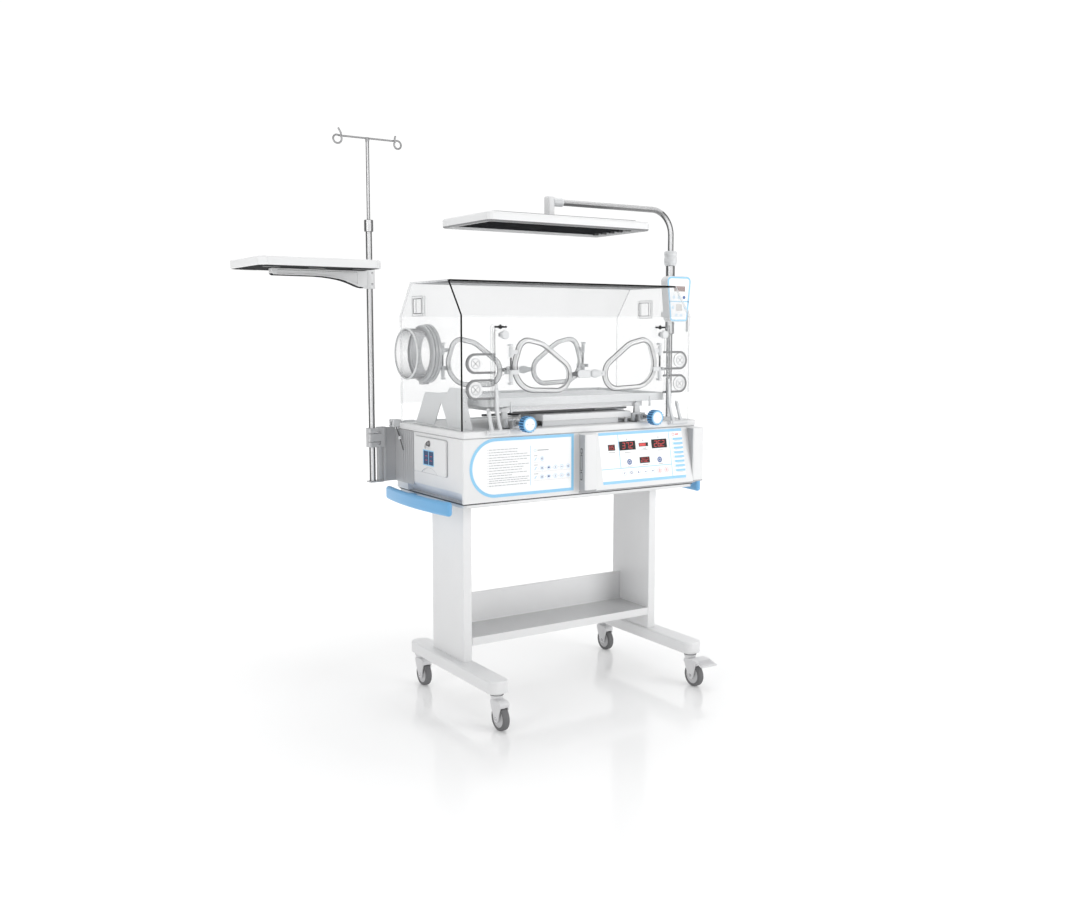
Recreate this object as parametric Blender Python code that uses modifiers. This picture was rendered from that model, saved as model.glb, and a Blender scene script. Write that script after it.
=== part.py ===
"""Infant incubator on a wheeled stand.

Metres, +Z up.  The long side runs along X, the control side faces -Y and the
floor is Z = 0.  All dimensions below are given in the stand's own coordinates
(X = 0 midway between the two columns, Y = 0 at the columns' centre line); the
root empty carries the small offset that puts the centre of the whole
footprint at the world origin.
"""
import math

import bmesh
import bpy
from mathutils import Matrix, Vector

# ----------------------------------------------------------------- dimensions
FRAME_X, FRAME_Y = 0.18950, 0.01100      # offset of the stand in the world

GAP = 0.0003                             # clearance between touching pieces

# stand
TRACK = 0.400                            # column / foot / caster centre, +-X
FOOT_W, FOOT_Z0, FOOT_Z1 = 0.070, 0.117, 0.159
FOOT_Y0, FOOT_Y1 = -0.345, 0.236
COL_X0, COL_X1, COL_Y, COL_TOP = 0.3719, 0.4043, 0.1101, 0.6962
SHELF_Z0, SHELF_Z1, SHELF_BACK, SHELF_PANEL = 0.2105, 0.2381, 0.075, 0.343

# casters
WHEEL_R, WHEEL_W, TRAIL = 0.0404, 0.024, 0.023
SWIVEL_Y = (-0.316, 0.213)

# cabinet and deck
BODY_X, BODY_Y0, BODY_Y1 = 0.4741, -0.2406, 0.2357
BASE_Z0, BODY_Z0, DECK_Z0, DECK_Z1 = 0.6965, 0.7112, 0.9165, 0.9389

# control module
MOD_X0, MOD_X1, MOD_Y, MOD_Z0, MOD_Z1 = -0.0366, 0.4790, -0.2814, 0.7220, 0.9150
CHEEK = 0.0492

# hood
HOOD_X, HOOD_Y, HOOD_Z0 = 0.4664, 0.2155, 0.9394
HOOD_WALL_Z, HOOD_TOP, HOOD_IN = 1.3017, 1.4133, 0.0822
HOOD_T, END_T = 0.0050, 0.0060
HINGE_Y, HINGE_Z, HINGE_R = 0.2262, 0.9340, 0.0085
OPEN_X0, OPEN_X1, OPEN_Z1 = -0.3450, 0.3500, 1.2550

# front door
DOOR_X0, DOOR_X1, DOOR_Z0, DOOR_Z1 = -0.3607, 0.3660, 0.9950, 1.2735
DOOR_Y0, DOOR_Y1 = -0.2225, -0.2175
DHINGE_Y, DHINGE_Z, DHINGE_R = -0.2505, 0.9340, 0.0075

# hand ports: three circles whose hull is the outline, measured for the front
# left port from the line midway between the two ports
PORT_MID = 0.0075
PORT_CIRCLES = ((-0.2340, 1.1841, 0.0450), (-0.1225, 1.1092, 0.0576), (-0.2083, 1.1387, 0.0837))
PORT_BAND, PORT_DEPTH, PANE_T = 0.0135, 0.0145, 0.0035
PHINGE_DX, PHINGE_Z0, PHINGE_Z1 = -0.3030, 1.0900, 1.2030

# tube grommets
GROM_X, GROM_Z, GROM_R = (-0.4137, 0.4174), (1.0680, 1.1500), 0.0335

# iris port
IRIS_Z, IRIS_BORE, IRIS_R0, IRIS_R1 = 1.1785, 0.0690, 0.0955, 0.0925
IRIS_X1, SLEEVE_R, SLEEVE_X1 = -0.4980, 0.0815, -0.5500

# bed
TRAY_X, TRAY_Y, TRAY_Z0, TRAY_Z1, TRAY_T = 0.3640, 0.2000, 1.0100, 1.0375, 0.0040
PIVOT_X, FRAME_Z0, FRAME_Z1 = 0.2600, 0.9897, 1.0097
KNOB_X, KNOB_Z, KNOB_R, KNOB_Y0, KNOB_Y1 = (-0.2580, 0.2600), 0.9570, 0.0265, -0.2905, -0.2615

# pole with monitor shelf and hooks (left)
IV_X, IV_Y, IV_R, IV_Z0, IV_Z1 = -0.5650, 0.2380, 0.0107, 0.7400, 1.5830
ROD_R, ROD_TOP = 0.0057, 1.8890
MSH_X0, MSH_X1, MSH_Y0, MSH_Y1, MSH_Z0, MSH_Z1 = -0.9890, -0.5880, 0.0860, 0.3990, 1.4525, 1.4780

# lamp (right)
LP_X, LP_Y, MAST_R, HOUS_R = 0.5560, 0.0100, 0.0108, 0.0170
LAMP_X0, LAMP_X1, LAMP_Y0, LAMP_Y1, LAMP_Z0, LAMP_Z1 = -0.3270, 0.3310, -0.1530, 0.1730, 1.6000, 1.6290
ARM_Z, BEND_R = 1.6970, 0.0900
CTRL = (0.4950, 0.6100, -0.0460, -0.0085, 1.2870, 1.4550)

# ------------------------------------------------------------------ the scene
for ob in list(bpy.data.objects):
    bpy.data.objects.remove(ob, do_unlink=True)

PARTS = bpy.data.collections.new("infant_incubator")
CUTS = bpy.data.collections.new("cutters")
bpy.context.scene.collection.children.link(PARTS)
bpy.context.scene.collection.children.link(CUTS)

# ------------------------------------------------------------------ materials
MATS = {}


def material(name, color, rough, metal=0.0, alpha=1.0):
    m = bpy.data.materials.new(name)
    m.use_nodes = True
    b = m.node_tree.nodes["Principled BSDF"]
    b.inputs["Base Color"].default_value = (*color, 1.0)
    b.inputs["Roughness"].default_value = rough
    b.inputs["Metallic"].default_value = metal
    b.inputs["Alpha"].default_value = alpha
    MATS[name] = m


material("white_paint", (0.86, 0.86, 0.87), 0.40)
material("white_casing", (0.84, 0.85, 0.86), 0.45)
material("grey_casing", (0.55, 0.56, 0.58), 0.50)
material("light_grey", (0.72, 0.73, 0.74), 0.50)
material("dark_grey", (0.13, 0.13, 0.14), 0.55)
material("blue_plastic", (0.20, 0.52, 0.80), 0.35)
material("clear_acrylic", (0.93, 0.95, 0.96), 0.05, 0.0, 0.25)
material("smoke_acrylic", (0.80, 0.82, 0.84), 0.15, 0.0, 0.45)
material("steel", (0.62, 0.62, 0.63), 0.25, 1.0)
material("tyre", (0.28, 0.28, 0.29), 0.70)
material("rubber", (0.09, 0.09, 0.10), 0.75)
material("vinyl", (0.74, 0.76, 0.79), 0.60)

# ------------------------------------------------------------- joint axes
AXES = {}


def axis_empty(key, at, parent=None):
    """An empty on a joint axis; `at` is in stand coordinates."""
    e = bpy.data.objects.new("axis_" + key, None)
    e.empty_display_size = 0.03
    PARTS.objects.link(e)
    base = Vector((0, 0, 0))
    if parent:
        e.parent = AXES[parent][0]
        base = AXES[parent][1]
    e.location = Vector(at) - base
    AXES[key] = (e, Vector(at))


axis_empty("stand", (0, 0, 0))
AXES["stand"][0].location = (FRAME_X, FRAME_Y, 0)


def hang(ob, at, key):
    """Parent an object to a joint axis and put its origin at `at`."""
    ob.parent = AXES[key][0]
    ob.location = Vector(at) - AXES[key][1]


# ------------------------------------------------------------ shape builders
def new_object(name, me, mat=None, coll=None):
    ob = bpy.data.objects.new(name, me)
    (coll or PARTS).objects.link(ob)
    if mat:
        me.materials.append(MATS[mat])
    return ob


def as_cutter(ob):
    for c in list(ob.users_collection):
        c.objects.unlink(ob)
    CUTS.objects.link(ob)
    ob.hide_render = True
    ob.display_type = "WIRE"
    return ob


def shade(ob, deg=35.0):
    ob.data.shade_smooth()
    ob.data.set_sharp_from_angle(angle=math.radians(deg))


def box(name, lo, hi, mat=None, key="stand", bevel=0.0, seg=2):
    lo, hi = Vector(lo), Vector(hi)
    mid, half = (lo + hi) / 2, (hi - lo) / 2
    bm = bmesh.new()
    bmesh.ops.create_cube(bm, size=2.0)
    bmesh.ops.scale(bm, vec=half, verts=bm.verts)
    me = bpy.data.meshes.new(name)
    bm.to_mesh(me)
    bm.free()
    ob = new_object(name, me, mat)
    hang(ob, mid, key)
    if bevel:
        rounded(ob, bevel, seg)
    return ob


def rounded(ob, width, seg=2, deg=40.0):
    b = ob.modifiers.new("round", "BEVEL")
    b.width = width
    b.segments = seg
    b.limit_method = "ANGLE"
    b.angle_limit = math.radians(deg)


TURN = {"X": (0, math.pi / 2, 0), "Y": (-math.pi / 2, 0, 0), "Z": (0, 0, 0)}


def rod(name, p, q, r, mat=None, key="stand", seg=20, r2=None):
    """Capped cylinder or cone from p to q."""
    p, q = Vector(p), Vector(q)
    d = q - p
    bm = bmesh.new()
    bmesh.ops.create_cone(bm, cap_ends=True, segments=seg, radius1=r,
                          radius2=r if r2 is None else r2, depth=d.length)
    me = bpy.data.meshes.new(name)
    bm.to_mesh(me)
    bm.free()
    ob = new_object(name, me, mat)
    hang(ob, (p + q) / 2, key)
    ob.rotation_euler = d.to_track_quat("Z", "Y").to_euler()
    shade(ob)
    return ob


def turned(name, profile, at, axis="Z", mat=None, key="stand", seg=32):
    """Screw a closed (r, h) profile about an axis; the profile runs down its
    outer side from the top and back up the inner side."""
    bm = bmesh.new()
    vs = [bm.verts.new((r, 0, h)) for r, h in profile]
    for a, b in zip(vs, vs[1:]):
        bm.edges.new((a, b))
    on_axis = profile[0][0] < 1e-6 and profile[-1][0] < 1e-6
    if not on_axis:
        bm.edges.new((vs[-1], vs[0]))
    me = bpy.data.meshes.new(name)
    bm.to_mesh(me)
    bm.free()
    ob = new_object(name, me, mat)
    s = ob.modifiers.new("turn", "SCREW")
    s.steps = s.render_steps = seg
    s.use_merge_vertices = True
    s.merge_threshold = 0.00001
    s.use_smooth_shade = True
    s.use_normal_calculate = False
    area = sum(a[0] * b[1] - b[0] * a[1] for a, b in zip(profile, profile[1:] + profile[:1]))
    s.use_normal_flip = area > 0
    hang(ob, at, key)
    ob.rotation_euler = TURN[axis]
    return ob


def solid_from(ob, name, mat):
    """Mesh copy of an evaluated curve, with its caps welded."""
    dg = bpy.context.evaluated_depsgraph_get()
    me = bpy.data.meshes.new_from_object(ob.evaluated_get(dg))
    bm = bmesh.new()
    bm.from_mesh(me)
    bmesh.ops.remove_doubles(bm, verts=bm.verts, dist=0.00001)
    bmesh.ops.recalc_face_normals(bm, faces=bm.faces)
    bm.to_mesh(me)
    bm.free()
    me.materials.clear()
    me.name = name
    out = new_object(name + "_solid", me, mat)
    out.rotation_euler = ob.rotation_euler
    data = ob.data
    bpy.data.objects.remove(ob, do_unlink=True)
    bpy.data.curves.remove(data)
    out.name = name
    return out


PLANE = {"XY": (0, 0, 0), "XZ": (math.pi / 2, 0, 0), "YZ": (math.pi / 2, 0, math.pi / 2)}


def slab(name, loops, plane, a, b, mat=None, key="stand"):
    """Flat outline (first loop outside, others holes) between two heights of
    the axis normal to its plane."""
    us = [p[0] for p in loops[0]]
    vs = [p[1] for p in loops[0]]
    uc, vc, wc = (min(us) + max(us)) / 2, (min(vs) + max(vs)) / 2, (a + b) / 2
    cu = bpy.data.curves.new(name + "_c", "CURVE")
    cu.dimensions = "2D"
    cu.fill_mode = "BOTH"
    cu.extrude = abs(b - a) / 2
    for pts in loops:
        sp = cu.splines.new("POLY")
        sp.points.add(len(pts) - 1)
        for k, (u, v) in enumerate(pts):
            sp.points[k].co = (u - uc, v - vc, 0, 1)
        sp.use_cyclic_u = True
    ob = bpy.data.objects.new(name + "_c", cu)
    PARTS.objects.link(ob)
    ob.rotation_euler = PLANE[plane]
    out = solid_from(ob, name, mat)
    at = {"XY": (uc, vc, wc), "XZ": (uc, wc, vc), "YZ": (wc, uc, vc)}[plane]
    hang(out, at, key)
    shade(out)
    return out


def wire(name, pts, r, mat=None, key="stand", res=2, closed=False):
    """Round bar along a poly line."""
    c = sum((Vector(p) for p in pts), Vector()) / len(pts)
    cu = bpy.data.curves.new(name + "_c", "CURVE")
    cu.dimensions = "3D"
    cu.bevel_depth = r
    cu.bevel_resolution = res
    cu.use_fill_caps = not closed
    cu.twist_mode = "MINIMUM"
    sp = cu.splines.new("POLY")
    sp.points.add(len(pts) - 1)
    for k, p in enumerate(pts):
        sp.points[k].co = (*(Vector(p) - c), 1)
    sp.use_cyclic_u = closed
    ob = bpy.data.objects.new(name + "_c", cu)
    PARTS.objects.link(ob)
    out = solid_from(ob, name, mat)
    hang(out, c, key)
    shade(out, 40)
    return out


def combine(ob, other, op="UNION"):
    b = ob.modifiers.new(op.lower(), "BOOLEAN")
    b.operation = op
    b.solver = "EXACT"
    b.object = as_cutter(other)
    return ob


def cut(ob, other):
    return combine(ob, other, "DIFFERENCE")


# ---------------------------------------------------------------- 2D outlines
def circle(u, v, r, n=24, a0=0.0, a1=2 * math.pi, close=False):
    m = n + 1 if close else n
    return [(u + r * math.cos(a0 + (a1 - a0) * k / n), v + r * math.sin(a0 + (a1 - a0) * k / n)) for k in range(m)]


def hull(circles, n=32):
    """Outline of the convex hull of some circles."""
    pts = []
    for u, v, r in circles:
        pts += circle(u, v, r, n) if r > 0 else [(u, v)]
    pts = sorted(set((round(u, 6), round(v, 6)) for u, v in pts))

    def half(seq):
        out = []
        for p in seq:
            while len(out) > 1 and ((out[-1][0] - out[-2][0]) * (p[1] - out[-2][1]) -
                                    (out[-1][1] - out[-2][1]) * (p[0] - out[-2][0])) <= 1e-10:
                out.pop()
            out.append(p)
        return out[:-1]
    loop = half(pts) + half(pts[::-1])
    keep = []
    for p in loop:
        if not keep or math.dist(p, keep[-1]) > 0.0003:
            keep.append(p)
    if math.dist(keep[0], keep[-1]) <= 0.0003:
        keep.pop()
    return keep


def round_rect(u0, u1, v0, v1, r, n=16):
    return hull([(u0 + r, v0 + r, r), (u1 - r, v0 + r, r), (u1 - r, v1 - r, r), (u0 + r, v1 - r, r)], n)


# ------------------------------------------------------------------ the stand
def make_foot(name, sx):
    x0, x1 = sx * TRACK - FOOT_W / 2, sx * TRACK + FOOT_W / 2
    r = 0.026
    ob = slab(name, [round_rect(x0, x1, FOOT_Y0, FOOT_Y1, r, 12)], "XY", FOOT_Z0, FOOT_Z1, "white_paint")
    rounded(ob, 0.005, 1)
    cut(ob, box(name + "_channel", (x0 + 0.006, -0.268, FOOT_Z0 - 0.01), (x1 - 0.006, 0.165, FOOT_Z1 - 0.006)))
    for y in SWIVEL_Y:
        cut(ob, rod(name + "_stem_bore", (sx * TRACK, y, FOOT_Z0 - 0.01), (sx * TRACK, y, FOOT_Z0 + 0.026), 0.0066, seg=12))
    return ob


make_foot("foot_left", -1)
make_foot("foot_right", 1)


def make_column(name, sx):
    x0, x1 = sorted((sx * COL_X0, sx * COL_X1))
    z0 = FOOT_Z1 + GAP
    ob = box(name, (x0, -COL_Y, z0), (x1, COL_Y, COL_TOP), "white_paint")
    e = ob.modifiers.new("round", "BEVEL")
    e.width, e.segments, e.limit_method, e.angle_limit = 0.003, 1, "ANGLE", math.radians(40)
    for a, b in ((-COL_Y + 0.0025, -0.0015), (0.0015, COL_Y - 0.0025)):
        cut(ob, box(name + "_bore", (x0 + 0.0025, a, z0 - 0.01), (x1 - 0.0025, b, COL_TOP + 0.01)))
    return ob


make_column("column_left", -1)
make_column("column_right", 1)

SX = COL_X0 - GAP
shelf = slab("storage_shelf", [[(-0.1100, SHELF_Z0), (SHELF_BACK, SHELF_Z0), (SHELF_BACK, SHELF_PANEL),
                                (0.0620, SHELF_PANEL), (0.0620, SHELF_Z1), (-0.1100, SHELF_Z1)]],
             "YZ", -SX, SX, "white_paint")
rounded(shelf, 0.0025, 1)
cut(shelf, box("shelf_hollow", (-SX + 0.004, -0.1060, SHELF_Z0 - 0.01), (SX - 0.004, 0.0710, SHELF_Z1 - 0.0035)))

# ---------------------------------------------------------------- the casters
AXLE_Z = WHEEL_R
PED_Y, PED_Z = SWIVEL_Y[0] - TRAIL - 0.0330, 0.0950          # pin of the brake pedal


def make_caster(tag, x, ys):
    key_s, key_w = "swivel_" + tag, "wheel_" + tag
    axis_empty(key_s, (x, ys, FOOT_Z0), "stand")
    ya = ys - TRAIL
    axis_empty(key_w, (x, ya, AXLE_Z), key_s)
    name = "caster_fork_" + tag
    ob = slab(name, [hull([(ya, AXLE_Z, 0.0130), (ya - 0.013, 0.0860, 0.0120), (ys + 0.004, 0.0890, 0.0090),
                           (ys - 0.004, 0.0700, 0.010)], 10)],
              "YZ", x - 0.0185, x + 0.0185, "light_grey", key_s)
    cut(ob, rod(name + "_slot", (x - 0.0136, ya, AXLE_Z), (x + 0.0136, ya, AXLE_Z), 0.0440, key=key_s, seg=20))
    combine(ob, rod(name + "_axle", (x - 0.0180, ya, AXLE_Z), (x + 0.0180, ya, AXLE_Z), 0.0042, key=key_s, seg=8))
    combine(ob, turned(name + "_collar", [(0, 0.0250), (0.0060, 0.0250), (0.0060, -GAP), (0.0212, -GAP), (0.0212, -0.0120), (0.0185, -0.0200), (0, -0.0200)],
                       (x, ys, FOOT_Z0), "Z", key=key_s, seg=12))
    combine(ob, box(name + "_lug", (x - 0.0080, ys + 0.006, 0.0760), (x + 0.0080, ys + 0.0270, 0.0900), key=key_s))
    if tag == "fr":
        for a in (-0.0182, 0.0144):
            combine(ob, slab("pedal_lug", [hull([(PED_Y, PED_Z, 0.0035), (ya - 0.013, 0.0880, 0.0060)], 10)], "YZ", x + a, x + a + 0.0038, key=key_s))
        combine(ob, rod("pedal_pin", (x - 0.0175, PED_Y, PED_Z), (x + 0.0175, PED_Y, PED_Z), 0.0022, key=key_s, seg=8))
    w = turned("caster_wheel_" + tag,
               [(0.0046, 0.0120), (0.0360, 0.0120), (WHEEL_R, 0.0085), (WHEEL_R, -0.0085), (0.0360, -0.0120), (0.0046, -0.0120)],
               (x, ya, AXLE_Z), "X", "tyre", key_w, 20)
    return ob, w


for tag, x, ys in (("fl", -TRACK, SWIVEL_Y[0]), ("bl", -TRACK, SWIVEL_Y[1]),
                   ("br", TRACK, SWIVEL_Y[1]), ("fr", TRACK, SWIVEL_Y[0])):
    make_caster(tag, x, ys)

# foot pedal of the braked caster: a plate over the fork's nose that rocks on
# a pin between two lugs
axis_empty("pedal", (TRACK, PED_Y, PED_Z), "swivel_fr")
ped = slab("brake_pedal", [[(-0.4210, 0.0900), (-0.4170, 0.0880), (-0.3820, 0.0995), (-0.3480, 0.1015), (-0.3480, 0.1055), (-0.3820, 0.1050), (-0.4210, 0.0940)]],
           "YZ", TRACK - 0.0340, TRACK + 0.0340, "light_grey", "pedal")
combine(ped, slab("pedal_hub", [hull([(PED_Y, PED_Z, 0.0046), (PED_Y - 0.006, 0.1045, 0), (PED_Y, 0.1045, 0)], 12)], "YZ", TRACK - 0.0138, TRACK + 0.0138, key="pedal"))
cut(ped, rod("pedal_bore", (TRACK - 0.04, PED_Y, PED_Z), (TRACK + 0.04, PED_Y, PED_Z), 0.0028, key="pedal", seg=10))

# --------------------------------------------------------- cabinet base plate
base = slab("base_frame", [round_rect(-0.4680, 0.4680, -0.2330, 0.2290, 0.012, 8)], "XY", BASE_Z0, BODY_Z0 - GAP, "grey_casing")

# -------------------------------------------------------------- the cabinet
CAB_Z1 = DECK_Z0 - GAP
cab = box("cabinet_shell", (-BODY_X, BODY_Y0, BODY_Z0), (BODY_X, BODY_Y1, CAB_Z1), "white_casing", bevel=0.004, seg=1)
cut(cab, box("cabinet_void", (-BODY_X + 0.0035, BODY_Y0 + 0.0035, 0.7560), (BODY_X - 0.0035, BODY_Y1 - 0.0035, CAB_Z1 + 0.02)))
cut(cab, box("cabinet_well", (-0.4200, BODY_Y0 + 0.0035, BODY_Z0 + 0.0040), (0.4200, BODY_Y1 - 0.0035, 0.7700)))
# finger scoop under each end, sloping in towards the bottom
for side, sx in (("l", -1), ("r", 1)):
    y0, y1 = -0.2310, 0.1500
    sc = slab("scoop_" + side, [[(sx * (BODY_X + 0.002), 0.7475), (sx * (BODY_X - 0.0300), 0.7100 - 0.0005),
                                 (sx * (BODY_X - 0.0300), 0.7000), (sx * (BODY_X + 0.0120), 0.7000), (sx * (BODY_X + 0.0120), 0.7475)]],
              "XZ", y0, y1)
    rounded(sc, 0.012, 2, 20.0)
    cut(cab, sc)
# slot for the water drawer
cut(cab, box("drawer_slot", (-BODY_X - 0.01, -0.1215, 0.8010), (-BODY_X + 0.01, 0.0665, 0.8900)))
# cable gland hole and vents are on the back wall
for k in range(5):
    x = 0.150 + 0.024 * k
    cut(cab, slab("vent_%d" % k, [round_rect(x - 0.004, x + 0.004, 0.790, 0.860, 0.0038, 6)], "XZ", BODY_Y1 - 0.01, BODY_Y1 + 0.01))

# ---------------------------------------------------------------- the deck
deck = box("deck_tray", (-BODY_X, BODY_Y0, DECK_Z0), (BODY_X, BODY_Y1, DECK_Z1), "white_casing", bevel=0.0045, seg=1)
cut(deck, box("deck_under", (-BODY_X + 0.005, BODY_Y0 + 0.005, DECK_Z0 - 0.01), (BODY_X - 0.005, 0.2000, DECK_Z1 - 0.005)))
# rebate along the back edge for the hood's hinge rod
cut(deck, box("deck_rebate", (-BODY_X - 0.01, 0.2085, 0.9225), (BODY_X + 0.01, BODY_Y1 + 0.01, DECK_Z1 + 0.01)))
# air slots at both ends and along the back, and the fan opening
for k, (x0, x1, y0, y1) in enumerate(((-0.4560, -0.4400, -0.1700, 0.1700), (0.4400, 0.4560, -0.1700, 0.1700))):
    cut(deck, slab("air_slot_%d" % k, [round_rect(x0, x1, y0, y1, 0.0075, 6)], "XY", DECK_Z1 - 0.02, DECK_Z1 + 0.01))
FAN_X, FAN_Y = 0.0400, 0.0300
cut(deck, rod("fan_hole", (FAN_X, FAN_Y, DECK_Z1 - 0.02), (FAN_X, FAN_Y, DECK_Z1 + 0.01), 0.0120, seg=12))
# pedestals that carry the bed frame's pivots, and its rests at the other end
for sy in (-1, 1):
    lo, hi = sorted((sy * 0.1665, sy * 0.1765))
    post = slab("pivot_post", [[(PIVOT_X - 0.016, DECK_Z1 - 0.003), (PIVOT_X + 0.016, DECK_Z1 - 0.003),
                                (PIVOT_X + 0.009, 1.0080), (PIVOT_X - 0.009, 1.0080)]], "XZ", lo, hi)
    cut(post, rod("pivot_bore", (PIVOT_X, lo - 0.01, 0.9980), (PIVOT_X, hi + 0.01, 0.9980), 0.0044, seg=10))
    combine(deck, post)
    combine(deck, box("rest_post", (-0.2850, min(sy * 0.152, sy * 0.164), DECK_Z1 - 0.003),
                      (-0.2650, max(sy * 0.152, sy * 0.164), FRAME_Z0 - GAP)))
# bearings of the two tilt shafts, just inside the front edge
for x in KNOB_X:
    blk = box("shaft_bearing", (x - 0.0130, -0.2060, DECK_Z1 - 0.003), (x + 0.0130, -0.1860, KNOB_Z + 0.0130))
    cut(blk, rod("shaft_bore", (x, -0.22, KNOB_Z), (x, -0.17, KNOB_Z), 0.0064, seg=10))
    combine(deck, blk)
# lugs and pins of the door hinges, on the deck's front edge
DH = ((-0.3850, -0.3170), (0.3525, 0.4225))
for x0, x1 in DH:
    for a, b in ((x0 - 0.0048, x0 - 0.0008), (x1 + 0.0008, x1 + 0.0048)):
        lug = slab("door_lug", [hull([(DHINGE_Y, DHINGE_Z, 0.0062), (BODY_Y0 + 0.004, 0.9290, 0.0040), (BODY_Y0 + 0.004, 0.9345, 0.0)], 8)],
                   "YZ", a, b)
        combine(deck, lug)
    combine(deck, rod("door_pin", (x0 - 0.0040, DHINGE_Y, DHINGE_Z), (x1 + 0.0040, DHINGE_Y, DHINGE_Z), 0.0030, seg=8))

# -------------------------------------------------------- control module
mod = slab("control_module", [[(BODY_Y0 - GAP, MOD_Z0), (MOD_Y + 0.002, MOD_Z0), (MOD_Y + 0.002, 0.7345), (-0.2455, MOD_Z1), (BODY_Y0 - GAP, MOD_Z1)]],
           "YZ", MOD_X0 + 0.02, MOD_X1 - 0.02, "white_casing")
for k, (x0, x1) in enumerate(((MOD_X0, MOD_X0 + CHEEK), (MOD_X1 - CHEEK, MOD_X1))):
    ch = box("cheek_%d" % k, (x0, MOD_Y, MOD_Z0), (x1, BODY_Y0 - GAP, MOD_Z1), bevel=0.0035, seg=1)
    combine(mod, ch)
cut(mod, box("cheek_recess", (MOD_X0 - 0.01, -0.2640, 0.7560), (MOD_X0 + 0.0030, -0.2480, 0.8680)))

# ------------------------------------------------------ water drawer, at left
PAN_X0, PAN_X1 = -0.4824, -BODY_X - GAP
axis_empty("drawer", (PAN_X0, -0.0275, 0.8455), "stand")
drw = slab("humidifier_drawer", [round_rect(-0.1390, 0.0840, 0.7870, 0.9040, 0.0080, 8)], "YZ", PAN_X0, PAN_X1, "white_casing", "drawer")
tank = box("tank", (PAN_X1 - 0.003, -0.1190, 0.8035), (-0.2800, 0.0640, 0.8870), key="drawer")
combine(drw, tank)
cut(drw, box("tank_void", (-BODY_X + 0.0035, -0.1160, 0.8065), (-0.2830, 0.0610, 0.90), key="drawer"))
cut(drw, slab("finger_hollow", [hull([(-0.0270, 0.7870, 0.022), (-0.0670, 0.7780, 0.004), (0.0130, 0.7780, 0.004)], 20)],
              "YZ", PAN_X0 - 0.006, PAN_X0 + 0.0045, key="drawer"))
axis_empty("lock", (PAN_X0, -0.0270, 0.8860), "drawer")
lock = turned("drawer_lock", [(0, 0.0110), (0.0075, 0.0110), (0.0075, 0.0035), (0.0100, 0.0025), (0.0100, GAP), (0, GAP)],
              (PAN_X0, -0.0270, 0.8860), "X", "steel", "lock", 12)
lock.rotation_euler = (0, -math.pi / 2, 0)
combine(lock, box("lock_tab", (PAN_X0 - 0.0150, -0.0285, 0.8800), (PAN_X0 - 0.0080, -0.0255, 0.8920), key="lock"))


# -------------------------------------------------------------- push handles
def make_handle(name, sx):
    n = 10
    outer, inner = [], []
    for k in range(n + 1):
        t = -1 + 2 * k / n
        nx, ny = 1.0, 0.165 * t
        ln = math.hypot(nx, ny)
        y, x = 0.0040 + 0.2180 * t, 0.5400 - 0.0180 * t * t
        outer.append((x, y))
        inner.append((x - 0.0185 * nx / ln, y - 0.0185 * ny / ln))

    def cap(p, q):
        c, r = ((p[0] + q[0]) / 2, (p[1] + q[1]) / 2), math.dist(p, q) / 2
        a0 = math.atan2(p[1] - c[1], p[0] - c[0])
        return [(c[0] + r * math.cos(a0 + math.pi * k / 5), c[1] + r * math.sin(a0 + math.pi * k / 5)) for k in range(1, 5)]
    pts = outer + cap(outer[-1], inner[-1]) + inner[::-1] + cap(inner[0], outer[0])
    pts = [(sx * u, v) for u, v in pts]
    ob = slab(name, [pts], "XY", 0.6740, 0.7200, "blue_plastic")
    rounded(ob, 0.0045, 1, 50.0)
    for y in (-0.1080, 0.1080):
        a, b = sorted((sx * (BODY_X - 0.0060 + GAP), sx * 0.5300))
        arm = slab(name + "_arm", [[(sx * 0.4686, 0.7040), (sx * 0.4686, 0.6965), (sx * 0.5300, 0.6860), (sx * 0.5300, 0.7060), (sx * 0.5000, 0.7085)]],
                   "XZ", y - 0.0140, y + 0.0140)
        combine(ob, arm)
    return ob


make_handle("handle_left", -1)
make_handle("handle_right", 1)

# --------------------------------------------------- fan, motor and heater
DECK_U = DECK_Z1 - 0.005
motor = turned("fan_motor", [(0.0042, -GAP), (0.0400, -GAP), (0.0400, -0.0040), (0.0300, -0.0040), (0.0300, -0.0640), (0.0042, -0.0640)],
               (FAN_X, FAN_Y, DECK_U), "Z", "dark_grey", seg=16)
axis_empty("fan", (FAN_X, FAN_Y, DECK_Z1), "stand")
imp = turned("fan_impeller", [(0, 0.0190), (0.0130, 0.0170), (0.0130, 0.0055), (0.0560, 0.0045), (0.0560, 0.0015), (0.0035, 0.0015),
                              (0.0035, -0.0500), (0, -0.0500)], (FAN_X, FAN_Y, DECK_Z1), "Z", "light_grey", "fan", 14)
blades = bmesh.new()
for k in range(7):
    a = 2 * math.pi * k / 7
    r = bmesh.ops.create_cube(blades, size=1.0)["verts"]
    bmesh.ops.scale(blades, vec=(0.034, 0.0018, 0.0140), verts=r)
    bmesh.ops.rotate(blades, cent=(0, 0, 0), matrix=Matrix.Rotation(math.radians(28), 3, "Z"), verts=r)
    bmesh.ops.translate(blades, vec=(0.0370, 0, 0.0100), verts=r)
    bmesh.ops.rotate(blades, cent=(0, 0, 0), matrix=Matrix.Rotation(a, 3, "Z"), verts=r)
me = bpy.data.meshes.new("blades")
blades.to_mesh(me)
blades.free()
bl = new_object("fan_blades", me)
hang(bl, (FAN_X, FAN_Y, DECK_Z1), "fan")
combine(imp, bl)

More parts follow.
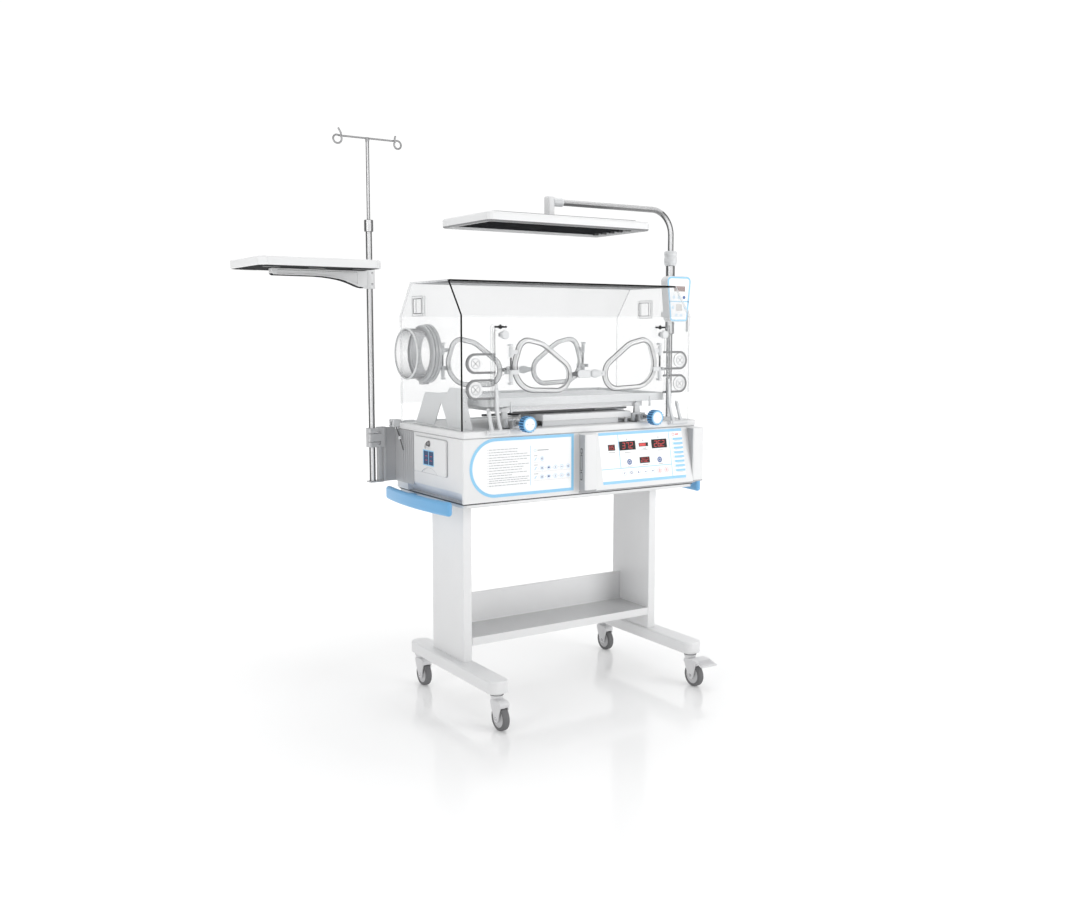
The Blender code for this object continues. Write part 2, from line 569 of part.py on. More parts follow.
hp = [(FAN_X + 0.0750, FAN_Y - 0.0080, DECK_Z1 + GAP + 0.0001), (FAN_X + 0.0750, FAN_Y - 0.0080, DECK_Z1 + 0.0070)]
for k in range(19):
    a = math.radians(-352 * k / 18.0 + 4)
    if k in (0, 18):
        continue
    hp.append((FAN_X + 0.0750 * math.cos(a), FAN_Y + 0.0750 * math.sin(a), DECK_Z1 + 0.0100))
hp += [(FAN_X + 0.0750, FAN_Y + 0.0080, DECK_Z1 + 0.0070), (FAN_X + 0.0750, FAN_Y + 0.0080, DECK_Z1 + GAP + 0.0001)]
wire("heater_element", hp, 0.0032, "steel", res=1)

# ------------------------------------------------------ air baffle, at left
baf = slab("air_baffle", [[(-0.2000, DECK_Z1 + GAP), (-0.0400, DECK_Z1 + GAP), (0.0100, 1.0170), (0.0620, DECK_Z1 + GAP), (0.1960, DECK_Z1 + GAP),
                           (0.1260, 1.0460), (-0.0300, 1.0480), (-0.0500, 1.0690), (-0.1650, 1.0690), (-0.1650, 1.0180)]],
           "YZ", -0.4180, -0.4145, "white_casing")
combine(baf, box("baffle_foot_a", (-0.4160, -0.1700, DECK_Z1 + GAP), (-0.4020, -0.0700, DECK_Z1 + GAP + 0.003)))
combine(baf, box("baffle_foot_b", (-0.4160, 0.0900, DECK_Z1 + GAP), (-0.4020, 0.1700, DECK_Z1 + GAP + 0.003)))


# ------------------------------------------------------------------- hood
def port_circles(side, grow=0.0):
    """Hand-port outline; side -1 is the left port, +1 its mirror image."""
    return [(PORT_MID - side * u, v, r + grow) for u, v, r in PORT_CIRCLES]


def hood_profile(t):
    """Gable-like section of the hood in Y, Z, inset by t."""
    k = t * math.tan(0.5 * math.atan2(HOOD_IN, HOOD_TOP - HOOD_WALL_Z))
    slope = math.atan2(HOOD_TOP - HOOD_WALL_Z, HOOD_IN)
    m = t * math.tan(0.5 * slope)
    right = [(HOOD_Y - t, HOOD_Z0), (HOOD_Y - t, HOOD_WALL_Z - k), (HOOD_Y - HOOD_IN - m, HOOD_TOP - t)]
    return right, [(-u, v) for u, v in right[::-1]]


axis_empty("hood", (0, HINGE_Y, HINGE_Z), "stand")
ro, lo_ = hood_profile(0.0)
ri, li_ = hood_profile(HOOD_T)
XC = HOOD_X - END_T - GAP
can = slab("hood_canopy", [ro + lo_ + [(-u, v) for u, v in ri] + [(-u, v) for u, v in li_]],
           "YZ", -XC, XC, "clear_acrylic", "hood")
cut(can, slab("door_opening", [hull([(OPEN_X0, HOOD_Z0 - 0.02, 0), (OPEN_X1, HOOD_Z0 - 0.02, 0), (OPEN_X1 - 0.012, OPEN_Z1 - 0.012, 0.012),
                                     (OPEN_X0 + 0.012, OPEN_Z1 - 0.012, 0.012)], 8)],
              "XZ", -HOOD_Y - 0.01, -HOOD_Y + 0.01, key="hood"))
SLOT_R = GROM_R - 0.0045
for sx, gx, ox in ((-1, GROM_X[0], OPEN_X0), (1, GROM_X[1], OPEN_X1)):
    for gz in GROM_Z:
        cut(can, slab("tube_slot", [hull([(gx, gz, SLOT_R), (ox - sx * 0.02, gz - SLOT_R, 0), (ox - sx * 0.02, gz + SLOT_R, 0)], 16)],
                      "XZ", -HOOD_Y - 0.01, -HOOD_Y + 0.01, key="hood"))
for side in (-1, 1):
    cut(can, slab("back_port_hole", [hull(port_circles(side, -PORT_BAND), 14)], "XZ", HOOD_Y - 0.01, HOOD_Y + 0.01, key="hood"))
# notches for the two tilt shafts are inside the door opening; the back wall
# carries two ears for each port's hinge pin
EAR = 0.0075


def port_hinge_x(side):
    return PORT_MID - side * PHINGE_DX


for side in (-1, 1):
    hx = port_hinge_x(side)
    for z in (PHINGE_Z0 - 0.0085, PHINGE_Z1 + 0.0010):
        ear = box("ear", (hx - 0.0055, HOOD_Y - 0.001, z), (hx + 0.0055, HOOD_Y + 0.0185, z + EAR), key="hood")
        cut(ear, rod("ear_bore", (hx, HOOD_Y + 0.0120, z - 0.01), (hx, HOOD_Y + 0.0120, z + 0.02), 0.0025, key="hood", seg=8))
        combine(can, ear)

END_LOOP = ro + lo_
for name, sx in (("hood_end_left", -1), ("hood_end_right", 1)):
    loops = [END_LOOP]
    if sx < 0:
        loops.append(circle(0.0, IRIS_Z, IRIS_BORE + 0.0015, 28)[::-1])
    a, b = sorted((sx * (HOOD_X - END_T), sx * HOOD_X))
    e = slab(name, loops, "YZ", a, b, "clear_acrylic", "hood")

# hinge rod with its three clamp tabs on the hood's back wall
hr = rod("hood_hinge_rod", (-0.4860, HINGE_Y, HINGE_Z), (0.4860, HINGE_Y, HINGE_Z), HINGE_R, "steel", "hood", 14)
for x in (-0.3400, 0.0, 0.3400):
    combine(hr, slab("clamp_tab", [hull([(HINGE_Y, HINGE_Z, 0.0080), (HOOD_Y + 0.0004, 0.9380, 0), (HOOD_Y + 0.0004, 0.9680, 0), (HOOD_Y + 0.0040, 0.9680, 0)], 8)],
                     "YZ", x - 0.0150, x + 0.0150, key="hood"))
for sx in (-1, 1):
    combine(hr, rod("stop_ring", (sx * 0.4100, HINGE_Y, HINGE_Z), (sx * 0.4480, HINGE_Y, HINGE_Z), 0.0108, key="hood", seg=14))
for name, sx in (("hinge_block_left", -1), ("hinge_block_right", 1)):
    a, b = sorted((sx * 0.4672, sx * 0.4980))
    blk = box(name, (a, 0.2105, 0.9228), (b, 0.2440, 0.9495), "light_grey", bevel=0.0025, seg=1)
    cut(blk, rod(name + "_bore", (a - 0.01, HINGE_Y, HINGE_Z), (b + 0.01, HINGE_Y, HINGE_Z), HINGE_R + 0.0006, seg=14))

# ---------------------------------------------------------- hand-port doors


def make_port_door(name, side, front, key, parent):
    """Rounded-triangle door: a raised ring with a thin pane behind it, two
    hinge barrels on one pin, and a latch lever on the other side."""
    hx = port_hinge_x(side)
    if front:
        y_in, s = DOOR_Y0 - GAP, -1
    else:
        y_in, s = HOOD_Y + GAP, 1
    y_out = y_in + s * PORT_DEPTH
    hy = (DOOR_Y0 if front else HOOD_Y) + s * 0.0120
    axis_empty(key, (hx, hy, (PHINGE_Z0 + PHINGE_Z1) / 2), parent)
    ob = slab(name, [hull(port_circles(side), 16)], "XZ", min(y_in, y_out), max(y_in, y_out), "smoke_acrylic", key)
    c0, c1 = sorted((y_in + s * (0.0020 + PANE_T), y_out + s * 0.01))
    cut(ob, slab(name + "_dish", [hull(port_circles(side, -PORT_BAND), 14)], "XZ", c0, c1, key=key))
    c0, c1 = sorted((y_in - s * 0.01, y_in + s * 0.0020))
    cut(ob, slab(name + "_lip", [hull(port_circles(side, -PORT_BAND), 14)], "XZ", c0, c1, key=key))
    d = 1 if hx < PORT_MID else -1                       # from the hinge towards the port
    for z0, z1 in ((PHINGE_Z0, PHINGE_Z0 + 0.0330), (PHINGE_Z1 - 0.0350, PHINGE_Z1)):
        combine(ob, rod(name + "_barrel", (hx, hy, z0), (hx, hy, z1), 0.0070, key=key, seg=8))
        a, b = sorted((hx, hx + d * 0.0300))
        arm = box(name + "_arm", (a, min(hy - 0.003, hy + 0.003), z0 + 0.004), (b, max(hy - 0.003, hy + 0.003), z1 - 0.004), key=key)
        combine(ob, arm)
    combine(ob, rod(name + "_pin", (hx, hy, PHINGE_Z0 - 0.0070), (hx, hy, PHINGE_Z1 + 0.0070), 0.0021, key=key, seg=8))
    # latch lever
    ly0, ly1 = sorted((y_in + s * 0.0010, y_in + s * 0.0120))
    tip = PORT_MID + side * 0.0649                       # inner extreme of the ring
    a, b = sorted((tip + side * 0.0060, PORT_MID + side * 0.0350))
    combine(ob, box(name + "_neck", (a, ly0, 1.1030), (b, ly1, 1.1170), key=key))
    a, b = (-0.0360, 0.0150) if side < 0 else (0.0210, 0.0540)
    combine(ob, slab(name + "_lever", [round_rect(a, b, 1.0960, 1.1260, 0.006, 8)], "XZ",
                     *sorted((y_in + s * 0.0010, y_in + s * 0.0150)), key=key))
    return ob


# -------------------------------------------------------------- front door
axis_empty("front_door", (0, DHINGE_Y, DHINGE_Z), "stand")
loops = [round_rect(DOOR_X0, DOOR_X1, DOOR_Z0, DOOR_Z1, 0.010, 8)]
for side in (-1, 1):
    loops.append(hull(port_circles(side, -PORT_BAND), 16)[::-1])
fd = slab("front_door", loops, "XZ", DOOR_Y0, DOOR_Y1, "clear_acrylic", "front_door")
for side in (-1, 1):
    hx = port_hinge_x(side)
    for z in (PHINGE_Z0 - 0.0085, PHINGE_Z1 + 0.0010):
        ear = box("ear", (hx - 0.0055, DOOR_Y0 - 0.0185, z), (hx + 0.0055, DOOR_Y0 + 0.0022, z + EAR), key="front_door")
        cut(ear, rod("ear_bore", (hx, DOOR_Y0 - 0.0120, z - 0.01), (hx, DOOR_Y0 - 0.0120, z + 0.02), 0.0025, key="front_door", seg=8))
        combine(fd, ear)
LATCH_X, LATCH_Z = (-0.3235, 0.3215), 1.2400
for x in LATCH_X:
    cut(fd, rod("latch_bore", (x, DOOR_Y0 - 0.01, LATCH_Z), (x, DOOR_Y1 + 0.01, LATCH_Z), 0.0064, key="front_door", seg=12))


def make_door_hinge(name, x0, x1, xa, xb, mirror):
    """Barrel on the deck's edge with a long and a short arm up to the door."""
    ob = rod(name, (x0, DHINGE_Y, DHINGE_Z), (x1, DHINGE_Y, DHINGE_Z), DHINGE_R, "light_grey", "front_door", 12)
    for x, top, w in ((xb, 1.0860, 0.0100), (xa, 1.0090, 0.0100)):
        arm = slab(name + "_arm", [[(-0.2570, 0.9340), (-0.2440, 0.9340), (-0.2400, 0.9520), (-0.2310, 0.9760), (-0.2229, 0.9960),
                                    (-0.2229, top), (-0.2275, top), (-0.2310, top - 0.020), (-0.2345, 1.0000), (-0.2420, 0.9700), (-0.2540, 0.9440)]],
                   "YZ", x - w / 2, x + w / 2, key="front_door")
        combine(ob, arm)
    lo, hi = sorted((xa, xb))
    combine(ob, slab(name + "_web", [[(-0.2520, 0.9400), (-0.2450, 0.9400), (-0.2330, 0.9730), (-0.2330, 0.9860), (-0.2370, 0.9860), (-0.2440, 0.9680)]],
                     "YZ", lo, hi, key="front_door"))
    cut(ob, rod(name + "_bore", (x0 - 0.01, DHINGE_Y, DHINGE_Z), (x1 + 0.01, DHINGE_Y, DHINGE_Z), 0.0035, key="front_door", seg=10))
    return ob


make_door_hinge("door_hinge_left", DH[0][0], DH[0][1], -0.3745, -0.3440, False)
make_door_hinge("door_hinge_right", DH[1][0], DH[1][1], 0.3960, 0.3600, True)

for name, x in zip(("door_latch_left", "door_latch_right"), LATCH_X):
    key = name
    axis_empty(key, (x, DOOR_Y0, LATCH_Z), "front_door")
    kn = turned(name, [(0, 0.0300), (0.0120, 0.0300), (0.0140, 0.0280), (0.0140, 0.0150), (0.0085, 0.0140), (0.0085, GAP),
                       (0.0060, GAP), (0.0060, -0.0053), (0, -0.0053)], (x, DOOR_Y0, LATCH_Z), "Y", "light_grey", key, 14)
    kn.rotation_euler = (math.pi / 2, 0, 0)
    combine(kn, box(name + "_flag", (x - 0.0040, DOOR_Y0 - 0.0120, LATCH_Z), (x + 0.0040, DOOR_Y0 - 0.0060, LATCH_Z + 0.0240), key=key))

make_port_door("port_door_fl", -1, True, "port_fl", "front_door")
make_port_door("port_door_fr", 1, True, "port_fr", "front_door")
make_port_door("port_door_bl", -1, False, "port_bl", "hood")
make_port_door("port_door_br", 1, False, "port_br", "hood")

# --------------------------------------------------------------- iris port
fl = turned("iris_flange", [(IRIS_BORE - 0.0020, 0.0316), (0.0890, 0.0316), (IRIS_R1, 0.0290), (IRIS_R1, 0.0080), (IRIS_R0, 0.0070),
                            (IRIS_R0, GAP), (IRIS_BORE + 0.0008, GAP), (IRIS_BORE + 0.0008, -0.0070), (IRIS_BORE - 0.0020, -0.0070)],
            (-HOOD_X, 0, IRIS_Z), "X", "grey_casing", "hood", 28)
fl.rotation_euler = (0, -math.pi / 2, 0)
combine(fl, box("iris_tab", (-0.4960, -0.0090, IRIS_Z - 0.1000), (-0.4700, 0.0160, IRIS_Z - 0.0880), key="hood"))
axis_empty("iris", (IRIS_X1, 0, IRIS_Z), "hood")
sl = turned("iris_sleeve", [(SLEEVE_R - 0.0030, 0.0520), (SLEEVE_R, 0.0520), (SLEEVE_R, 0.0040), (SLEEVE_R + 0.0035, 0.0030),
                            (SLEEVE_R + 0.0035, GAP), (SLEEVE_R - 0.0090, GAP), (SLEEVE_R - 0.0090, 0.0035), (SLEEVE_R - 0.0030, 0.0035)],
            (IRIS_X1, 0, IRIS_Z), "X", "clear_acrylic", "iris", 28)
sl.rotation_euler = (0, -math.pi / 2, 0)


# ------------------------------------------------------------ tube grommets
def make_grommet(name, gx, ox, sx):
    """Two U-shaped rubber edgings joined by a strip along the opening."""
    y0, y1 = -HOOD_Y, -HOOD_Y + HOOD_T
    edge = ox - sx * 0.0040
    ob = None
    for gz in GROM_Z:
        inner = circle(gx, gz, 0.0165, 12)[::-1]
        outer = hull([(gx, gz, GROM_R), (edge, gz - GROM_R, 0), (edge, gz + GROM_R, 0)], 16)
        core = hull([(gx, gz, SLOT_R - 2 * GAP), (edge, gz - SLOT_R + 2 * GAP, 0), (edge, gz + SLOT_R - 2 * GAP, 0)], 16)
        mid = slab(name + "_core", [core], "XZ", y0 - 0.0010, y1 + 0.0012, None, "hood")
        for a, b in ((y0 - 0.0015, y0 - GAP), (y1 + GAP, y1 + 0.0022)):
            combine(mid, slab(name + "_rim", [outer], "XZ", a, b, None, "hood"))
        cut(mid, slab(name + "_well", [inner], "XZ", y0 - 0.01, y0 + 0.0020, None, "hood"))
        if ob is None:
            ob = mid
            ob.name = name
            ob.data.materials.append(MATS["rubber"])
        else:
            combine(ob, mid)
    a, b = sorted((edge, ox - sx * GAP))
    combine(ob, box(name + "_strip", (a, y0 - 0.0010, GROM_Z[0] - 0.0400), (b, y1 + 0.0012, GROM_Z[1] + 0.0400), key="hood"))
    return ob


make_grommet("tube_grommet_left", GROM_X[0], OPEN_X0, -1)
make_grommet("tube_grommet_right", GROM_X[1], OPEN_X1, 1)

# -------------------------------------------------------------------- bed
axis_empty("bed_frame", (PIVOT_X, 0, 0.9980), "stand")
fr = slab("tilt_frame", [round_rect(-0.2950, 0.2950, -0.1640, 0.1640, 0.008, 8), round_rect(-0.2740, 0.2740, -0.1490, 0.1490, 0.004, 8)[::-1]],
          "XY", FRAME_Z0, FRAME_Z1, "white_casing", "bed_frame")
# the left end slopes down, clear of the tray's end when it tips over it
cut(fr, slab("frame_slope", [[(-0.2520, 1.0300), (-0.2520, 1.0088), (-0.3100, 0.9958), (-0.3100, 1.0300)]], "XZ", -0.1800, 0.1800, key="bed_frame"))
for sy in (-1, 1):
    combine(fr, rod("frame_pin", (PIVOT_X, sy * 0.1600, 0.9980), (PIVOT_X, sy * 0.1760, 0.9980), 0.0039, key="bed_frame", seg=10))
    combine(fr, rod("tray_pin", (-PIVOT_X, sy * 0.1500, 0.9980), (-PIVOT_X, sy * 0.1380, 0.9980), 0.0039, key="bed_frame", seg=10))
axis_empty("bed_tray", (-PIVOT_X, 0, 0.9980), "bed_frame")
tray = slab("mattress_tray", [round_rect(-TRAY_X, TRAY_X, -TRAY_Y, TRAY_Y, 0.012, 8)], "XY", TRAY_Z0, TRAY_Z1, "light_grey", "bed_tray")
cut(tray, slab("tray_void", [round_rect(-TRAY_X + TRAY_T, TRAY_X - TRAY_T, -TRAY_Y + TRAY_T, TRAY_Y - TRAY_T, 0.008, 8)],
               "XY", TRAY_Z0 + TRAY_T, TRAY_Z1 + 0.01, key="bed_tray"))
for sy in (-1, 1):
    lo, hi = sorted((sy * 0.1400, sy * 0.1470))
    ear = box("tray_lug", (-PIVOT_X - 0.0100, lo, 0.9915), (-PIVOT_X + 0.0100, hi, TRAY_Z0 + 0.002), key="bed_tray")
    cut(ear, rod("tray_lug_bore", (-PIVOT_X, lo - 0.01, 0.9980), (-PIVOT_X, hi + 0.01, 0.9980), 0.0044, key="bed_tray", seg=10))
    combine(tray, ear)
for x in (-0.2735, 0.2962):
    combine(tray, box("tray_stop", (x - 0.0035, -0.2030, 0.9900), (x + 0.0035, -0.1970, 1.0255), key="bed_tray"))
box("mattress", (-0.3560, -0.1920, TRAY_Z0 + TRAY_T + GAP), (0.3560, 0.1920, 1.0300), "vinyl", "bed_tray", bevel=0.004, seg=2)

for name, x in zip(("tilt_knob_left", "tilt_knob_right"), KNOB_X):
    key = name
    axis_empty(key, (x, KNOB_Y1, KNOB_Z), "stand")
    n = 14
    rim = []
    for k in range(2 * n):
        a = math.pi * k / n
        r = KNOB_R - (0.0014 if k % 2 else 0.0)
        rim.append((x + r * math.cos(a), KNOB_Z + r * math.sin(a)))
    kn = slab(name, [rim], "XZ", KNOB_Y0 + 0.0015, KNOB_Y1, "blue_plastic", key)
    combine(kn, rod(name + "_cap", (x, KNOB_Y0, KNOB_Z), (x, KNOB_Y0 + 0.004, KNOB_Z), 0.0215, key=key, seg=16, r2=0.0235))
    combine(kn, rod(name + "_shaft", (x, KNOB_Y1 - 0.004, KNOB_Z), (x, -0.1790, KNOB_Z), 0.0060, key=key, seg=10))
    combine(kn, rod(name + "_boss", (x, KNOB_Y1 - 0.004, KNOB_Z), (x, -0.2480, KNOB_Z), 0.0105, key=key, seg=10))
    combine(kn, rod(name + "_worm", (x, -0.1855, KNOB_Z), (x, -0.1790, KNOB_Z), 0.0100, key=key, seg=10))

# ------------------------------------------- left pole, shelf and hooks
br = box("iv_bracket", (-0.4780, 0.1000, 0.7350), (-BODY_X - GAP, 0.2440, 0.9150), "light_grey")
combine(br, box("bracket_flange", (-0.5180, 0.2390, 0.7350), (-0.4760, 0.2440, 0.9225)))
combine(br, box("bracket_rail", (-0.5460, 0.2290, 0.7350), (-0.5165, 0.2470, 0.9250)))
combine(br, slab("bracket_clamp", [round_rect(IV_X - 0.0175, -0.5190, IV_Y - 0.0175, IV_Y + 0.0175, 0.009, 8)], "XY", 0.8560, 0.9215))
for y in (IV_Y,):
    cut(br, rod("clamp_bore", (IV_X, IV_Y, 0.70), (IV_X, IV_Y, 0.95), IV_R + 0.0004, seg=18))
combine(br, slab("bracket_foot", [round_rect(IV_X - 0.0175, -0.5300, IV_Y - 0.0175, IV_Y + 0.0175, 0.006, 8)], "XY", 0.7350, 0.7390))
for k, z in enumerate((0.8700, 0.9070)):
    combine(br, rod("clamp_bolt_%d" % k, (-0.5480, IV_Y - 0.0230, z), (-0.5480, IV_Y - 0.0160, z), 0.0050, seg=8))
for k in range(2):
    cut(br, box("bracket_groove_%d" % k, (-0.4800, 0.1080 + 0.022 * k, 0.7300), (-0.4768, 0.1160 + 0.022 * k, 0.93)))

pole = turned("iv_pole", [(0.0062, IV_Z1 + 0.0391), (0.0140, IV_Z1 + 0.0391), (0.0155, IV_Z1 + 0.0370), (0.0155, IV_Z1), (IV_R, IV_Z1),
                          (IV_R, IV_Z0 - 0.0002), (0.0088, IV_Z0 - 0.0002), (0.0088, IV_Z1 - 0.0100), (0.0062, IV_Z1 - 0.0080)],
              (IV_X, IV_Y, 0), "Z", "steel", seg=18)

axis_empty("iv_rod", (IV_X, IV_Y, ROD_TOP), "stand")
irod = rod("iv_rod", (IV_X, IV_Y, 1.2500), (IV_X, IV_Y, ROD_TOP + 0.0020), ROD_R, "steel", "iv_rod", 12)
HOOK_R, HOOK_W = 0.0138, 0.0030


def pigtail(sx):
    """Half of the cross bar with a one-turn hook and an upright tip."""
    cx = IV_X + sx * 0.1080
    cz = ROD_TOP - 0.0120
    pts = [(IV_X, IV_Y, ROD_TOP), (IV_X + sx * 0.05, IV_Y, ROD_TOP), (cx - sx * 0.020, IV_Y, ROD_TOP - 0.0002)]
    for k in range(13):
        a = math.radians(112 - 338 * k / 12.0)
        pts.append((cx + sx * HOOK_R * math.cos(a), IV_Y - 0.0090 * k / 12.0, cz + HOOK_R * math.sin(a)))
    pts.append((cx - sx * 0.0120, IV_Y - 0.0095, cz + 0.0200))
    pts.append((cx - sx * 0.0085, IV_Y - 0.0098, cz + 0.0340))
    return pts


left, right = pigtail(-1), pigtail(1)
combine(irod, wire("iv_hooks", left[::-1] + right[1:], HOOK_W, key="iv_rod", res=1))

axis_empty("shelf_swivel", (IV_X, IV_Y, 1.4250), "stand")
arm = slab("shelf_arm", [[(-0.9150, 1.4340), (-0.9020, 1.4290), (-0.7600, 1.4285), (-0.7050, 1.4240), (-0.6550, 1.4140), (-0.6200, 1.4010), (-0.5950, 1.3945),
                          (-0.5790, 1.3940), (-0.5790, 1.4590), (-0.5835, 1.4590), (-0.5835, MSH_Z0 - GAP), (-0.9150, MSH_Z0 - GAP)]],
           "XZ", IV_Y - 0.0150, IV_Y + 0.0150, "white_casing", "shelf_swivel")
combine(arm, rod("arm_collar", (IV_X, IV_Y, 1.3930), (IV_X, IV_Y, 1.4600), 0.0185, key="shelf_swivel", seg=16))
cut(arm, rod("arm_bore", (IV_X, IV_Y, 1.38), (IV_X, IV_Y, 1.47), IV_R + 0.0004, key="shelf_swivel", seg=18))
for z in (1.4080, 1.4450):
    combine(arm, rod("arm_screw", (IV_X + 0.0020, IV_Y - 0.0200, z), (IV_X + 0.0020, IV_Y - 0.0140, z), 0.0045, key="shelf_swivel", seg=8))


def chamfered(x0, x1, y0, y1, c):
    return [(x0 + c, y0), (x1 - c, y0), (x1, y0 + c), (x1, y1 - c), (x1 - c, y1), (x0 + c, y1), (x0, y1 - c), (x0, y0 + c)]


msh = slab("monitor_shelf", [chamfered(MSH_X0, MSH_X1, MSH_Y0, MSH_Y1, 0.022)], "XY", MSH_Z0, MSH_Z1, "white_casing", "shelf_swivel")
cut(msh, slab("monitor_void", [chamfered(MSH_X0 + 0.006, MSH_X1 - 0.006, MSH_Y0 + 0.006, MSH_Y1 - 0.006, 0.020)], "XY", MSH_Z0 + 0.0050, MSH_Z1 + 0.01, key="shelf_swivel"))

# ------------------------------------------------------------- lamp, at right
lp = turned("lamp_pole", [(0, 1.2500), (0.0114, 1.2500), (0.0114, 1.4950), (HOUS_R, 1.4950), (HOUS_R, 1.2440), (0.0150, 1.2416), (0.0110, 1.2400),
                          (0.0110, 0.7600), (0, 0.7600)], (LP_X, LP_Y, 0), "Z", "steel", seg=16)
for z in (0.7800, 0.8800):
    combine(lp, slab("lamp_bracket", [hull([(LP_X, LP_Y, 0.0190), (BODY_X + GAP, LP_Y - 0.0250, 0), (BODY_X + GAP, LP_Y + 0.0250, 0)], 10)], "XY", z, z + 0.0150))
combine(lp, box("lamp_plate", (BODY_X + GAP, LP_Y - 0.0350, 0.7650), (BODY_X + 0.0060, LP_Y + 0.0350, 0.9100)))

axis_empty("lamp_swivel", (LP_X, LP_Y, 1.5200), "stand")
col = turned("lamp_collar", [(0.0114, 1.5500), (0.0200, 1.5500), (0.0243, 1.5440), (0.0243, 1.5010), (0.0215, 1.4953), (0.0114, 1.4953)],
             (LP_X, LP_Y, 0), "Z", "light_grey", "lamp_swivel", 16)
combine(col, rod("collar_knob", (LP_X + 0.0108, LP_Y + 0.0168, 1.5230), (LP_X + 0.0227, LP_Y + 0.0353, 1.5230), 0.0115, key="lamp_swivel", seg=10))

axis_empty("lamp_mast", (LP_X, LP_Y, 1.6060), "lamp_swivel")
mp = [(LP_X, LP_Y, 1.3600), (LP_X, LP_Y, ARM_Z - BEND_R)]
for k in range(1, 9):
    a = math.radians(90 * k / 9.0)
    mp.append((LP_X - BEND_R + BEND_R * math.cos(a), LP_Y, ARM_Z - BEND_R + BEND_R * math.sin(a)))
mp += [(LP_X - BEND_R, LP_Y, ARM_Z), (0.0400, LP_Y, ARM_Z)]
wire("lamp_mast", mp, MAST_R, "steel", "lamp_mast", res=2)

axis_empty("lamp_tilt", (0.0100, LP_Y, ARM_Z), "lamp_mast")
LC = (LAMP_Y0 + LAMP_Y1) / 2
head = slab("lamp_head", [round_rect(LAMP_X0, LAMP_X1, LAMP_Y0, LAMP_Y1, 0.018, 8)], "XY", LAMP_Z0, LAMP_Z1, "white_casing", "lamp_tilt")
rounded(head, 0.0080, 1)
cut(head, slab("lamp_recess", [round_rect(LAMP_X0 + 0.013, LAMP_X1 - 0.013, LAMP_Y0 + 0.013, LAMP_Y1 - 0.013, 0.010, 8)], "XY", LAMP_Z0 - 0.01, LAMP_Z0 + 0.0235, key="lamp_tilt"))
combine(head, slab("lamp_crown", [round_rect(LAMP_X0 + 0.060, LAMP_X1 - 0.060, LAMP_Y0 + 0.045, LAMP_Y1 - 0.045, 0.030, 8)], "XY", LAMP_Z1 - 0.003, LAMP_Z1 + 0.0045, key="lamp_tilt"))
combine(head, box("lamp_pivot", (-0.0090, LP_Y - 0.0210, LAMP_Z1 - 0.002), (0.0320, LP_Y + 0.0210, 1.7190), key="lamp_tilt", bevel=0.005, seg=1))
combine(head, rod("lamp_socket", (0.0300, LP_Y, ARM_Z), (0.0670, LP_Y, ARM_Z), 0.0150, key="lamp_tilt", seg=14))
cut(head, rod("lamp_socket_bore", (0.0380, LP_Y, ARM_Z), (0.0800, LP_Y, ARM_Z), MAST_R + 0.0006, key="lamp_tilt", seg=14))

cx0, cx1, cy0, cy1, cz0, cz1 = CTRL
cm = (cx0 + cx1) / 2
ctl = slab("lamp_controller", [hull([(cx0 + 0.020, cz1 - 0.020, 0.020), (cx1 - 0.020, cz1 - 0.020, 0.020), (cx1 - 0.028, cz0 + 0.014, 0.014), (cx0 + 0.028, cz0 + 0.014, 0.014)], 8)],
           "XZ", cy0, cy1, "white_casing")
rounded(ctl, 0.0040, 1)
combine(ctl, box("controller_back", (LP_X - 0.0240, cy1 - 0.0030, 1.3050), (LP_X + 0.0240, LP_Y + 0.0240, 1.3250)))
combine(ctl, box("controller_back_top", (LP_X - 0.0240, cy1 - 0.0030, 1.4150), (LP_X + 0.0240, LP_Y + 0.0240, 1.4350)))
cut(ctl, rod("controller_bore", (LP_X, LP_Y, 1.25), (LP_X, LP_Y, 1.48), HOUS_R + 0.0004, seg=16))
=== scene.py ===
"""Infant incubator on a wheeled stand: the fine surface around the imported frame."""
import math

import bmesh
import bpy
from mathutils import Matrix, Vector


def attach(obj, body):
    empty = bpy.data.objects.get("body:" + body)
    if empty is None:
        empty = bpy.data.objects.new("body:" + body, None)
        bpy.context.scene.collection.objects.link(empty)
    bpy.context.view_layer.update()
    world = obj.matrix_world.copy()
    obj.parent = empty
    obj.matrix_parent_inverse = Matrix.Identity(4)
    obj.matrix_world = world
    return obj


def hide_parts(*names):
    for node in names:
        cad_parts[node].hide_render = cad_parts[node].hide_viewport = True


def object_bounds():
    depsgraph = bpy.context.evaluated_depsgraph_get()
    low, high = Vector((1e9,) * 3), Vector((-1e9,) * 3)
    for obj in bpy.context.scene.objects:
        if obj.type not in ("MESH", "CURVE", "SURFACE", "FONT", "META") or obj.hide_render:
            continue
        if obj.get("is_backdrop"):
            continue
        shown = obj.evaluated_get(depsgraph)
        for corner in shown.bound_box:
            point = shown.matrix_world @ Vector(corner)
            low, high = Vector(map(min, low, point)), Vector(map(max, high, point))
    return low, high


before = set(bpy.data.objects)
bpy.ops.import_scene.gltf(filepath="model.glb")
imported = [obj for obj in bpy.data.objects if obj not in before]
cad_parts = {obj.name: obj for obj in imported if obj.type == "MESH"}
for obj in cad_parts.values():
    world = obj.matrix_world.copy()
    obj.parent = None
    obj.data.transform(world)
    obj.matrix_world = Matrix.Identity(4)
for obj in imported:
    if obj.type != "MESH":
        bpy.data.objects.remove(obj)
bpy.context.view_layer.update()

OX, OY = 0.18950, 0.01100                 # stand coordinates to the shared frame
SHIFT = Vector((OX, OY, 0.0))
GAP = 0.0003

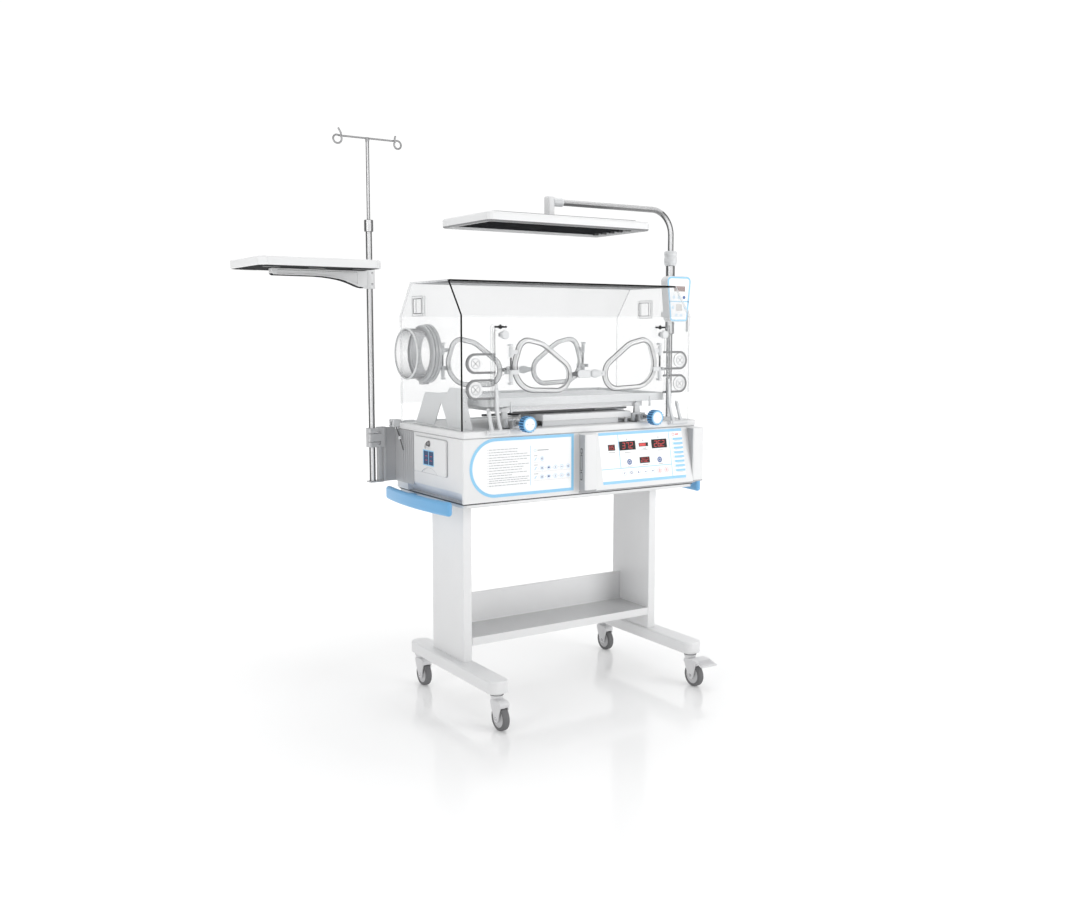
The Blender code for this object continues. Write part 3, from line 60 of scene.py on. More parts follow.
# ------------------------------------------------------------- dimensions
TRACK = 0.400
FOOT_W, FOOT_Z0, FOOT_Z1, FOOT_Y0, FOOT_Y1 = 0.070, 0.117, 0.159, -0.345, 0.236
COL_X0, COL_X1, COL_Y, COL_TOP = 0.3719, 0.4043, 0.1101, 0.6962
SHELF_Z0, SHELF_Z1, SHELF_BACK, SHELF_PANEL = 0.2105, 0.2381, 0.075, 0.343
WHEEL_R, TRAIL, SWIVEL_Y = 0.0404, 0.023, (-0.316, 0.213)
BODY_X, BODY_Y0, BODY_Y1 = 0.4741, -0.2406, 0.2357
BASE_Z0, BODY_Z0, DECK_Z0, DECK_Z1 = 0.6965, 0.7112, 0.9165, 0.9389
MOD_X0, MOD_X1, MOD_Y, MOD_Z0, MOD_Z1, CHEEK = -0.0366, 0.4790, -0.2814, 0.7220, 0.9150, 0.0492
HOOD_X, HOOD_Y, HOOD_Z0, HOOD_WALL_Z, HOOD_TOP, HOOD_IN = 0.4664, 0.2155, 0.9394, 1.3017, 1.4133, 0.0822
HOOD_T, END_T, HINGE_Y, HINGE_Z, HINGE_R = 0.0050, 0.0060, 0.2262, 0.9340, 0.0085
OPEN_X0, OPEN_X1, OPEN_Z1 = -0.3450, 0.3500, 1.2550
DOOR_X0, DOOR_X1, DOOR_Z0, DOOR_Z1, DOOR_Y0, DOOR_Y1 = -0.3607, 0.3660, 0.9950, 1.2735, -0.2225, -0.2175
DHINGE_Y, DHINGE_Z, DHINGE_R = -0.2505, 0.9340, 0.0075
PORT_MID = 0.0075
PORT_CIRCLES = ((-0.2340, 1.1841, 0.0450), (-0.1225, 1.1092, 0.0576), (-0.2083, 1.1387, 0.0837))
PORT_BAND, PORT_DEPTH, PANE_T, PHINGE_DX, PHINGE_Z0, PHINGE_Z1 = 0.0135, 0.0145, 0.0035, -0.3030, 1.0900, 1.2030
GROM_X, GROM_Z, GROM_R = (-0.4137, 0.4174), (1.0680, 1.1500), 0.0335
IRIS_Z, IRIS_BORE, IRIS_R0, IRIS_R1, IRIS_X1, SLEEVE_R = 1.1785, 0.0690, 0.0955, 0.0925, -0.4980, 0.0815
TRAY_X, TRAY_Y, TRAY_Z0, TRAY_Z1, TRAY_T = 0.3640, 0.2000, 1.0100, 1.0375, 0.0040
PIVOT_X, FRAME_Z0, FRAME_Z1 = 0.2600, 0.9897, 1.0097
KNOB_X, KNOB_Z, KNOB_R, KNOB_Y0, KNOB_Y1 = (-0.2580, 0.2600), 0.9570, 0.0265, -0.2905, -0.2615
IV_X, IV_Y, IV_R, IV_Z0, IV_Z1, ROD_R, ROD_TOP = -0.5650, 0.2380, 0.0107, 0.7400, 1.5830, 0.0057, 1.8890
MSH = (-0.9890, -0.5880, 0.0860, 0.3990, 1.4525, 1.4780)
LP_X, LP_Y, MAST_R, HOUS_R, ARM_Z, BEND_R = 0.5560, 0.0100, 0.0108, 0.0170, 1.6970, 0.0900
LAMP = (-0.3270, 0.3310, -0.1530, 0.1730, 1.6000, 1.6290)
CTRL = (0.4950, 0.6100, -0.0460, -0.0085, 1.2870, 1.4550)
LATCH_X, LATCH_Z = (-0.3235, 0.3215), 1.2400
DH = ((-0.3850, -0.3170), (0.3525, 0.4225))


# -------------------------------------------------------------- materials
class Nodes:
    def __init__(self, name):
        self.m = bpy.data.materials.new(name)
        self.m.use_nodes = True
        self.t = self.m.node_tree
        self.b = self.t.nodes["Principled BSDF"]
        self.tex = self.t.nodes.new("ShaderNodeTexCoord")

    def add(self, kind, **kw):
        n = self.t.nodes.new(kind)
        for k, v in kw.items():
            setattr(n, k, v)
        return n

    def link(self, a, ao, b, bi):
        self.t.links.new(a.outputs[ao], b.inputs[bi])

    def noise(self, scale, detail=3.0, stretch=None, rough=0.5):
        n = self.add("ShaderNodeTexNoise")
        n.inputs["Scale"].default_value = scale
        n.inputs["Detail"].default_value = detail
        n.inputs["Roughness"].default_value = rough
        if stretch:
            mp = self.add("ShaderNodeMapping")
            mp.inputs["Scale"].default_value = stretch
            self.link(self.tex, "Object", mp, "Vector")
            self.link(mp, "Vector", n, "Vector")
        else:
            self.link(self.tex, "Object", n, "Vector")
        return n

    def ramp(self, src, out, lo, hi, a, b):
        r = self.add("ShaderNodeMapRange")
        r.inputs["From Min"].default_value = lo
        r.inputs["From Max"].default_value = hi
        r.inputs["To Min"].default_value = a
        r.inputs["To Max"].default_value = b
        self.link(src, out, r, "Value")
        return r


def shade_color(c, f):
    return tuple(max(0.0, min(1.0, v * f)) for v in c)


def plastic(name, color, rough=0.4, vary=0.03, grain=900.0, bump=0.06, edge=0.05, coat=0.0, metal=0.0, stretch=None, spec=0.5):
    """Moulded or painted surface: a faint tone drift, fine grain in the bump
    and in the roughness, and slightly worn lighter edges."""
    n = Nodes(name)
    big = n.noise(7.0, 4.0)
    f = n.ramp(big, "Fac", 0.3, 0.7, 0.0, 1.0)
    mix = n.add("ShaderNodeMix", data_type="RGBA")
    mix.inputs[6].default_value = (*shade_color(color, 1.0 - vary), 1)
    mix.inputs[7].default_value = (*shade_color(color, 1.0 + vary), 1)
    n.link(f, "Result", mix, 0)
    geo = n.add("ShaderNodeNewGeometry")
    ed = n.ramp(geo, "Pointiness", 0.515, 0.60, 0.0, edge)
    wear = n.add("ShaderNodeMix", data_type="RGBA")
    wear.inputs[7].default_value = (*shade_color(color, 1.25), 1)
    n.link(ed, "Result", wear, 0)
    n.link(mix, 2, wear, 6)
    n.link(wear, 2, n.b, "Base Color")
    fine = n.noise(grain, 2.0, stretch)
    rr = n.ramp(fine, "Fac", 0.3, 0.7, max(0.02, rough - 0.05), rough + 0.07)
    n.link(rr, "Result", n.b, "Roughness")
    bp = n.add("ShaderNodeBump")
    bp.inputs["Strength"].default_value = bump
    bp.inputs["Distance"].default_value = 0.0004
    n.link(fine, "Fac", bp, "Height")
    n.link(bp, "Normal", n.b, "Normal")
    n.b.inputs["Metallic"].default_value = metal
    n.b.inputs["Specular IOR Level"].default_value = spec
    n.b.inputs["Coat Weight"].default_value = coat
    n.b.inputs["Coat Roughness"].default_value = 0.12
    return n.m


def metal(name, color, rough=0.22, stretch=(1, 1, 60), bump=0.05, vary=0.05):
    return plastic(name, color, rough, vary, 240.0, bump, 0.10, 0.0, 1.0, stretch)


def tube(name, core, limb, rough=0.30, power=0.62, stretch=(30, 30, 1)):
    """Drawn steel tube with a painted reflection: pale down the middle, dark towards the limbs."""
    n = Nodes(name)
    lw = n.add("ShaderNodeLayerWeight")
    lw.inputs["Blend"].default_value = 0.5
    pw = n.add("ShaderNodeMath", operation="POWER")
    pw.inputs[1].default_value = power
    n.link(lw, "Facing", pw, 0)
    mix = n.add("ShaderNodeMix", data_type="RGBA")
    mix.inputs[6].default_value = (*core, 1)
    mix.inputs[7].default_value = (*limb, 1)
    n.link(pw, "Value", mix, 0)
    n.link(mix, 2, n.b, "Base Color")
    fine = n.noise(240.0, 2.0, stretch)
    rr = n.ramp(fine, "Fac", 0.3, 0.7, rough - 0.04, rough + 0.06)
    n.link(rr, "Result", n.b, "Roughness")
    bp = n.add("ShaderNodeBump")
    bp.inputs["Strength"].default_value = 0.015
    bp.inputs["Distance"].default_value = 0.0002
    n.link(fine, "Fac", bp, "Height")
    n.link(bp, "Normal", n.b, "Normal")
    n.b.inputs["Metallic"].default_value = 0.20
    n.b.inputs["Specular IOR Level"].default_value = 0.4
    return n.m


def drawn(name, gain=1.0, rough=0.26, stretch=(30, 30, 1)):
    """Bright round tube with the white room's reflection painted into its colour: a light
    band down the middle, a dark line on each side of it and a grey limb."""
    n = Nodes(name)
    lw = n.add("ShaderNodeLayerWeight")
    lw.inputs["Blend"].default_value = 0.5
    cr = n.add("ShaderNodeValToRGB")
    stops = ((0.0, 0.90), (0.06, 0.80), (0.13, 0.28), (0.24, 0.08), (0.45, 0.11), (0.75, 0.30), (1.0, 0.38))
    el = cr.color_ramp.elements
    while len(el) < len(stops):
        el.new(0.5)
    for e, (at, v) in zip(el, stops):
        e.position = at
    for e, (at, v) in zip(el, stops):
        g = v * gain
        e.color = (g, g, g * 1.01, 1)
    n.link(lw, "Facing", cr, "Fac")
    n.link(cr, "Color", n.b, "Base Color")
    fine = n.noise(240.0, 2.0, stretch)
    rr = n.ramp(fine, "Fac", 0.3, 0.7, rough - 0.04, rough + 0.06)
    n.link(rr, "Result", n.b, "Roughness")
    bp = n.add("ShaderNodeBump")
    bp.inputs["Strength"].default_value = 0.015
    bp.inputs["Distance"].default_value = 0.0002
    n.link(fine, "Fac", bp, "Height")
    n.link(bp, "Normal", n.b, "Normal")
    n.b.inputs["Metallic"].default_value = 0.20
    n.b.inputs["Specular IOR Level"].default_value = 0.4
    return n.m


def painted_shade_level_tube(name, rough=0.26):
    """Bright round tube lying level, with painted light and shade: lighter above,
    darker below, with a paler painted reflection line along the bottom."""
    n = Nodes(name)
    geo = n.add("ShaderNodeNewGeometry")
    sep = n.add("ShaderNodeSeparateXYZ")
    n.link(geo, "Normal", sep, "Vector")
    up = n.ramp(sep, "Z", -1.0, 1.0, 0.0, 1.0)
    cr = n.add("ShaderNodeValToRGB")
    stops = ((0.0, 0.34), (0.22, 0.16), (0.45, 0.18), (0.58, 0.50), (0.78, 0.62), (0.92, 0.42), (1.0, 0.40))
    el = cr.color_ramp.elements
    while len(el) < len(stops):
        el.new(0.5)
    for e, (at, v) in zip(el, stops):
        e.position = at
    for e, (at, v) in zip(el, stops):
        e.color = (v, v, v * 1.01, 1)
    n.link(up, "Result", cr, "Fac")
    n.link(cr, "Color", n.b, "Base Color")
    n.b.inputs["Roughness"].default_value = rough
    n.b.inputs["Metallic"].default_value = 0.20
    n.b.inputs["Specular IOR Level"].default_value = 0.4
    return n.m


def clear(name, tint, a_face, a_edge, dark, power=3.0, rough=0.04, scratch=0.02):
    """Clear sheet: nearly invisible face on, denser and with a painted dark reflection
    at a glancing angle, with very fine wiping marks."""
    n = Nodes(name)
    lw = n.add("ShaderNodeLayerWeight")
    lw.inputs["Blend"].default_value = 0.5
    pw = n.add("ShaderNodeMath", operation="POWER")
    pw.inputs[1].default_value = power
    n.link(lw, "Facing", pw, 0)
    al = n.ramp(pw, "Value", 0.0, 1.0, a_face, a_edge)
    n.link(al, "Result", n.b, "Alpha")
    mix = n.add("ShaderNodeMix", data_type="RGBA")
    mix.inputs[6].default_value = (*tint, 1)
    mix.inputs[7].default_value = (*dark, 1)
    n.link(pw, "Value", mix, 0)
    n.link(mix, 2, n.b, "Base Color")
    fine = n.noise(60.0, 5.0, (1, 1, 14))
    rr = n.ramp(fine, "Fac", 0.35, 0.75, rough, rough + 0.05)
    n.link(rr, "Result", n.b, "Roughness")
    bp = n.add("ShaderNodeBump")
    bp.inputs["Strength"].default_value = scratch
    bp.inputs["Distance"].default_value = 0.0002
    n.link(fine, "Fac", bp, "Height")
    n.link(bp, "Normal", n.b, "Normal")
    n.b.inputs["Specular IOR Level"].default_value = 0.6
    return n.m


def led(name, color, strength):
    n = Nodes(name)
    ns = n.noise(500.0, 2.0)
    f = n.ramp(ns, "Fac", 0.3, 0.7, 0.85, 1.1)
    mix = n.add("ShaderNodeMix", data_type="RGBA")
    mix.inputs[6].default_value = (*shade_color(color, 0.8), 1)
    mix.inputs[7].default_value = (*color, 1)
    n.link(f, "Result", mix, 0)
    n.link(mix, 2, n.b, "Base Color")
    n.link(mix, 2, n.b, "Emission Color")
    n.b.inputs["Emission Strength"].default_value = strength
    n.b.inputs["Roughness"].default_value = 0.3
    return n.m


def cloth(name, color):
    n = Nodes(name)
    w1 = n.add("ShaderNodeTexWave", wave_type="BANDS", bands_direction="X")
    w1.inputs["Scale"].default_value = 420.0
    w1.inputs["Distortion"].default_value = 0.6
    w2 = n.add("ShaderNodeTexWave", wave_type="BANDS", bands_direction="Y")
    w2.inputs["Scale"].default_value = 420.0
    w2.inputs["Distortion"].default_value = 0.6
    n.link(n.tex, "Object", w1, "Vector")
    n.link(n.tex, "Object", w2, "Vector")
    mul = n.add("ShaderNodeMath", operation="MULTIPLY")
    n.link(w1, "Fac", mul, 0)
    n.link(w2, "Fac", mul, 1)
    soft = n.noise(12.0, 4.0)
    f = n.ramp(soft, "Fac", 0.3, 0.7, 0.0, 1.0)
    mix = n.add("ShaderNodeMix", data_type="RGBA")
    mix.inputs[6].default_value = (*shade_color(color, 0.95), 1)
    mix.inputs[7].default_value = (*shade_color(color, 1.03), 1)
    n.link(f, "Result", mix, 0)
    n.link(mix, 2, n.b, "Base Color")
    rr = n.ramp(mul, "Value", 0.0, 1.0, 0.50, 0.68)
    n.link(rr, "Result", n.b, "Roughness")
    bp = n.add("ShaderNodeBump")
    bp.inputs["Strength"].default_value = 0.15
    bp.inputs["Distance"].default_value = 0.0003
    n.link(mul, "Value", bp, "Height")
    n.link(bp, "Normal", n.b, "Normal")
    n.b.inputs["Sheen Weight"].default_value = 0.15
    return n.m


def roof():
    """Underside of the clear roof with painted shade: at a glancing angle it turns
    near black along the front bend and grey further back."""
    n = Nodes("m_clear_roof_under_painted_shade")
    lw = n.add("ShaderNodeLayerWeight")
    lw.inputs["Blend"].default_value = 0.5
    al = n.ramp(lw, "Facing", 0.86, 0.94, 0.04, 0.97)
    n.link(al, "Result", n.b, "Alpha")
    xyz = n.add("ShaderNodeSeparateXYZ")
    n.link(n.tex, "Object", xyz, "Vector")
    ns = n.noise(3.0, 3.0, (1, 6, 1))
    ad = n.add("ShaderNodeMath", operation="MULTIPLY_ADD")
    ad.inputs[1].default_value = 0.05
    n.link(ns, "Fac", ad, 0)
    n.link(xyz, "Y", ad, 2)
    f = n.ramp(ad, "Value", -0.005, 0.028, 0.0, 1.0)
    mix = n.add("ShaderNodeMix", data_type="RGBA")
    mix.inputs[6].default_value = (0.003, 0.003, 0.003, 1)
    mix.inputs[7].default_value = (0.36, 0.365, 0.37, 1)
    n.link(f, "Result", mix, 0)
    n.link(mix, 2, n.b, "Base Color")
    n.b.inputs["Roughness"].default_value = 0.6
    n.b.inputs["Specular IOR Level"].default_value = 0.0
    return n.m


M = {
    "roof": roof(),
    "paint": plastic("m_white_paint", (0.80, 0.803, 0.808), 0.34, 0.015, 700, 0.05, 0.05, 0.15),
    "case": plastic("m_white_casing", (0.775, 0.78, 0.785), 0.42, 0.015, 1100, 0.07, 0.05),
    "case2": plastic("m_cream_casing", (0.82, 0.82, 0.825), 0.42, 0.02, 1000, 0.07, 0.05),
    "alloy": plastic("m_brushed_alloy", (0.66, 0.665, 0.67), 0.40, 0.04, 240.0, 0.10, 0.10, 0.0, 0.35, (1, 60, 60)),
    # painted shade: the upright copy of the brushed alloy is darker than the flat one
    "alloy_v": plastic("m_brushed_alloy_upright_painted_shade", (0.53, 0.535, 0.545), 0.42, 0.04, 240.0, 0.10, 0.10, 0.0, 0.35, (60, 60, 1)),
    "lgrey": plastic("m_light_grey", (0.66, 0.67, 0.68), 0.40, 0.03, 900, 0.06, 0.08),
    "mgrey": plastic("m_mid_grey", (0.42, 0.43, 0.44), 0.42, 0.04, 900, 0.06, 0.08),
    "ring": plastic("m_ring_grey", (0.50, 0.51, 0.52), 0.26, 0.04, 700, 0.04, 0.08, 0.2),
    "tray": plastic("m_tray_grey", (0.70, 0.71, 0.715), 0.38, 0.02, 900, 0.05, 0.06),
    "dark": plastic("m_dark_grey", (0.075, 0.077, 0.08), 0.42, 0.08, 700, 0.06, 0.15),
    "black": plastic("m_black_gloss", (0.004, 0.004, 0.005), 0.22, 0.10, 500, 0.02, 0.0, spec=0.12),
    "blue": plastic("m_blue_moulding", (0.155, 0.42, 0.72), 0.36, 0.03, 1200, 0.07, 0.06, 0.15),
    "blue_d": plastic("m_blue_grip", (0.10, 0.32, 0.60), 0.42, 0.04, 1200, 0.09, 0.06),
    "tyre": plastic("m_grey_tyre", (0.155, 0.155, 0.16), 0.62, 0.05, 500, 0.15, 0.10),
    "hub": plastic("m_hub_grey", (0.60, 0.60, 0.61), 0.48, 0.04, 700, 0.08, 0.10),
    "fork": plastic("m_fork_grey", (0.72, 0.72, 0.73), 0.42, 0.03, 800, 0.07, 0.08),
    "grom": plastic("m_grommet_grey", (0.19, 0.193, 0.197), 0.45, 0.10, 500, 0.10, 0.12),
    # painted shade: near-black colour for shelf undersides and the lamp tubes in shade
    "under": plastic("m_shelf_under_painted_shade", (0.022, 0.023, 0.025), 0.80, 0.05, 700, 0.06, 0.06, spec=0.05),
    # painted shade: darker blue for the grooves of the tilt knobs
    "blue_k": plastic("m_blue_groove_painted_shade", (0.014, 0.075, 0.20), 0.5, 0.04, 1200, 0.06, 0.0),
    "crown": plastic("m_lamp_crown", (0.34, 0.345, 0.35), 0.42, 0.03, 900, 0.06, 0.06),
    "paint_f": plastic("m_shelf_floor", (0.56, 0.563, 0.568), 0.22, 0.02, 900, 0.04, 0.04),
    # grey of the module's left side, also used as painted shade on its downward faces
    "cheek": plastic("m_cheek_grey_and_painted_underside_shade", (0.40, 0.405, 0.415), 0.42, 0.03, 900, 0.06, 0.06),
    "scoop": plastic("m_scoop_grey", (0.72, 0.75, 0.80), 0.42, 0.03, 900, 0.06, 0.06),
    "rubber": plastic("m_black_rubber", (0.035, 0.035, 0.037), 0.55, 0.08, 700, 0.14, 0.08),
    # pole and rod: tube colours with painted reflection bands
    "pole": drawn("m_drawn_tube_painted_reflection"),
    "rod": drawn("m_drawn_rod_painted_reflection", 0.92),
    # arm: painted light on top and painted shade below
    "arm": painted_shade_level_tube("m_level_tube"),
    # steel and chrome: tube colours with a painted reflection, pale core and dark limbs
    "steel": tube("m_brushed_steel", (0.66, 0.66, 0.67), (0.0, 0.0, 0.0), power=0.50),
    "steel_x": metal("m_brushed_steel_across", (0.44, 0.44, 0.45), 0.22, (1, 60, 60)),
    "chrome": tube("m_polished_steel_painted_reflection", (0.54, 0.54, 0.55), (0.0, 0.0, 0.0), 0.30, 0.42, (8, 8, 1)),
    "screw": metal("m_screw_steel", (0.50, 0.50, 0.51), 0.28, (1, 1, 1), 0.05, 0.06),
    "film": plastic("m_film_white", (0.92, 0.925, 0.93), 0.36, 0.008, 1500, 0.03, 0.0),
    "film_b": plastic("m_film_light_blue", (0.265, 0.585, 0.845), 0.36, 0.02, 1500, 0.03, 0.0),
    "film_n": plastic("m_film_navy", (0.015, 0.085, 0.30), 0.34, 0.03, 1500, 0.03, 0.0),
    "film_g": plastic("m_film_grey_print", (0.34, 0.35, 0.37), 0.40, 0.05, 1500, 0.03, 0.0),
    "film_r": plastic("m_film_red_print", (0.75, 0.035, 0.05), 0.36, 0.03, 1500, 0.03, 0.0),
    "led": led("m_red_segments", (0.62, 0.010, 0.010), 0.55),
    "smoke": plastic("m_display_brown", (0.20, 0.12, 0.11), 0.20, 0.08, 900, 0.02, 0.0),
    "lcd": plastic("m_display_grey", (0.60, 0.575, 0.56), 0.26, 0.02, 900, 0.02, 0.0),
    "window": plastic("m_level_window", (0.012, 0.055, 0.15), 0.16, 0.10, 60, 0.02, 0.0, 0.0, spec=0.2),
    # clear sheets: painted dark reflection at a glancing angle; the top and slope copies are darker painted-shade
    # variants
    "acr": clear("m_clear_sheet", (0.86, 0.89, 0.91), 0.045, 0.55, (0.22, 0.23, 0.24), 4.0),
    "acr_top": clear("m_clear_top_painted_shade", (0.80, 0.83, 0.85), 0.07, 0.98, (0.02, 0.02, 0.022), 9.0),
    "acr_slope": clear("m_clear_slope_painted_shade", (0.72, 0.73, 0.74), 0.12, 0.75, (0.20, 0.21, 0.22), 4.0),
    # painted shade: near-black colour for the front edges of the clear sheet
    "edge_k": plastic("m_sheet_edge_painted_shade", (0.0012, 0.0012, 0.0013), 0.65, 0.15, 300, 0.02, 0.0, spec=0.02),
    "edge_g": clear("m_sheet_edge_pale", (0.70, 0.72, 0.73), 0.40, 0.9, (0.26, 0.27, 0.28), 2.6),
    "ringclr": clear("m_port_ring", (0.93, 0.935, 0.94), 0.50, 0.98, (0.05, 0.052, 0.055), 3.6, 0.05, 0.02),
    "bosclr": clear("m_boss_clear", (0.86, 0.87, 0.88), 0.10, 0.85, (0.10, 0.105, 0.11), 3.0),
    "sleeve": clear("m_sleeve_clear", (0.82, 0.83, 0.84), 0.06, 0.98, (0.02, 0.02, 0.022), 1.35),
    "membrane": clear("m_membrane", (0.94, 0.945, 0.95), 0.60, 0.9, (0.40, 0.41, 0.42), 3.0, 0.18),
    "cloth": cloth("m_coated_cloth", (0.74, 0.755, 0.77)),
    # painted shade: dark grey for the lamp's underside and reflector
    "lampface": plastic("m_lamp_face_painted_shade", (0.200, 0.203, 0.208), 0.30, 0.05, 300, 0.05, 0.0),
}


# ----------------------------------------------------------- shape builders
def add_object(name, me, mats):
    ob = bpy.data.objects.new(name, me)
    bpy.context.scene.collection.objects.link(ob)
    for m in mats:
        me.materials.append(M[m])
    return ob


def from_bm(name, bm, mats):
    me = bpy.data.meshes.new(name)
    bmesh.ops.recalc_face_normals(bm, faces=bm.faces)
    bm.to_mesh(me)
    bm.free()
    return add_object(name, me, [mats] if isinstance(mats, str) else mats)


def bake(ob):
    """Applies the modifiers."""
    dg = bpy.context.evaluated_depsgraph_get()
    me = bpy.data.meshes.new_from_object(ob.evaluated_get(dg))
    ob.modifiers.clear()
    old = ob.data
    ob.data = me
    bpy.data.meshes.remove(old)
    return ob


def bevel(ob, w, seg=3, deg=35.0):
    bm = bmesh.new()
    bm.from_mesh(ob.data)
    es = [e for e in bm.edges if len(e.link_faces) == 2 and e.calc_face_angle(0.0) > math.radians(deg)]
    bmesh.ops.bevel(bm, geom=es, offset=w, offset_type="OFFSET", segments=seg, profile=0.5, affect="EDGES", clamp_overlap=True)
    bm.to_mesh(ob.data)
    bm.free()
    return ob


def boolean(ob, other, op):
    b = ob.modifiers.new("b", "BOOLEAN")
    b.operation, b.solver, b.object = op, "EXACT", other
    bake(ob)
    me = other.data
    bpy.data.objects.remove(other, do_unlink=True)
    bpy.data.meshes.remove(me)
    return ob


def cut(ob, other):
    return boolean(ob, other, "DIFFERENCE")


def weld(ob, other):
    return boolean(ob, other, "UNION")


def V(x, y, z):
    return Vector((x, y, z)) + SHIFT


def box(name, lo, hi, mat="case", bev=0.0, seg=3):
    lo, hi = V(*lo), V(*hi)
    bm = bmesh.new()
    bmesh.ops.create_cube(bm, size=1.0)
    bmesh.ops.scale(bm, vec=hi - lo, verts=bm.verts)
    bmesh.ops.translate(bm, vec=(lo + hi) / 2, verts=bm.verts)
    if bev:
        bmesh.ops.bevel(bm, geom=list(bm.edges), offset=bev, offset_type="OFFSET", segments=seg, profile=0.5, affect="EDGES", clamp_overlap=True)
    return from_bm(name, bm, mat)


def lathe(name, profile, at, axis=(0, 0, 1), mat="case", seg=64, part=2 * math.pi):
    """Turns a closed (r, h) profile about an axis through `at`."""
    ax = Vector(axis).normalized()
    q = ax.to_track_quat("Z", "Y")
    bm = bmesh.new()
    rings = []
    for r, h in profile:
        if r < 1e-7:
            rings.append([bm.verts.new(q @ Vector((0, 0, h)) + V(*at))])
        else:
            rings.append([bm.verts.new(q @ Vector((r * math.cos(2 * math.pi * k / seg), r * math.sin(2 * math.pi * k / seg), h)) + V(*at)) for k in range(seg)])
    n = len(rings)
    closed = len(rings[0]) > 1 and len(rings[-1]) > 1
    for i in range(n if closed else n - 1):
        a, b = rings[i], rings[(i + 1) % n]
        if len(a) == 1 and len(b) == 1:
            continue
        for k in range(seg):
            j = (k + 1) % seg
            if len(a) == 1:
                bm.faces.new((a[0], b[j], b[k]))
            elif len(b) == 1:
                bm.faces.new((a[k], a[j], b[0]))
            else:
                bm.faces.new((a[k], a[j], b[j], b[k]))
    return from_bm(name, bm, mat)


def bar(name, p, q, r, mat="steel", seg=40, bev=0.0, r2=None):
    """Round bar between two points, ends slightly rounded."""
    p0, q0 = Vector(p), Vector(q)
    L = (q0 - p0).length
    r2 = r if r2 is None else r2
    e = min(bev, r * 0.45, r2 * 0.45, L * 0.4)
    prof = [(0, L), (r2 - e, L), (r2 - 0.3 * e, L - 0.3 * e), (r2, L - e), (r, e), (r - 0.3 * e, 0.3 * e), (r - e, 0), (0, 0)] if e > 0 else [(0, L), (r2, L), (r, 0), (0, 0)]
    return lathe(name, prof, p, q0 - p0, mat, seg)


PLANE = {"XY": (0, 0, 0), "XZ": (math.pi / 2, 0, 0), "YZ": (math.pi / 2, 0, math.pi / 2)}


def slab(name, loops, plane, a, b, mat="case", bev=0.0, seg=3, deg=35.0):
    """Flat outline with holes between two heights of the axis normal to it."""
    cu = bpy.data.curves.new(name + "_c", "CURVE")
    cu.dimensions = "2D"
    cu.fill_mode = "BOTH"
    cu.extrude = abs(b - a) / 2
    for pts in loops:
        sp = cu.splines.new("POLY")
        sp.points.add(len(pts) - 1)
        for k, (u, v) in enumerate(pts):
            sp.points[k].co = (u, v, 0, 1)
        sp.use_cyclic_u = True
    ob = bpy.data.objects.new(name + "_c", cu)
    bpy.context.scene.collection.objects.link(ob)
    dg = bpy.context.evaluated_depsgraph_get()
    me = bpy.data.meshes.new_from_object(ob.evaluated_get(dg))
    w = (a + b) / 2
    at = {"XY": (0, 0, w), "XZ": (0, w, 0), "YZ": (w, 0, 0)}[plane]
    from mathutils import Euler
    me.transform(Matrix.Translation(V(*at)) @ Euler(PLANE[plane]).to_matrix().to_4x4())
    bpy.data.objects.remove(ob, do_unlink=True)
    bpy.data.curves.remove(cu)
    bm = bmesh.new()
    bm.from_mesh(me)
    bmesh.ops.remove_doubles(bm, verts=bm.verts, dist=0.00001)
    bmesh.ops.dissolve_limit(bm, angle_limit=0.001, verts=bm.verts, edges=bm.edges) if len(loops) == 1 else None
    bmesh.ops.recalc_face_normals(bm, faces=bm.faces)
    bm.to_mesh(me)
    bm.free()
    me.materials.clear()
    out = add_object(name, me, [mat] if isinstance(mat, str) else mat)
    if bev:
        bevel(out, bev, seg, deg)
    return out


def wire(name, pts, r, mat="steel", seg=12, caps=True, closed=False):
    """Round bar along a poly line, built ring by ring."""
    P = [V(*p) for p in pts]
    n = len(P)
    bm = bmesh.new()
    rings = []
    up = None
    for i, p in enumerate(P):
        a = P[(i - 1) % n] if (closed or i > 0) else p
        b = P[(i + 1) % n] if (closed or i < n - 1) else p
        t = (b - a).normalized()
        if up is None:
            up = t.orthogonal().normalized()
        up = (up - t * up.dot(t)).normalized()
        side = t.cross(up)
        rings.append([bm.verts.new(p + (up * math.cos(2 * math.pi * k / seg) + side * math.sin(2 * math.pi * k / seg)) * r) for k in range(seg)])
    for i in range(n if closed else n - 1):
        a, b = rings[i], rings[(i + 1) % n]
        for k in range(seg):
            j = (k + 1) % seg
            bm.faces.new((a[k], a[j], b[j], b[k]))
    if not closed and caps:
        for ring, p, d in ((rings[0], P[0], P[0] - P[1]), (rings[-1], P[-1], P[-1] - P[-2])):
            d = d.normalized()
            prev = ring
            for f, h in ((0.75, 0.62), (0.35, 0.92)):
                cur = [bm.verts.new(p + (v.co - p) * f + d * r * h * 0.8) for v in ring]
                for k in range(seg):
                    j = (k + 1) % seg
                    bm.faces.new((prev[k], prev[j], cur[j], cur[k]))
                prev = cur
            c = bm.verts.new(p + d * r * 0.8)
            for k in range(seg):
                bm.faces.new((prev[k], prev[(k + 1) % seg], c))
    return from_bm(name, bm, mat)


def paint_faces(ob, rule):
    """rule(centre in stand coordinates, normal) -> material slot index."""
    for f in ob.data.polygons:
        f.material_index = rule(Vector(f.center) - SHIFT, f.normal)
    return ob


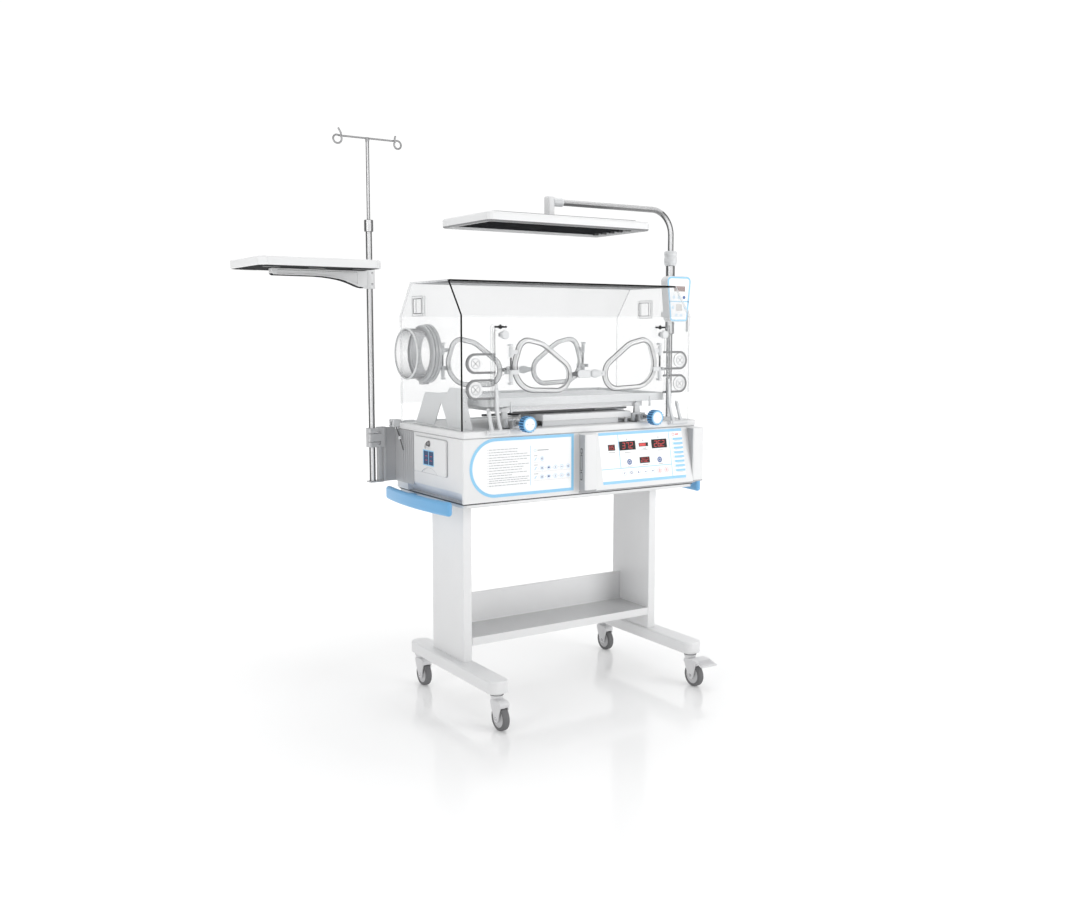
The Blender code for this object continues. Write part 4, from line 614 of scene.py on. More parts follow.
def done(ob, body, *nodes, smooth=32.0, slot=None, weighted=True):
    """Shading, then the body it rides on and the CAD nodes it stands for."""
    me = ob.data
    me.shade_smooth()
    me.set_sharp_from_angle(angle=math.radians(smooth))
    if weighted:
        w = ob.modifiers.new("normals", "WEIGHTED_NORMAL")
        w.keep_sharp = True
    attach(ob, body)
    if nodes:
        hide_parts(*nodes)
    return ob


def circle(u, v, r, n=48, a0=0.0, a1=2 * math.pi):
    return [(u + r * math.cos(a0 + (a1 - a0) * k / n), v + r * math.sin(a0 + (a1 - a0) * k / n)) for k in range(n)]


def hull(circles, n=64):
    pts = []
    for u, v, r in circles:
        pts += circle(u, v, r, n) if r > 0 else [(u, v)]
    pts = sorted(set((round(u, 6), round(v, 6)) for u, v in pts))

    def half(seq):
        out = []
        for p in seq:
            while len(out) > 1 and ((out[-1][0] - out[-2][0]) * (p[1] - out[-2][1]) - (out[-1][1] - out[-2][1]) * (p[0] - out[-2][0])) <= 1e-11:
                out.pop()
            out.append(p)
        return out[:-1]
    loop = half(pts) + half(pts[::-1])
    keep = []
    for p in loop:
        if not keep or math.dist(p, keep[-1]) > 0.00015:
            keep.append(p)
    if math.dist(keep[0], keep[-1]) <= 0.00015:
        keep.pop()
    return keep


def resample(loop, n):
    """n points evenly spaced along a closed outline."""
    L = [math.dist(loop[i], loop[(i + 1) % len(loop)]) for i in range(len(loop))]
    total, out, i, acc = sum(L), [], 0, 0.0
    for k in range(n):
        t = total * k / n
        while acc + L[i] < t:
            acc += L[i]
            i += 1
        f = (t - acc) / L[i]
        a, b = loop[i], loop[(i + 1) % len(loop)]
        out.append((a[0] + (b[0] - a[0]) * f, a[1] + (b[1] - a[1]) * f))
    return out


def rrect(u0, u1, v0, v1, r, n=32):
    return hull([(u0 + r, v0 + r, r), (u1 - r, v0 + r, r), (u1 - r, v1 - r, r), (u0 + r, v1 - r, r)], n)


class Plane:
    """A flat place on the object: origin, two directions and the outward one."""

    def __init__(self, o, u, v):
        self.o, self.u, self.v = V(*o), Vector(u).normalized(), Vector(v).normalized()
        self.n = self.u.cross(self.v).normalized()

    def p(self, a, b, h=0.0):
        return self.o + self.u * a + self.v * b + self.n * h


def print_on(bm, pl, pts, h0, h1):
    """A thin raised patch with the given outline."""
    lo = [bm.verts.new(pl.p(a, b, h0)) for a, b in pts]
    hi = [bm.verts.new(pl.p(a, b, h1)) for a, b in pts]
    n = len(pts)
    bm.faces.new(hi)
    bm.faces.new(lo[::-1])
    for k in range(n):
        j = (k + 1) % n
        bm.faces.new((lo[k], lo[j], hi[j], hi[k]))


def ring_on(bm, pl, outer, inner, h0, h1):
    n = len(outer)
    vs = [[bm.verts.new(pl.p(a, b, h)) for a, b in loop] for loop, h in ((outer, h0), (outer, h1), (inner, h1), (inner, h0))]
    for k in range(n):
        j = (k + 1) % n
        for i in range(4):
            a, b = vs[i], vs[(i + 1) % 4]
            bm.faces.new((a[k], a[j], b[j], b[k]))


def rect(a0, a1, b0, b1):
    return [(a0, b0), (a1, b0), (a1, b1), (a0, b1)]


SEGS = {"0": "abcdef", "1": "bc", "2": "abged", "3": "abgcd", "4": "fgbc", "5": "afgcd", "6": "afgedc", "7": "abc", "8": "abcdefg", "9": "abcdfg", "-": "g"}


def seven(bm, pl, a, b, w, h, ch, h0, h1):
    """One seven-segment digit with its lower left corner at (a, b)."""
    t = w * 0.14
    s = h * 0.08                                    # slant

    def seg(x0, y0, x1, y1):
        if abs(x1 - x0) > abs(y1 - y0):
            pts = [(x0 + t * .1, y0), (x0 + t * .6, y0 + t / 2), (x1 - t * .6, y0 + t / 2), (x1 - t * .1, y0), (x1 - t * .6, y0 - t / 2), (x0 + t * .6, y0 - t / 2)]
        else:
            pts = [(x0, y0 + t * .1), (x0 + t / 2, y0 + t * .6), (x0 + t / 2, y1 - t * .6), (x0, y1 - t * .1), (x0 - t / 2, y1 - t * .6), (x0 - t / 2, y0 + t * .6)]
        print_on(bm, pl, [(a + x + s * y / h, b + y) for x, y in pts], h0, h1)
    place = {"a": (0, h, w, h), "g": (0, h / 2, w, h / 2), "d": (0, 0, w, 0), "f": (0, h / 2, 0, h), "b": (w, h / 2, w, h), "e": (0, 0, 0, h / 2), "c": (w, 0, w, h / 2)}
    for k in SEGS[ch]:
        seg(*place[k])


def screw_head(name, at, axis, r, body, mat="screw", h=0.0016):
    """Low domed head with a cross slot."""
    ob = lathe(name, [(0, h), (r * 0.55, h * 0.95), (r * 0.9, h * 0.55), (r, 0.0), (0, 0.0)], at, axis, mat, 28)
    q = Vector(axis).to_track_quat("Z", "Y")
    for k in range(2):
        bm = bmesh.new()
        bmesh.ops.create_cube(bm, size=1.0)
        bmesh.ops.scale(bm, vec=(r * 1.3, r * 0.22, h * 1.2), verts=bm.verts)
        bmesh.ops.rotate(bm, cent=(0, 0, 0), matrix=Matrix.Rotation(k * math.pi / 2, 3, "Z"), verts=bm.verts)
        bmesh.ops.translate(bm, vec=(0, 0, h), verts=bm.verts)
        bmesh.ops.transform(bm, matrix=Matrix.Translation(V(*at)) @ q.to_matrix().to_4x4(), verts=bm.verts)
        cut(ob, from_bm("slot", bm, "screw"))
    return done(ob, body)


# ================================================================ the stand
for name, sx in (("foot_left", -1), ("foot_right", 1)):
    x0, x1 = sx * TRACK - FOOT_W / 2, sx * TRACK + FOOT_W / 2
    ob = slab("fine_" + name, [rrect(x0, x1, FOOT_Y0, FOOT_Y1, 0.026, 40)], "XY", FOOT_Z0, FOOT_Z1, "paint", 0.0055, 4)
    cut(ob, box("c", (x0 + 0.006, -0.268, FOOT_Z0 - 0.01), (x1 - 0.006, 0.165, FOOT_Z1 - 0.006), bev=0.003, seg=2))
    for y in SWIVEL_Y:
        cut(ob, bar("c", (sx * TRACK, y, FOOT_Z0 - 0.01), (sx * TRACK, y, FOOT_Z0 + 0.026), 0.0068))
    done(ob, "stand", name, slot="white_paint")
for name, sx in (("column_left", -1), ("column_right", 1)):
    x0, x1 = sorted((sx * COL_X0, sx * COL_X1))
    done(box("fine_" + name, (x0, -COL_Y, FOOT_Z1 + 0.0001), (x1, COL_Y, COL_TOP), "paint", 0.0032, 3), "stand", name, slot="white_paint")
    # foot of the column: a thin welded collar line
    done(box("fine_collar_" + name, (x0 - 0.0004, -COL_Y - 0.0004, FOOT_Z1 - 0.0002), (x1 + 0.0004, COL_Y + 0.0004, FOOT_Z1 + 0.0012), "paint", 0.0005, 2), "stand", slot="white_paint")
SX = COL_X0 - GAP
sh = slab("fine_storage_shelf", [[(-0.1100, SHELF_Z0), (SHELF_BACK, SHELF_Z0), (SHELF_BACK, SHELF_PANEL), (0.0620, SHELF_PANEL), (0.0620, SHELF_Z1), (-0.1100, SHELF_Z1)]], "YZ", -SX, SX, ["paint", "paint_f"], 0.0022, 3)
cut(sh, box("c", (-SX + 0.004, -0.1060, SHELF_Z0 - 0.01), (SX - 0.004, 0.0710, SHELF_Z1 - 0.0035)))
paint_faces(sh, lambda c, nrm: 1 if (nrm.z > 0.9 and abs(c.z - SHELF_Z1) < 0.0006) else 0)
done(sh, "stand", "storage_shelf", slot="white_paint")

# ------------------------------------------------------------- the casters
for tag, x, ys in (("fl", -TRACK, SWIVEL_Y[0]), ("bl", -TRACK, SWIVEL_Y[1]), ("br", TRACK, SWIVEL_Y[1]), ("fr", TRACK, SWIVEL_Y[0])):
    ya, b, w = ys - TRAIL, "caster_" + tag, "wheel_" + tag
    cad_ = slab("fine_fork_" + tag, [hull([(ya, WHEEL_R, 0.0130), (ya - 0.013, 0.0860, 0.0120), (ys + 0.004, 0.0890, 0.0090), (ys - 0.004, 0.0700, 0.0100)], 40)],
               "YZ", x - 0.0185, x + 0.0185, "fork", 0.0030, 3)
    cut(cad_, bar("c", (x - 0.0136, ya, WHEEL_R), (x + 0.0136, ya, WHEEL_R), 0.0440, seg=64))
    weld(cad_, lathe("c", [(0, 0.0), (0.0205, 0.0), (0.0213, -0.0010), (0.0213, -0.0100), (0.0200, -0.0150), (0.0175, -0.0195), (0, -0.0195)], (x, ys, FOOT_Z0 - GAP), (0, 0, 1), "fork", 48))
    weld(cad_, box("c", (x - 0.0080, ys + 0.006, 0.0760), (x + 0.0080, ys + 0.0270, 0.0900), "fork", 0.0030, 3))
    nodes = ["caster_fork_" + tag]
    if tag == "fr":
        py, pz = ya - 0.0330, 0.0950
        for a in (-0.0182, 0.0144):
            weld(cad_, slab("c", [hull([(py, pz, 0.0035), (ya - 0.013, 0.0880, 0.0060)], 24)], "YZ", x + a, x + a + 0.0038, "fork"))
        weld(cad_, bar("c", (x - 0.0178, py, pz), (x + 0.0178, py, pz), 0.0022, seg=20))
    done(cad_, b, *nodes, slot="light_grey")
    # swivel bearing: a polished ring and a dark dust seal under the foot
    done(lathe("fine_race_" + tag, [(0.0218, -0.0030), (0.0224, -0.0036), (0.0224, -0.0058), (0.0218, -0.0064), (0.0208, -0.0064), (0.0208, -0.0030)], (x, ys, FOOT_Z0 - GAP), (0, 0, 1), "chrome", 48), b, slot="steel")
    for s in (-1, 1):
        done(lathe("fine_axle_nut_%s_%d" % (tag, s), [(0, 0.0020), (0.0050, 0.0020), (0.0062, 0.0010), (0.0062, -0.0004), (0, -0.0004)], (x + s * 0.0185, ya, WHEEL_R), (s, 0, 0), "screw", 6), b, slot="steel")
    tread = lathe("fine_tyre_" + tag, [(0.0290, 0.0102), (0.0345, 0.0118), (0.0372, 0.0114), (0.0392, 0.0098), (0.0402, 0.0072), (WHEEL_R, 0.0030), (WHEEL_R, -0.0030), (0.0402, -0.0072),
                                       (0.0392, -0.0098), (0.0372, -0.0114), (0.0345, -0.0118), (0.0290, -0.0102)], (x, ya, WHEEL_R), (1, 0, 0), "tyre", 72)
    done(tread, w, "caster_wheel_" + tag, slot="tyre")
    done(lathe("fine_hub_" + tag, [(0.0046, 0.0122), (0.0095, 0.0122), (0.0108, 0.0112), (0.0120, 0.0082), (0.0150, 0.0074), (0.0240, 0.0074), (0.0268, 0.0084), (0.0284, 0.0104), (0.0292, 0.0104),
                                   (0.0292, -0.0104), (0.0284, -0.0104), (0.0268, -0.0084), (0.0240, -0.0074), (0.0150, -0.0074), (0.0120, -0.0082), (0.0108, -0.0112), (0.0095, -0.0122), (0.0046, -0.0122)],
               (x, ya, WHEEL_R), (1, 0, 0), "hub", 64), w, slot="tyre")
py, pz = SWIVEL_Y[0] - TRAIL - 0.0330, 0.0950
ped = slab("fine_brake_pedal", [[(-0.4210, 0.0900), (-0.4170, 0.0880), (-0.4050, 0.0915), (-0.3820, 0.0995), (-0.3480, 0.1015), (-0.3480, 0.1055), (-0.3820, 0.1050), (-0.4050, 0.0965), (-0.4210, 0.0940)]],
           "YZ", TRACK - 0.0340, TRACK + 0.0340, "fork", 0.0011, 2)
weld(ped, slab("c", [hull([(py, pz, 0.0046), (py - 0.006, 0.1045, 0), (py, 0.1045, 0)], 24)], "YZ", TRACK - 0.0138, TRACK + 0.0138, "fork"))
cut(ped, bar("c", (TRACK - 0.04, py, pz), (TRACK + 0.04, py, pz), 0.0026, seg=24))
for k in range(5):
    y = -0.4120 + 0.0056 * k
    z = 0.0945 + (y + 0.4210) * 0.30
    weld(ped, box("c", (TRACK - 0.0290, y - 0.0008, z - 0.0030), (TRACK + 0.0290, y + 0.0008, z + 0.0012), "fork", 0.0003, 1))
done(ped, "pedal", "brake_pedal", slot="light_grey")

# -------------------------------------------------------------- base plate
bp_ = slab("fine_base_frame", [rrect(-0.4680, 0.4680, -0.2330, 0.2290, 0.012, 32)], "XY", BASE_Z0, BODY_Z0 - GAP, "alloy", 0.0022, 3)
done(bp_, "stand", "base_frame", slot="base_alloy")
for sx in (-1, 1):
    for y in (-0.075, 0.075):
        screw_head("fine_base_screw_%d_%d" % (sx, y > 0), (sx * 0.428, y, BASE_Z0), (0, 0, -1), 0.0055, "stand", h=0.0022)

# ----------------------------------------------------------------- cabinet
CAB_Z1 = DECK_Z0 - GAP
# painted shadow: a dark strip in the gap between the cabinet and the base plate
done(box("fine_base_painted_shadow_gap", (-0.4684, -0.2334, BODY_Z0 - 0.0046), (0.4684, 0.2294, BODY_Z0 - 0.0004), "dark", 0.0003, 1), "stand", slot="dark_grey")
cab = box("fine_cabinet", (-BODY_X, BODY_Y0, BODY_Z0), (BODY_X, BODY_Y1, CAB_Z1), ["case", "scoop"], 0.0042, 4)
cut(cab, box("c", (-BODY_X + 0.0035, BODY_Y0 + 0.0035, 0.7560), (BODY_X - 0.0035, BODY_Y1 - 0.0035, CAB_Z1 + 0.02)))
cut(cab, box("c", (-0.4200, BODY_Y0 + 0.0035, BODY_Z0 + 0.0040), (0.4200, BODY_Y1 - 0.0035, 0.7700)))
for sx in (-1, 1):
    sc = slab("c", [[(sx * (BODY_X + 0.002), 0.7475), (sx * (BODY_X - 0.0300), 0.7095), (sx * (BODY_X - 0.0300), 0.7000), (sx * (BODY_X + 0.0120), 0.7000), (sx * (BODY_X + 0.0120), 0.7475)]], "XZ", -0.2330, 0.1500, "case", 0.012, 5, 20.0)
    cut(cab, sc)
cut(cab, box("c", (-BODY_X - 0.01, -0.1215, 0.8010), (-BODY_X + 0.01, 0.0665, 0.8900)))
for k in range(5):
    x = 0.150 + 0.024 * k
    cut(cab, slab("c", [rrect(x - 0.004, x + 0.004, 0.790, 0.860, 0.0038, 20)], "XZ", BODY_Y1 - 0.01, BODY_Y1 + 0.01))
paint_faces(cab, lambda c, nrm: 1 if (abs(c.x) > BODY_X - 0.032 and c.z < 0.7478 and -0.2335 < c.y < 0.1505 and nrm.z < 0.1 and not (abs(nrm.x) > 0.99 and abs(c.x) > BODY_X - 0.001) and c.z > BODY_Z0 + 0.0005) else 0)
done(cab, "stand", "cabinet_shell", slot="white_casing")
# shallow guide strips of the end wall, beside the pole bracket
for k, y in enumerate((0.0870, 0.0935)):
    done(box("fine_end_rib_%d" % k, (-BODY_X - 0.0009, y, 0.7760), (-BODY_X + 0.0005, y + 0.0022, 0.9060), "case", 0.0004, 2), "stand", slot="white_casing")

# -------------------------------------------------------------------- deck
deck = box("fine_deck", (-BODY_X, BODY_Y0, DECK_Z0), (BODY_X, BODY_Y1, DECK_Z1), "case", 0.0050, 4)
cut(deck, box("c", (-BODY_X + 0.005, BODY_Y0 + 0.005, DECK_Z0 - 0.01), (BODY_X - 0.005, 0.2000, DECK_Z1 - 0.005)))
cut(deck, box("c", (-BODY_X - 0.01, 0.2085, 0.9225), (BODY_X + 0.01, BODY_Y1 + 0.01, DECK_Z1 + 0.01)))
for x0, x1 in ((-0.4560, -0.4400), (0.4400, 0.4560)):
    for k in range(5):
        y0 = -0.1700 + k * 0.0690
        cut(deck, slab("c", [rrect(x0, x1, y0, y0 + 0.0640, 0.0075, 24)], "XY", DECK_Z1 - 0.02, DECK_Z1 + 0.01))
cut(deck, bar("c", (0.04, 0.03, DECK_Z1 - 0.02), (0.04, 0.03, DECK_Z1 + 0.01), 0.0120))
for sy in (-1, 1):
    lo, hi = sorted((sy * 0.1665, sy * 0.1765))
    post = slab("c", [hull([(PIVOT_X - 0.016, DECK_Z1 - 0.003, 0), (PIVOT_X + 0.016, DECK_Z1 - 0.003, 0), (PIVOT_X, 0.9980, 0.0092)], 32)], "XZ", lo, hi, "case")
    cut(post, bar("c", (PIVOT_X, lo - 0.01, 0.9980), (PIVOT_X, hi + 0.01, 0.9980), 0.0044, seg=24))
    weld(deck, post)
    weld(deck, box("c", (-0.2850, min(sy * 0.152, sy * 0.164), DECK_Z1 - 0.003), (-0.2650, max(sy * 0.152, sy * 0.164), FRAME_Z0 - GAP), "case", 0.001, 2))
for x in KNOB_X:
    blk = box("c", (x - 0.0130, -0.2060, DECK_Z1 - 0.003), (x + 0.0130, -0.1860, KNOB_Z + 0.0130), "case", 0.002, 2)
    cut(blk, bar("c", (x, -0.22, KNOB_Z), (x, -0.17, KNOB_Z), 0.0064, seg=32))
    weld(deck, blk)
for x0, x1 in DH:
    for a, b in ((x0 - 0.0048, x0 - 0.0008), (x1 + 0.0008, x1 + 0.0048)):
        weld(deck, slab("c", [hull([(DHINGE_Y, DHINGE_Z, 0.0060), (BODY_Y0 + 0.004, 0.9290, 0.0040), (BODY_Y0 + 0.004, 0.9345, 0)], 24)], "YZ", a, b))
    weld(deck, bar("c", (x0 - 0.0040, DHINGE_Y, DHINGE_Z), (x1 + 0.0040, DHINGE_Y, DHINGE_Z), 0.0030, seg=20))
done(deck, "stand", "deck_tray", slot="white_casing")
# raised gasket lines on the deck that the hood's edge meets
for sx in (-1, 1):
    done(box("fine_end_lip_%d" % sx, (min(sx * 0.4741, sx * 0.4752), -0.2300, 0.9195), (max(sx * 0.4741, sx * 0.4752), 0.1980, 0.9235), "case", 0.0006, 2), "stand", slot="white_casing")

# --------------------------------------------------------- control module
prof = [(BODY_Y0 - GAP, MOD_Z0), (MOD_Y + 0.0030, MOD_Z0), (MOD_Y + 0.0020, MOD_Z0 + 0.001), (MOD_Y + 0.002, 0.7345), (-0.2455, MOD_Z1 - 0.001), (BODY_Y0 - GAP, MOD_Z1)]
mod = slab("fine_control_module", [prof], "YZ", MOD_X0 + 0.02, MOD_X1 - 0.02, ["case", "cheek"], 0.0012, 2)
for x0, x1 in ((MOD_X0, MOD_X0 + CHEEK), (MOD_X1 - CHEEK, MOD_X1)):
    weld(mod, box("c", (x0, MOD_Y, MOD_Z0), (x1, BODY_Y0 - GAP, MOD_Z1), "case", 0.0060, 5))
cut(mod, box("c", (MOD_X0 - 0.01, -0.2640, 0.7560), (MOD_X0 + 0.0030, -0.2480, 0.8680), bev=0.0015, seg=2))
# the left side face is grey; the downward faces take the same grey as painted underside shade
paint_faces(mod, lambda c, nrm: 1 if (nrm.x < -0.92 or nrm.z < -0.12) else 0)
done(mod, "stand", "control_module", slot="white_casing")
done(box("fine_module_shade", (MOD_X0 + 0.0020, BODY_Y0 - 0.0006, 0.7128), (MOD_X1 - 0.0020, BODY_Y0 + 0.0004, 0.7212), "mgrey", 0.0002, 1), "stand", slot="grey_casing")
# sockets in the recess of the left cheek
for k, (z0, z1) in enumerate(((0.7600, 0.7860), (0.7900, 0.8440), (0.8480, 0.8650))):
    done(box("fine_socket_%d" % k, (MOD_X0 + 0.0012, -0.2625, z0), (MOD_X0 + 0.0034, -0.2495, z1), "dark", 0.0006, 2), "stand", slot="dark_grey")
    done(box("fine_socket_core_%d" % k, (MOD_X0 + 0.0006, -0.2592, z0 + 0.003), (MOD_X0 + 0.0014, -0.2528, z1 - 0.003), "mgrey", 0.0002, 1), "stand", slot="grey_casing")

# the printed film on the sloped face
SL = math.hypot(0.0339, 0.1805)
PAN = Plane((0, -0.2794, 0.7345), (1, 0, 0), (0, 0.0339 / SL, 0.1805 / SL))
H = 0.0005
bm = bmesh.new()
print_on(bm, PAN, rrect(0.0395, 0.4008, 0.0050, 0.1800, 0.0008, 8), -0.0004, H)
done(from_bm("fine_panel_film", bm, "film"), "stand", slot="white_casing", weighted=False)
HP = H + 0.00025
bm = bmesh.new()
print_on(bm, PAN, rect(0.0396, 0.4007, 0.1703, 0.1799), H - 0.0001, HP)
print_on(bm, PAN, rect(0.0396, 0.4007, 0.0051, 0.0148), H - 0.0001, HP)
for a0, a1, b0, b1 in ((0.1184, 0.1208, 0.0562, 0.1703), (0.3404, 0.3426, 0.0148, 0.1703), (0.0396, 0.3408, 0.0548, 0.0570)):
    print_on(bm, PAN, rect(a0, a1, b0, b1), H - 0.0001, HP)
for s in (0.1440, 0.1280, 0.1125, 0.0965, 0.0815, 0.0655, 0.0498, 0.0335):
    print_on(bm, PAN, rrect(0.3590, 0.4006, s - 0.0042, s + 0.0034, 0.0015, 8), H - 0.0001, HP)
    ring_on(bm, PAN, circle(0.3556, s, 0.0040, 20), circle(0.3556, s, 0.0030, 20), H - 0.0001, HP)
for a in (0.1322, 0.1623, 0.1928, 0.2235, 0.2548):
    ring_on(bm, PAN, circle(a, 0.0387, 0.0092, 32), circle(a, 0.0387, 0.0086, 32), H - 0.0001, HP)
done(from_bm("fine_panel_blue_print", bm, "film_b"), "stand", slot="blue_plastic", weighted=False)
bm = bmesh.new()
for a in (0.1587, 0.2902):
    print_on(bm, PAN, circle(a, 0.0757, 0.0098, 36), H - 0.0001, HP)
for k, a in enumerate((0.1322, 0.1623, 0.1928, 0.2235, 0.2548)):
    if k == 0:
        print_on(bm, PAN, [(a - 0.0032, 0.0350), (a - 0.0020, 0.0340), (a + 0.0034, 0.0412), (a + 0.0022, 0.0424)], H - 0.0001, HP)
    elif k == 1:
        ring_on(bm, PAN, circle(a, 0.0387, 0.0046, 20), circle(a, 0.0387, 0.0030, 20), H - 0.0001, HP)
    elif k == 2:
        print_on(bm, PAN, [(a - 0.0036, 0.0360), (a + 0.0036, 0.0360), (a, 0.0424)], H - 0.0001, HP)
    elif k == 3:
        print_on(bm, PAN, rect(a - 0.0040, a + 0.0040, 0.0378, 0.0396), H - 0.0001, HP)
    else:
        print_on(bm, PAN, rect(a - 0.0044, a + 0.0044, 0.0372, 0.0384), H - 0.0001, HP)
        print_on(bm, PAN, rect(a - 0.0044, a + 0.0044, 0.0394, 0.0406), H - 0.0001, HP)
done(from_bm("fine_panel_navy_print", bm, "film_n"), "stand", slot="blue_plastic", weighted=False)
bm = bmesh.new()
for a in (0.1587, 0.2902):
    ring_on(bm, PAN, circle(a, 0.0757, 0.0052, 24), circle(a, 0.0757, 0.0040, 24), HP - 0.0001, HP + 0.00015)
done(from_bm("fine_panel_key_marks", bm, "film"), "stand", slot="white_casing", weighted=False)
bm = bmesh.new()
for a in (0.2850, 0.3161):
    ring_on(bm, PAN, circle(a, 0.0382, 0.0092, 32), circle(a, 0.0382, 0.0085, 32), H - 0.0001, HP)
    ring_on(bm, PAN, circle(a, 0.0395, 0.0034, 20), circle(a, 0.0395, 0.0020, 20), H - 0.0001, HP)
    print_on(bm, PAN, rect(a - 0.0040, a + 0.0040, 0.0334, 0.0346), H - 0.0001, HP)
ring_on(bm, PAN, circle(0.3610, 0.1600, 0.0050, 24), circle(0.3610, 0.1600, 0.0040, 24), H - 0.0001, HP)
print_on(bm, PAN, rect(0.3700, 0.3850, 0.1580, 0.1618), H - 0.0001, HP)
done(from_bm("fine_panel_red_print", bm, "film_r"), "stand", slot="blue_plastic", weighted=False)
bm = bmesh.new()
for a0, a1, s in ((0.0745, 0.1030, 0.1115), (0.1420, 0.1680, 0.1085), (0.2120, 0.2420, 0.1130), (0.2860, 0.3080, 0.1085), (0.2130, 0.2400, 0.0622), (0.1490, 0.1700, 0.0612), (0.2830, 0.3040, 0.0612)):
    print_on(bm, PAN, rect(a0, a1, s - 0.0008, s + 0.0008), H - 0.0001, HP)
for a, s in ((0.1545, 0.1535), (0.2250, 0.1460), (0.2930, 0.1535)):
    print_on(bm, PAN, circle(a, s, 0.0022, 16), H - 0.0001, HP)
for s in (0.1440, 0.1280, 0.1125, 0.0965, 0.0815, 0.0655, 0.0498, 0.0335):
    print_on(bm, PAN, rect(0.3640, 0.3940, s - 0.0070, s - 0.0060), H - 0.0001, HP)
for a, s in ((0.1425, 0.0757), (0.3065, 0.0757)):
    ring_on(bm, PAN, circle(a, s, 0.0030, 18), circle(a, s, 0.0024, 18), H - 0.0001, HP)
print_on(bm, PAN, [(0.2170, 0.1172), (0.2370, 0.1172), (0.2370, 0.1205)], H - 0.0001, HP)
done(from_bm("fine_panel_grey_print", bm, "film_g"), "stand", slot="grey_casing", weighted=False)
bm = bmesh.new()
DISP = ((0.0742, 0.1028, 0.1180, 0.1382), (0.1215, 0.1907, 0.1165, 0.1470), (0.2055, 0.2455, 0.1252, 0.1378), (0.2612, 0.3290, 0.1160, 0.1468), (0.2030, 0.2462, 0.0680, 0.0890))
for a0, a1, b0, b1 in DISP:
    print_on(bm, PAN, rect(a0, a1, b0, b1), H - 0.0001, HP + 0.0002)
done(from_bm("fine_panel_displays", bm, "black"), "stand", slot="dark_grey", weighted=False)
HL = HP + 0.00035


def number(bm, pl, a0, a1, b0, b1, text, h0, h1, dot=None, fill=0.62):
    n = len(text)
    hh = (b1 - b0) * fill
    w = min(hh * 0.58, (a1 - a0) * 0.80 / (n * 1.42))
    step = w * 1.50
    a = (a0 + a1) / 2 - (step * (n - 1) + w) / 2 - hh * 0.03
    b = (b0 + b1) / 2 - hh / 2
    for k, ch in enumerate(text):
        seven(bm, pl, a + k * step, b, w, hh, ch, h0, h1)
        if dot == k:
            print_on(bm, pl, circle(a + k * step + w * 1.22, b, w * 0.11, 12), h0, h1)


bm = bmesh.new()
number(bm, PAN, *DISP[0], "85", HP, HL)
number(bm, PAN, *DISP[1], "372", HP, HL, 1)
number(bm, PAN, *DISP[3], "262", HP, HL, 1)
number(bm, PAN, *DISP[4], "262", HP, HL, 1)
for k in range(6):
    a = 0.2085 + k * 0.0045
    print_on(bm, PAN, rect(a, a + 0.0036, 0.1272, 0.1358), HP, HL)
done(from_bm("fine_panel_digits", bm, "led"), "stand", slot="dark_grey", weighted=False)

# --------------------------------------------------------- label, at left
LAB = Plane((0, BODY_Y0, 0), (1, 0, 0), (0, 0, 1))


def d_shape(g, n=48):
    """Panel outline with a round left end, inset by g."""
    x1, z0, z1 = -0.0560 - g, 0.7252 + g, 0.9150 - g
    r = (z1 - z0) / 2
    cx, cz = -0.4514 + (0.9150 - 0.7252) / 2, (z0 + z1) / 2
    return [(x1, z0), (x1, z1)] + [(cx + r * math.cos(math.radians(90 + 180 * k / n)), cz + r * math.sin(math.radians(90 + 180 * k / n))) for k in range(n + 1)]


bm = bmesh.new()
print_on(bm, LAB, d_shape(0.0008), -0.0004, H)
done(from_bm("fine_label_film", bm, "film"), "stand", slot="white_casing", weighted=False)
bm = bmesh.new()
ring_on(bm, LAB, d_shape(0.0), d_shape(0.0100), H - 0.0001, HP)
print_on(bm, LAB, rect(-0.2262, -0.2250, 0.7550, 0.8840), H - 0.0001, HP)
ring_on(bm, LAB, rrect(-0.2130, -0.2040, 0.8640, 0.8710, 0.002, 8), [(x * 0.86 + -0.2085 * 0.14, z * 0.86 + 0.8675 * 0.14) for x, z in rrect(-0.2130, -0.2040, 0.8640, 0.8710, 0.002, 8)], H - 0.0001, HP)
ROWS = ((0.8395, (-0.2068, -0.1812)), (0.8085, (-0.2068, -0.1812, -0.1552, -0.1292, -0.1041, -0.0780)), (0.7795, (-0.2068, -0.1812, -0.1552, -0.1292, -0.1041, -0.0780)))
for z, xs in ROWS:
    for k, x in enumerate(xs):
        if k == 0:
            print_on(bm, LAB, [(x - 0.0040, z - 0.0048), (x - 0.0022, z - 0.0055), (x + 0.0044, z + 0.0036), (x + 0.0030, z + 0.0050)], H - 0.0001, HP)
        else:
            ring_on(bm, LAB, circle(x, z, 0.0070, 28), circle(x, z, 0.0062, 28), H - 0.0001, HP)
done(from_bm("fine_label_blue_print", bm, "film_b"), "stand", slot="blue_plastic", weighted=False)
bm = bmesh.new()
for z, xs in ROWS:
    for k, x in enumerate(xs[1:]):
        if k in (0, 4):
            ring_on(bm, LAB, circle(x, z, 0.0034, 20), circle(x, z, 0.0018, 20), H - 0.0001, HP)
        elif k == 1:
            print_on(bm, LAB, rect(x - 0.0036, x + 0.0036, z - 0.0026, z + 0.0030), H - 0.0001, HP)
        elif k == 2:
            print_on(bm, LAB, rect(x - 0.0008, x + 0.0008, z - 0.0034, z + 0.0034), H - 0.0001, HP)
        else:
            print_on(bm, LAB, rect(x - 0.0036, x + 0.0036, z - 0.0007, z + 0.0007), H - 0.0001, HP)
done(from_bm("fine_label_navy_print", bm, "film_n"), "stand", slot="blue_plastic", weighted=False)
bm = bmesh.new()
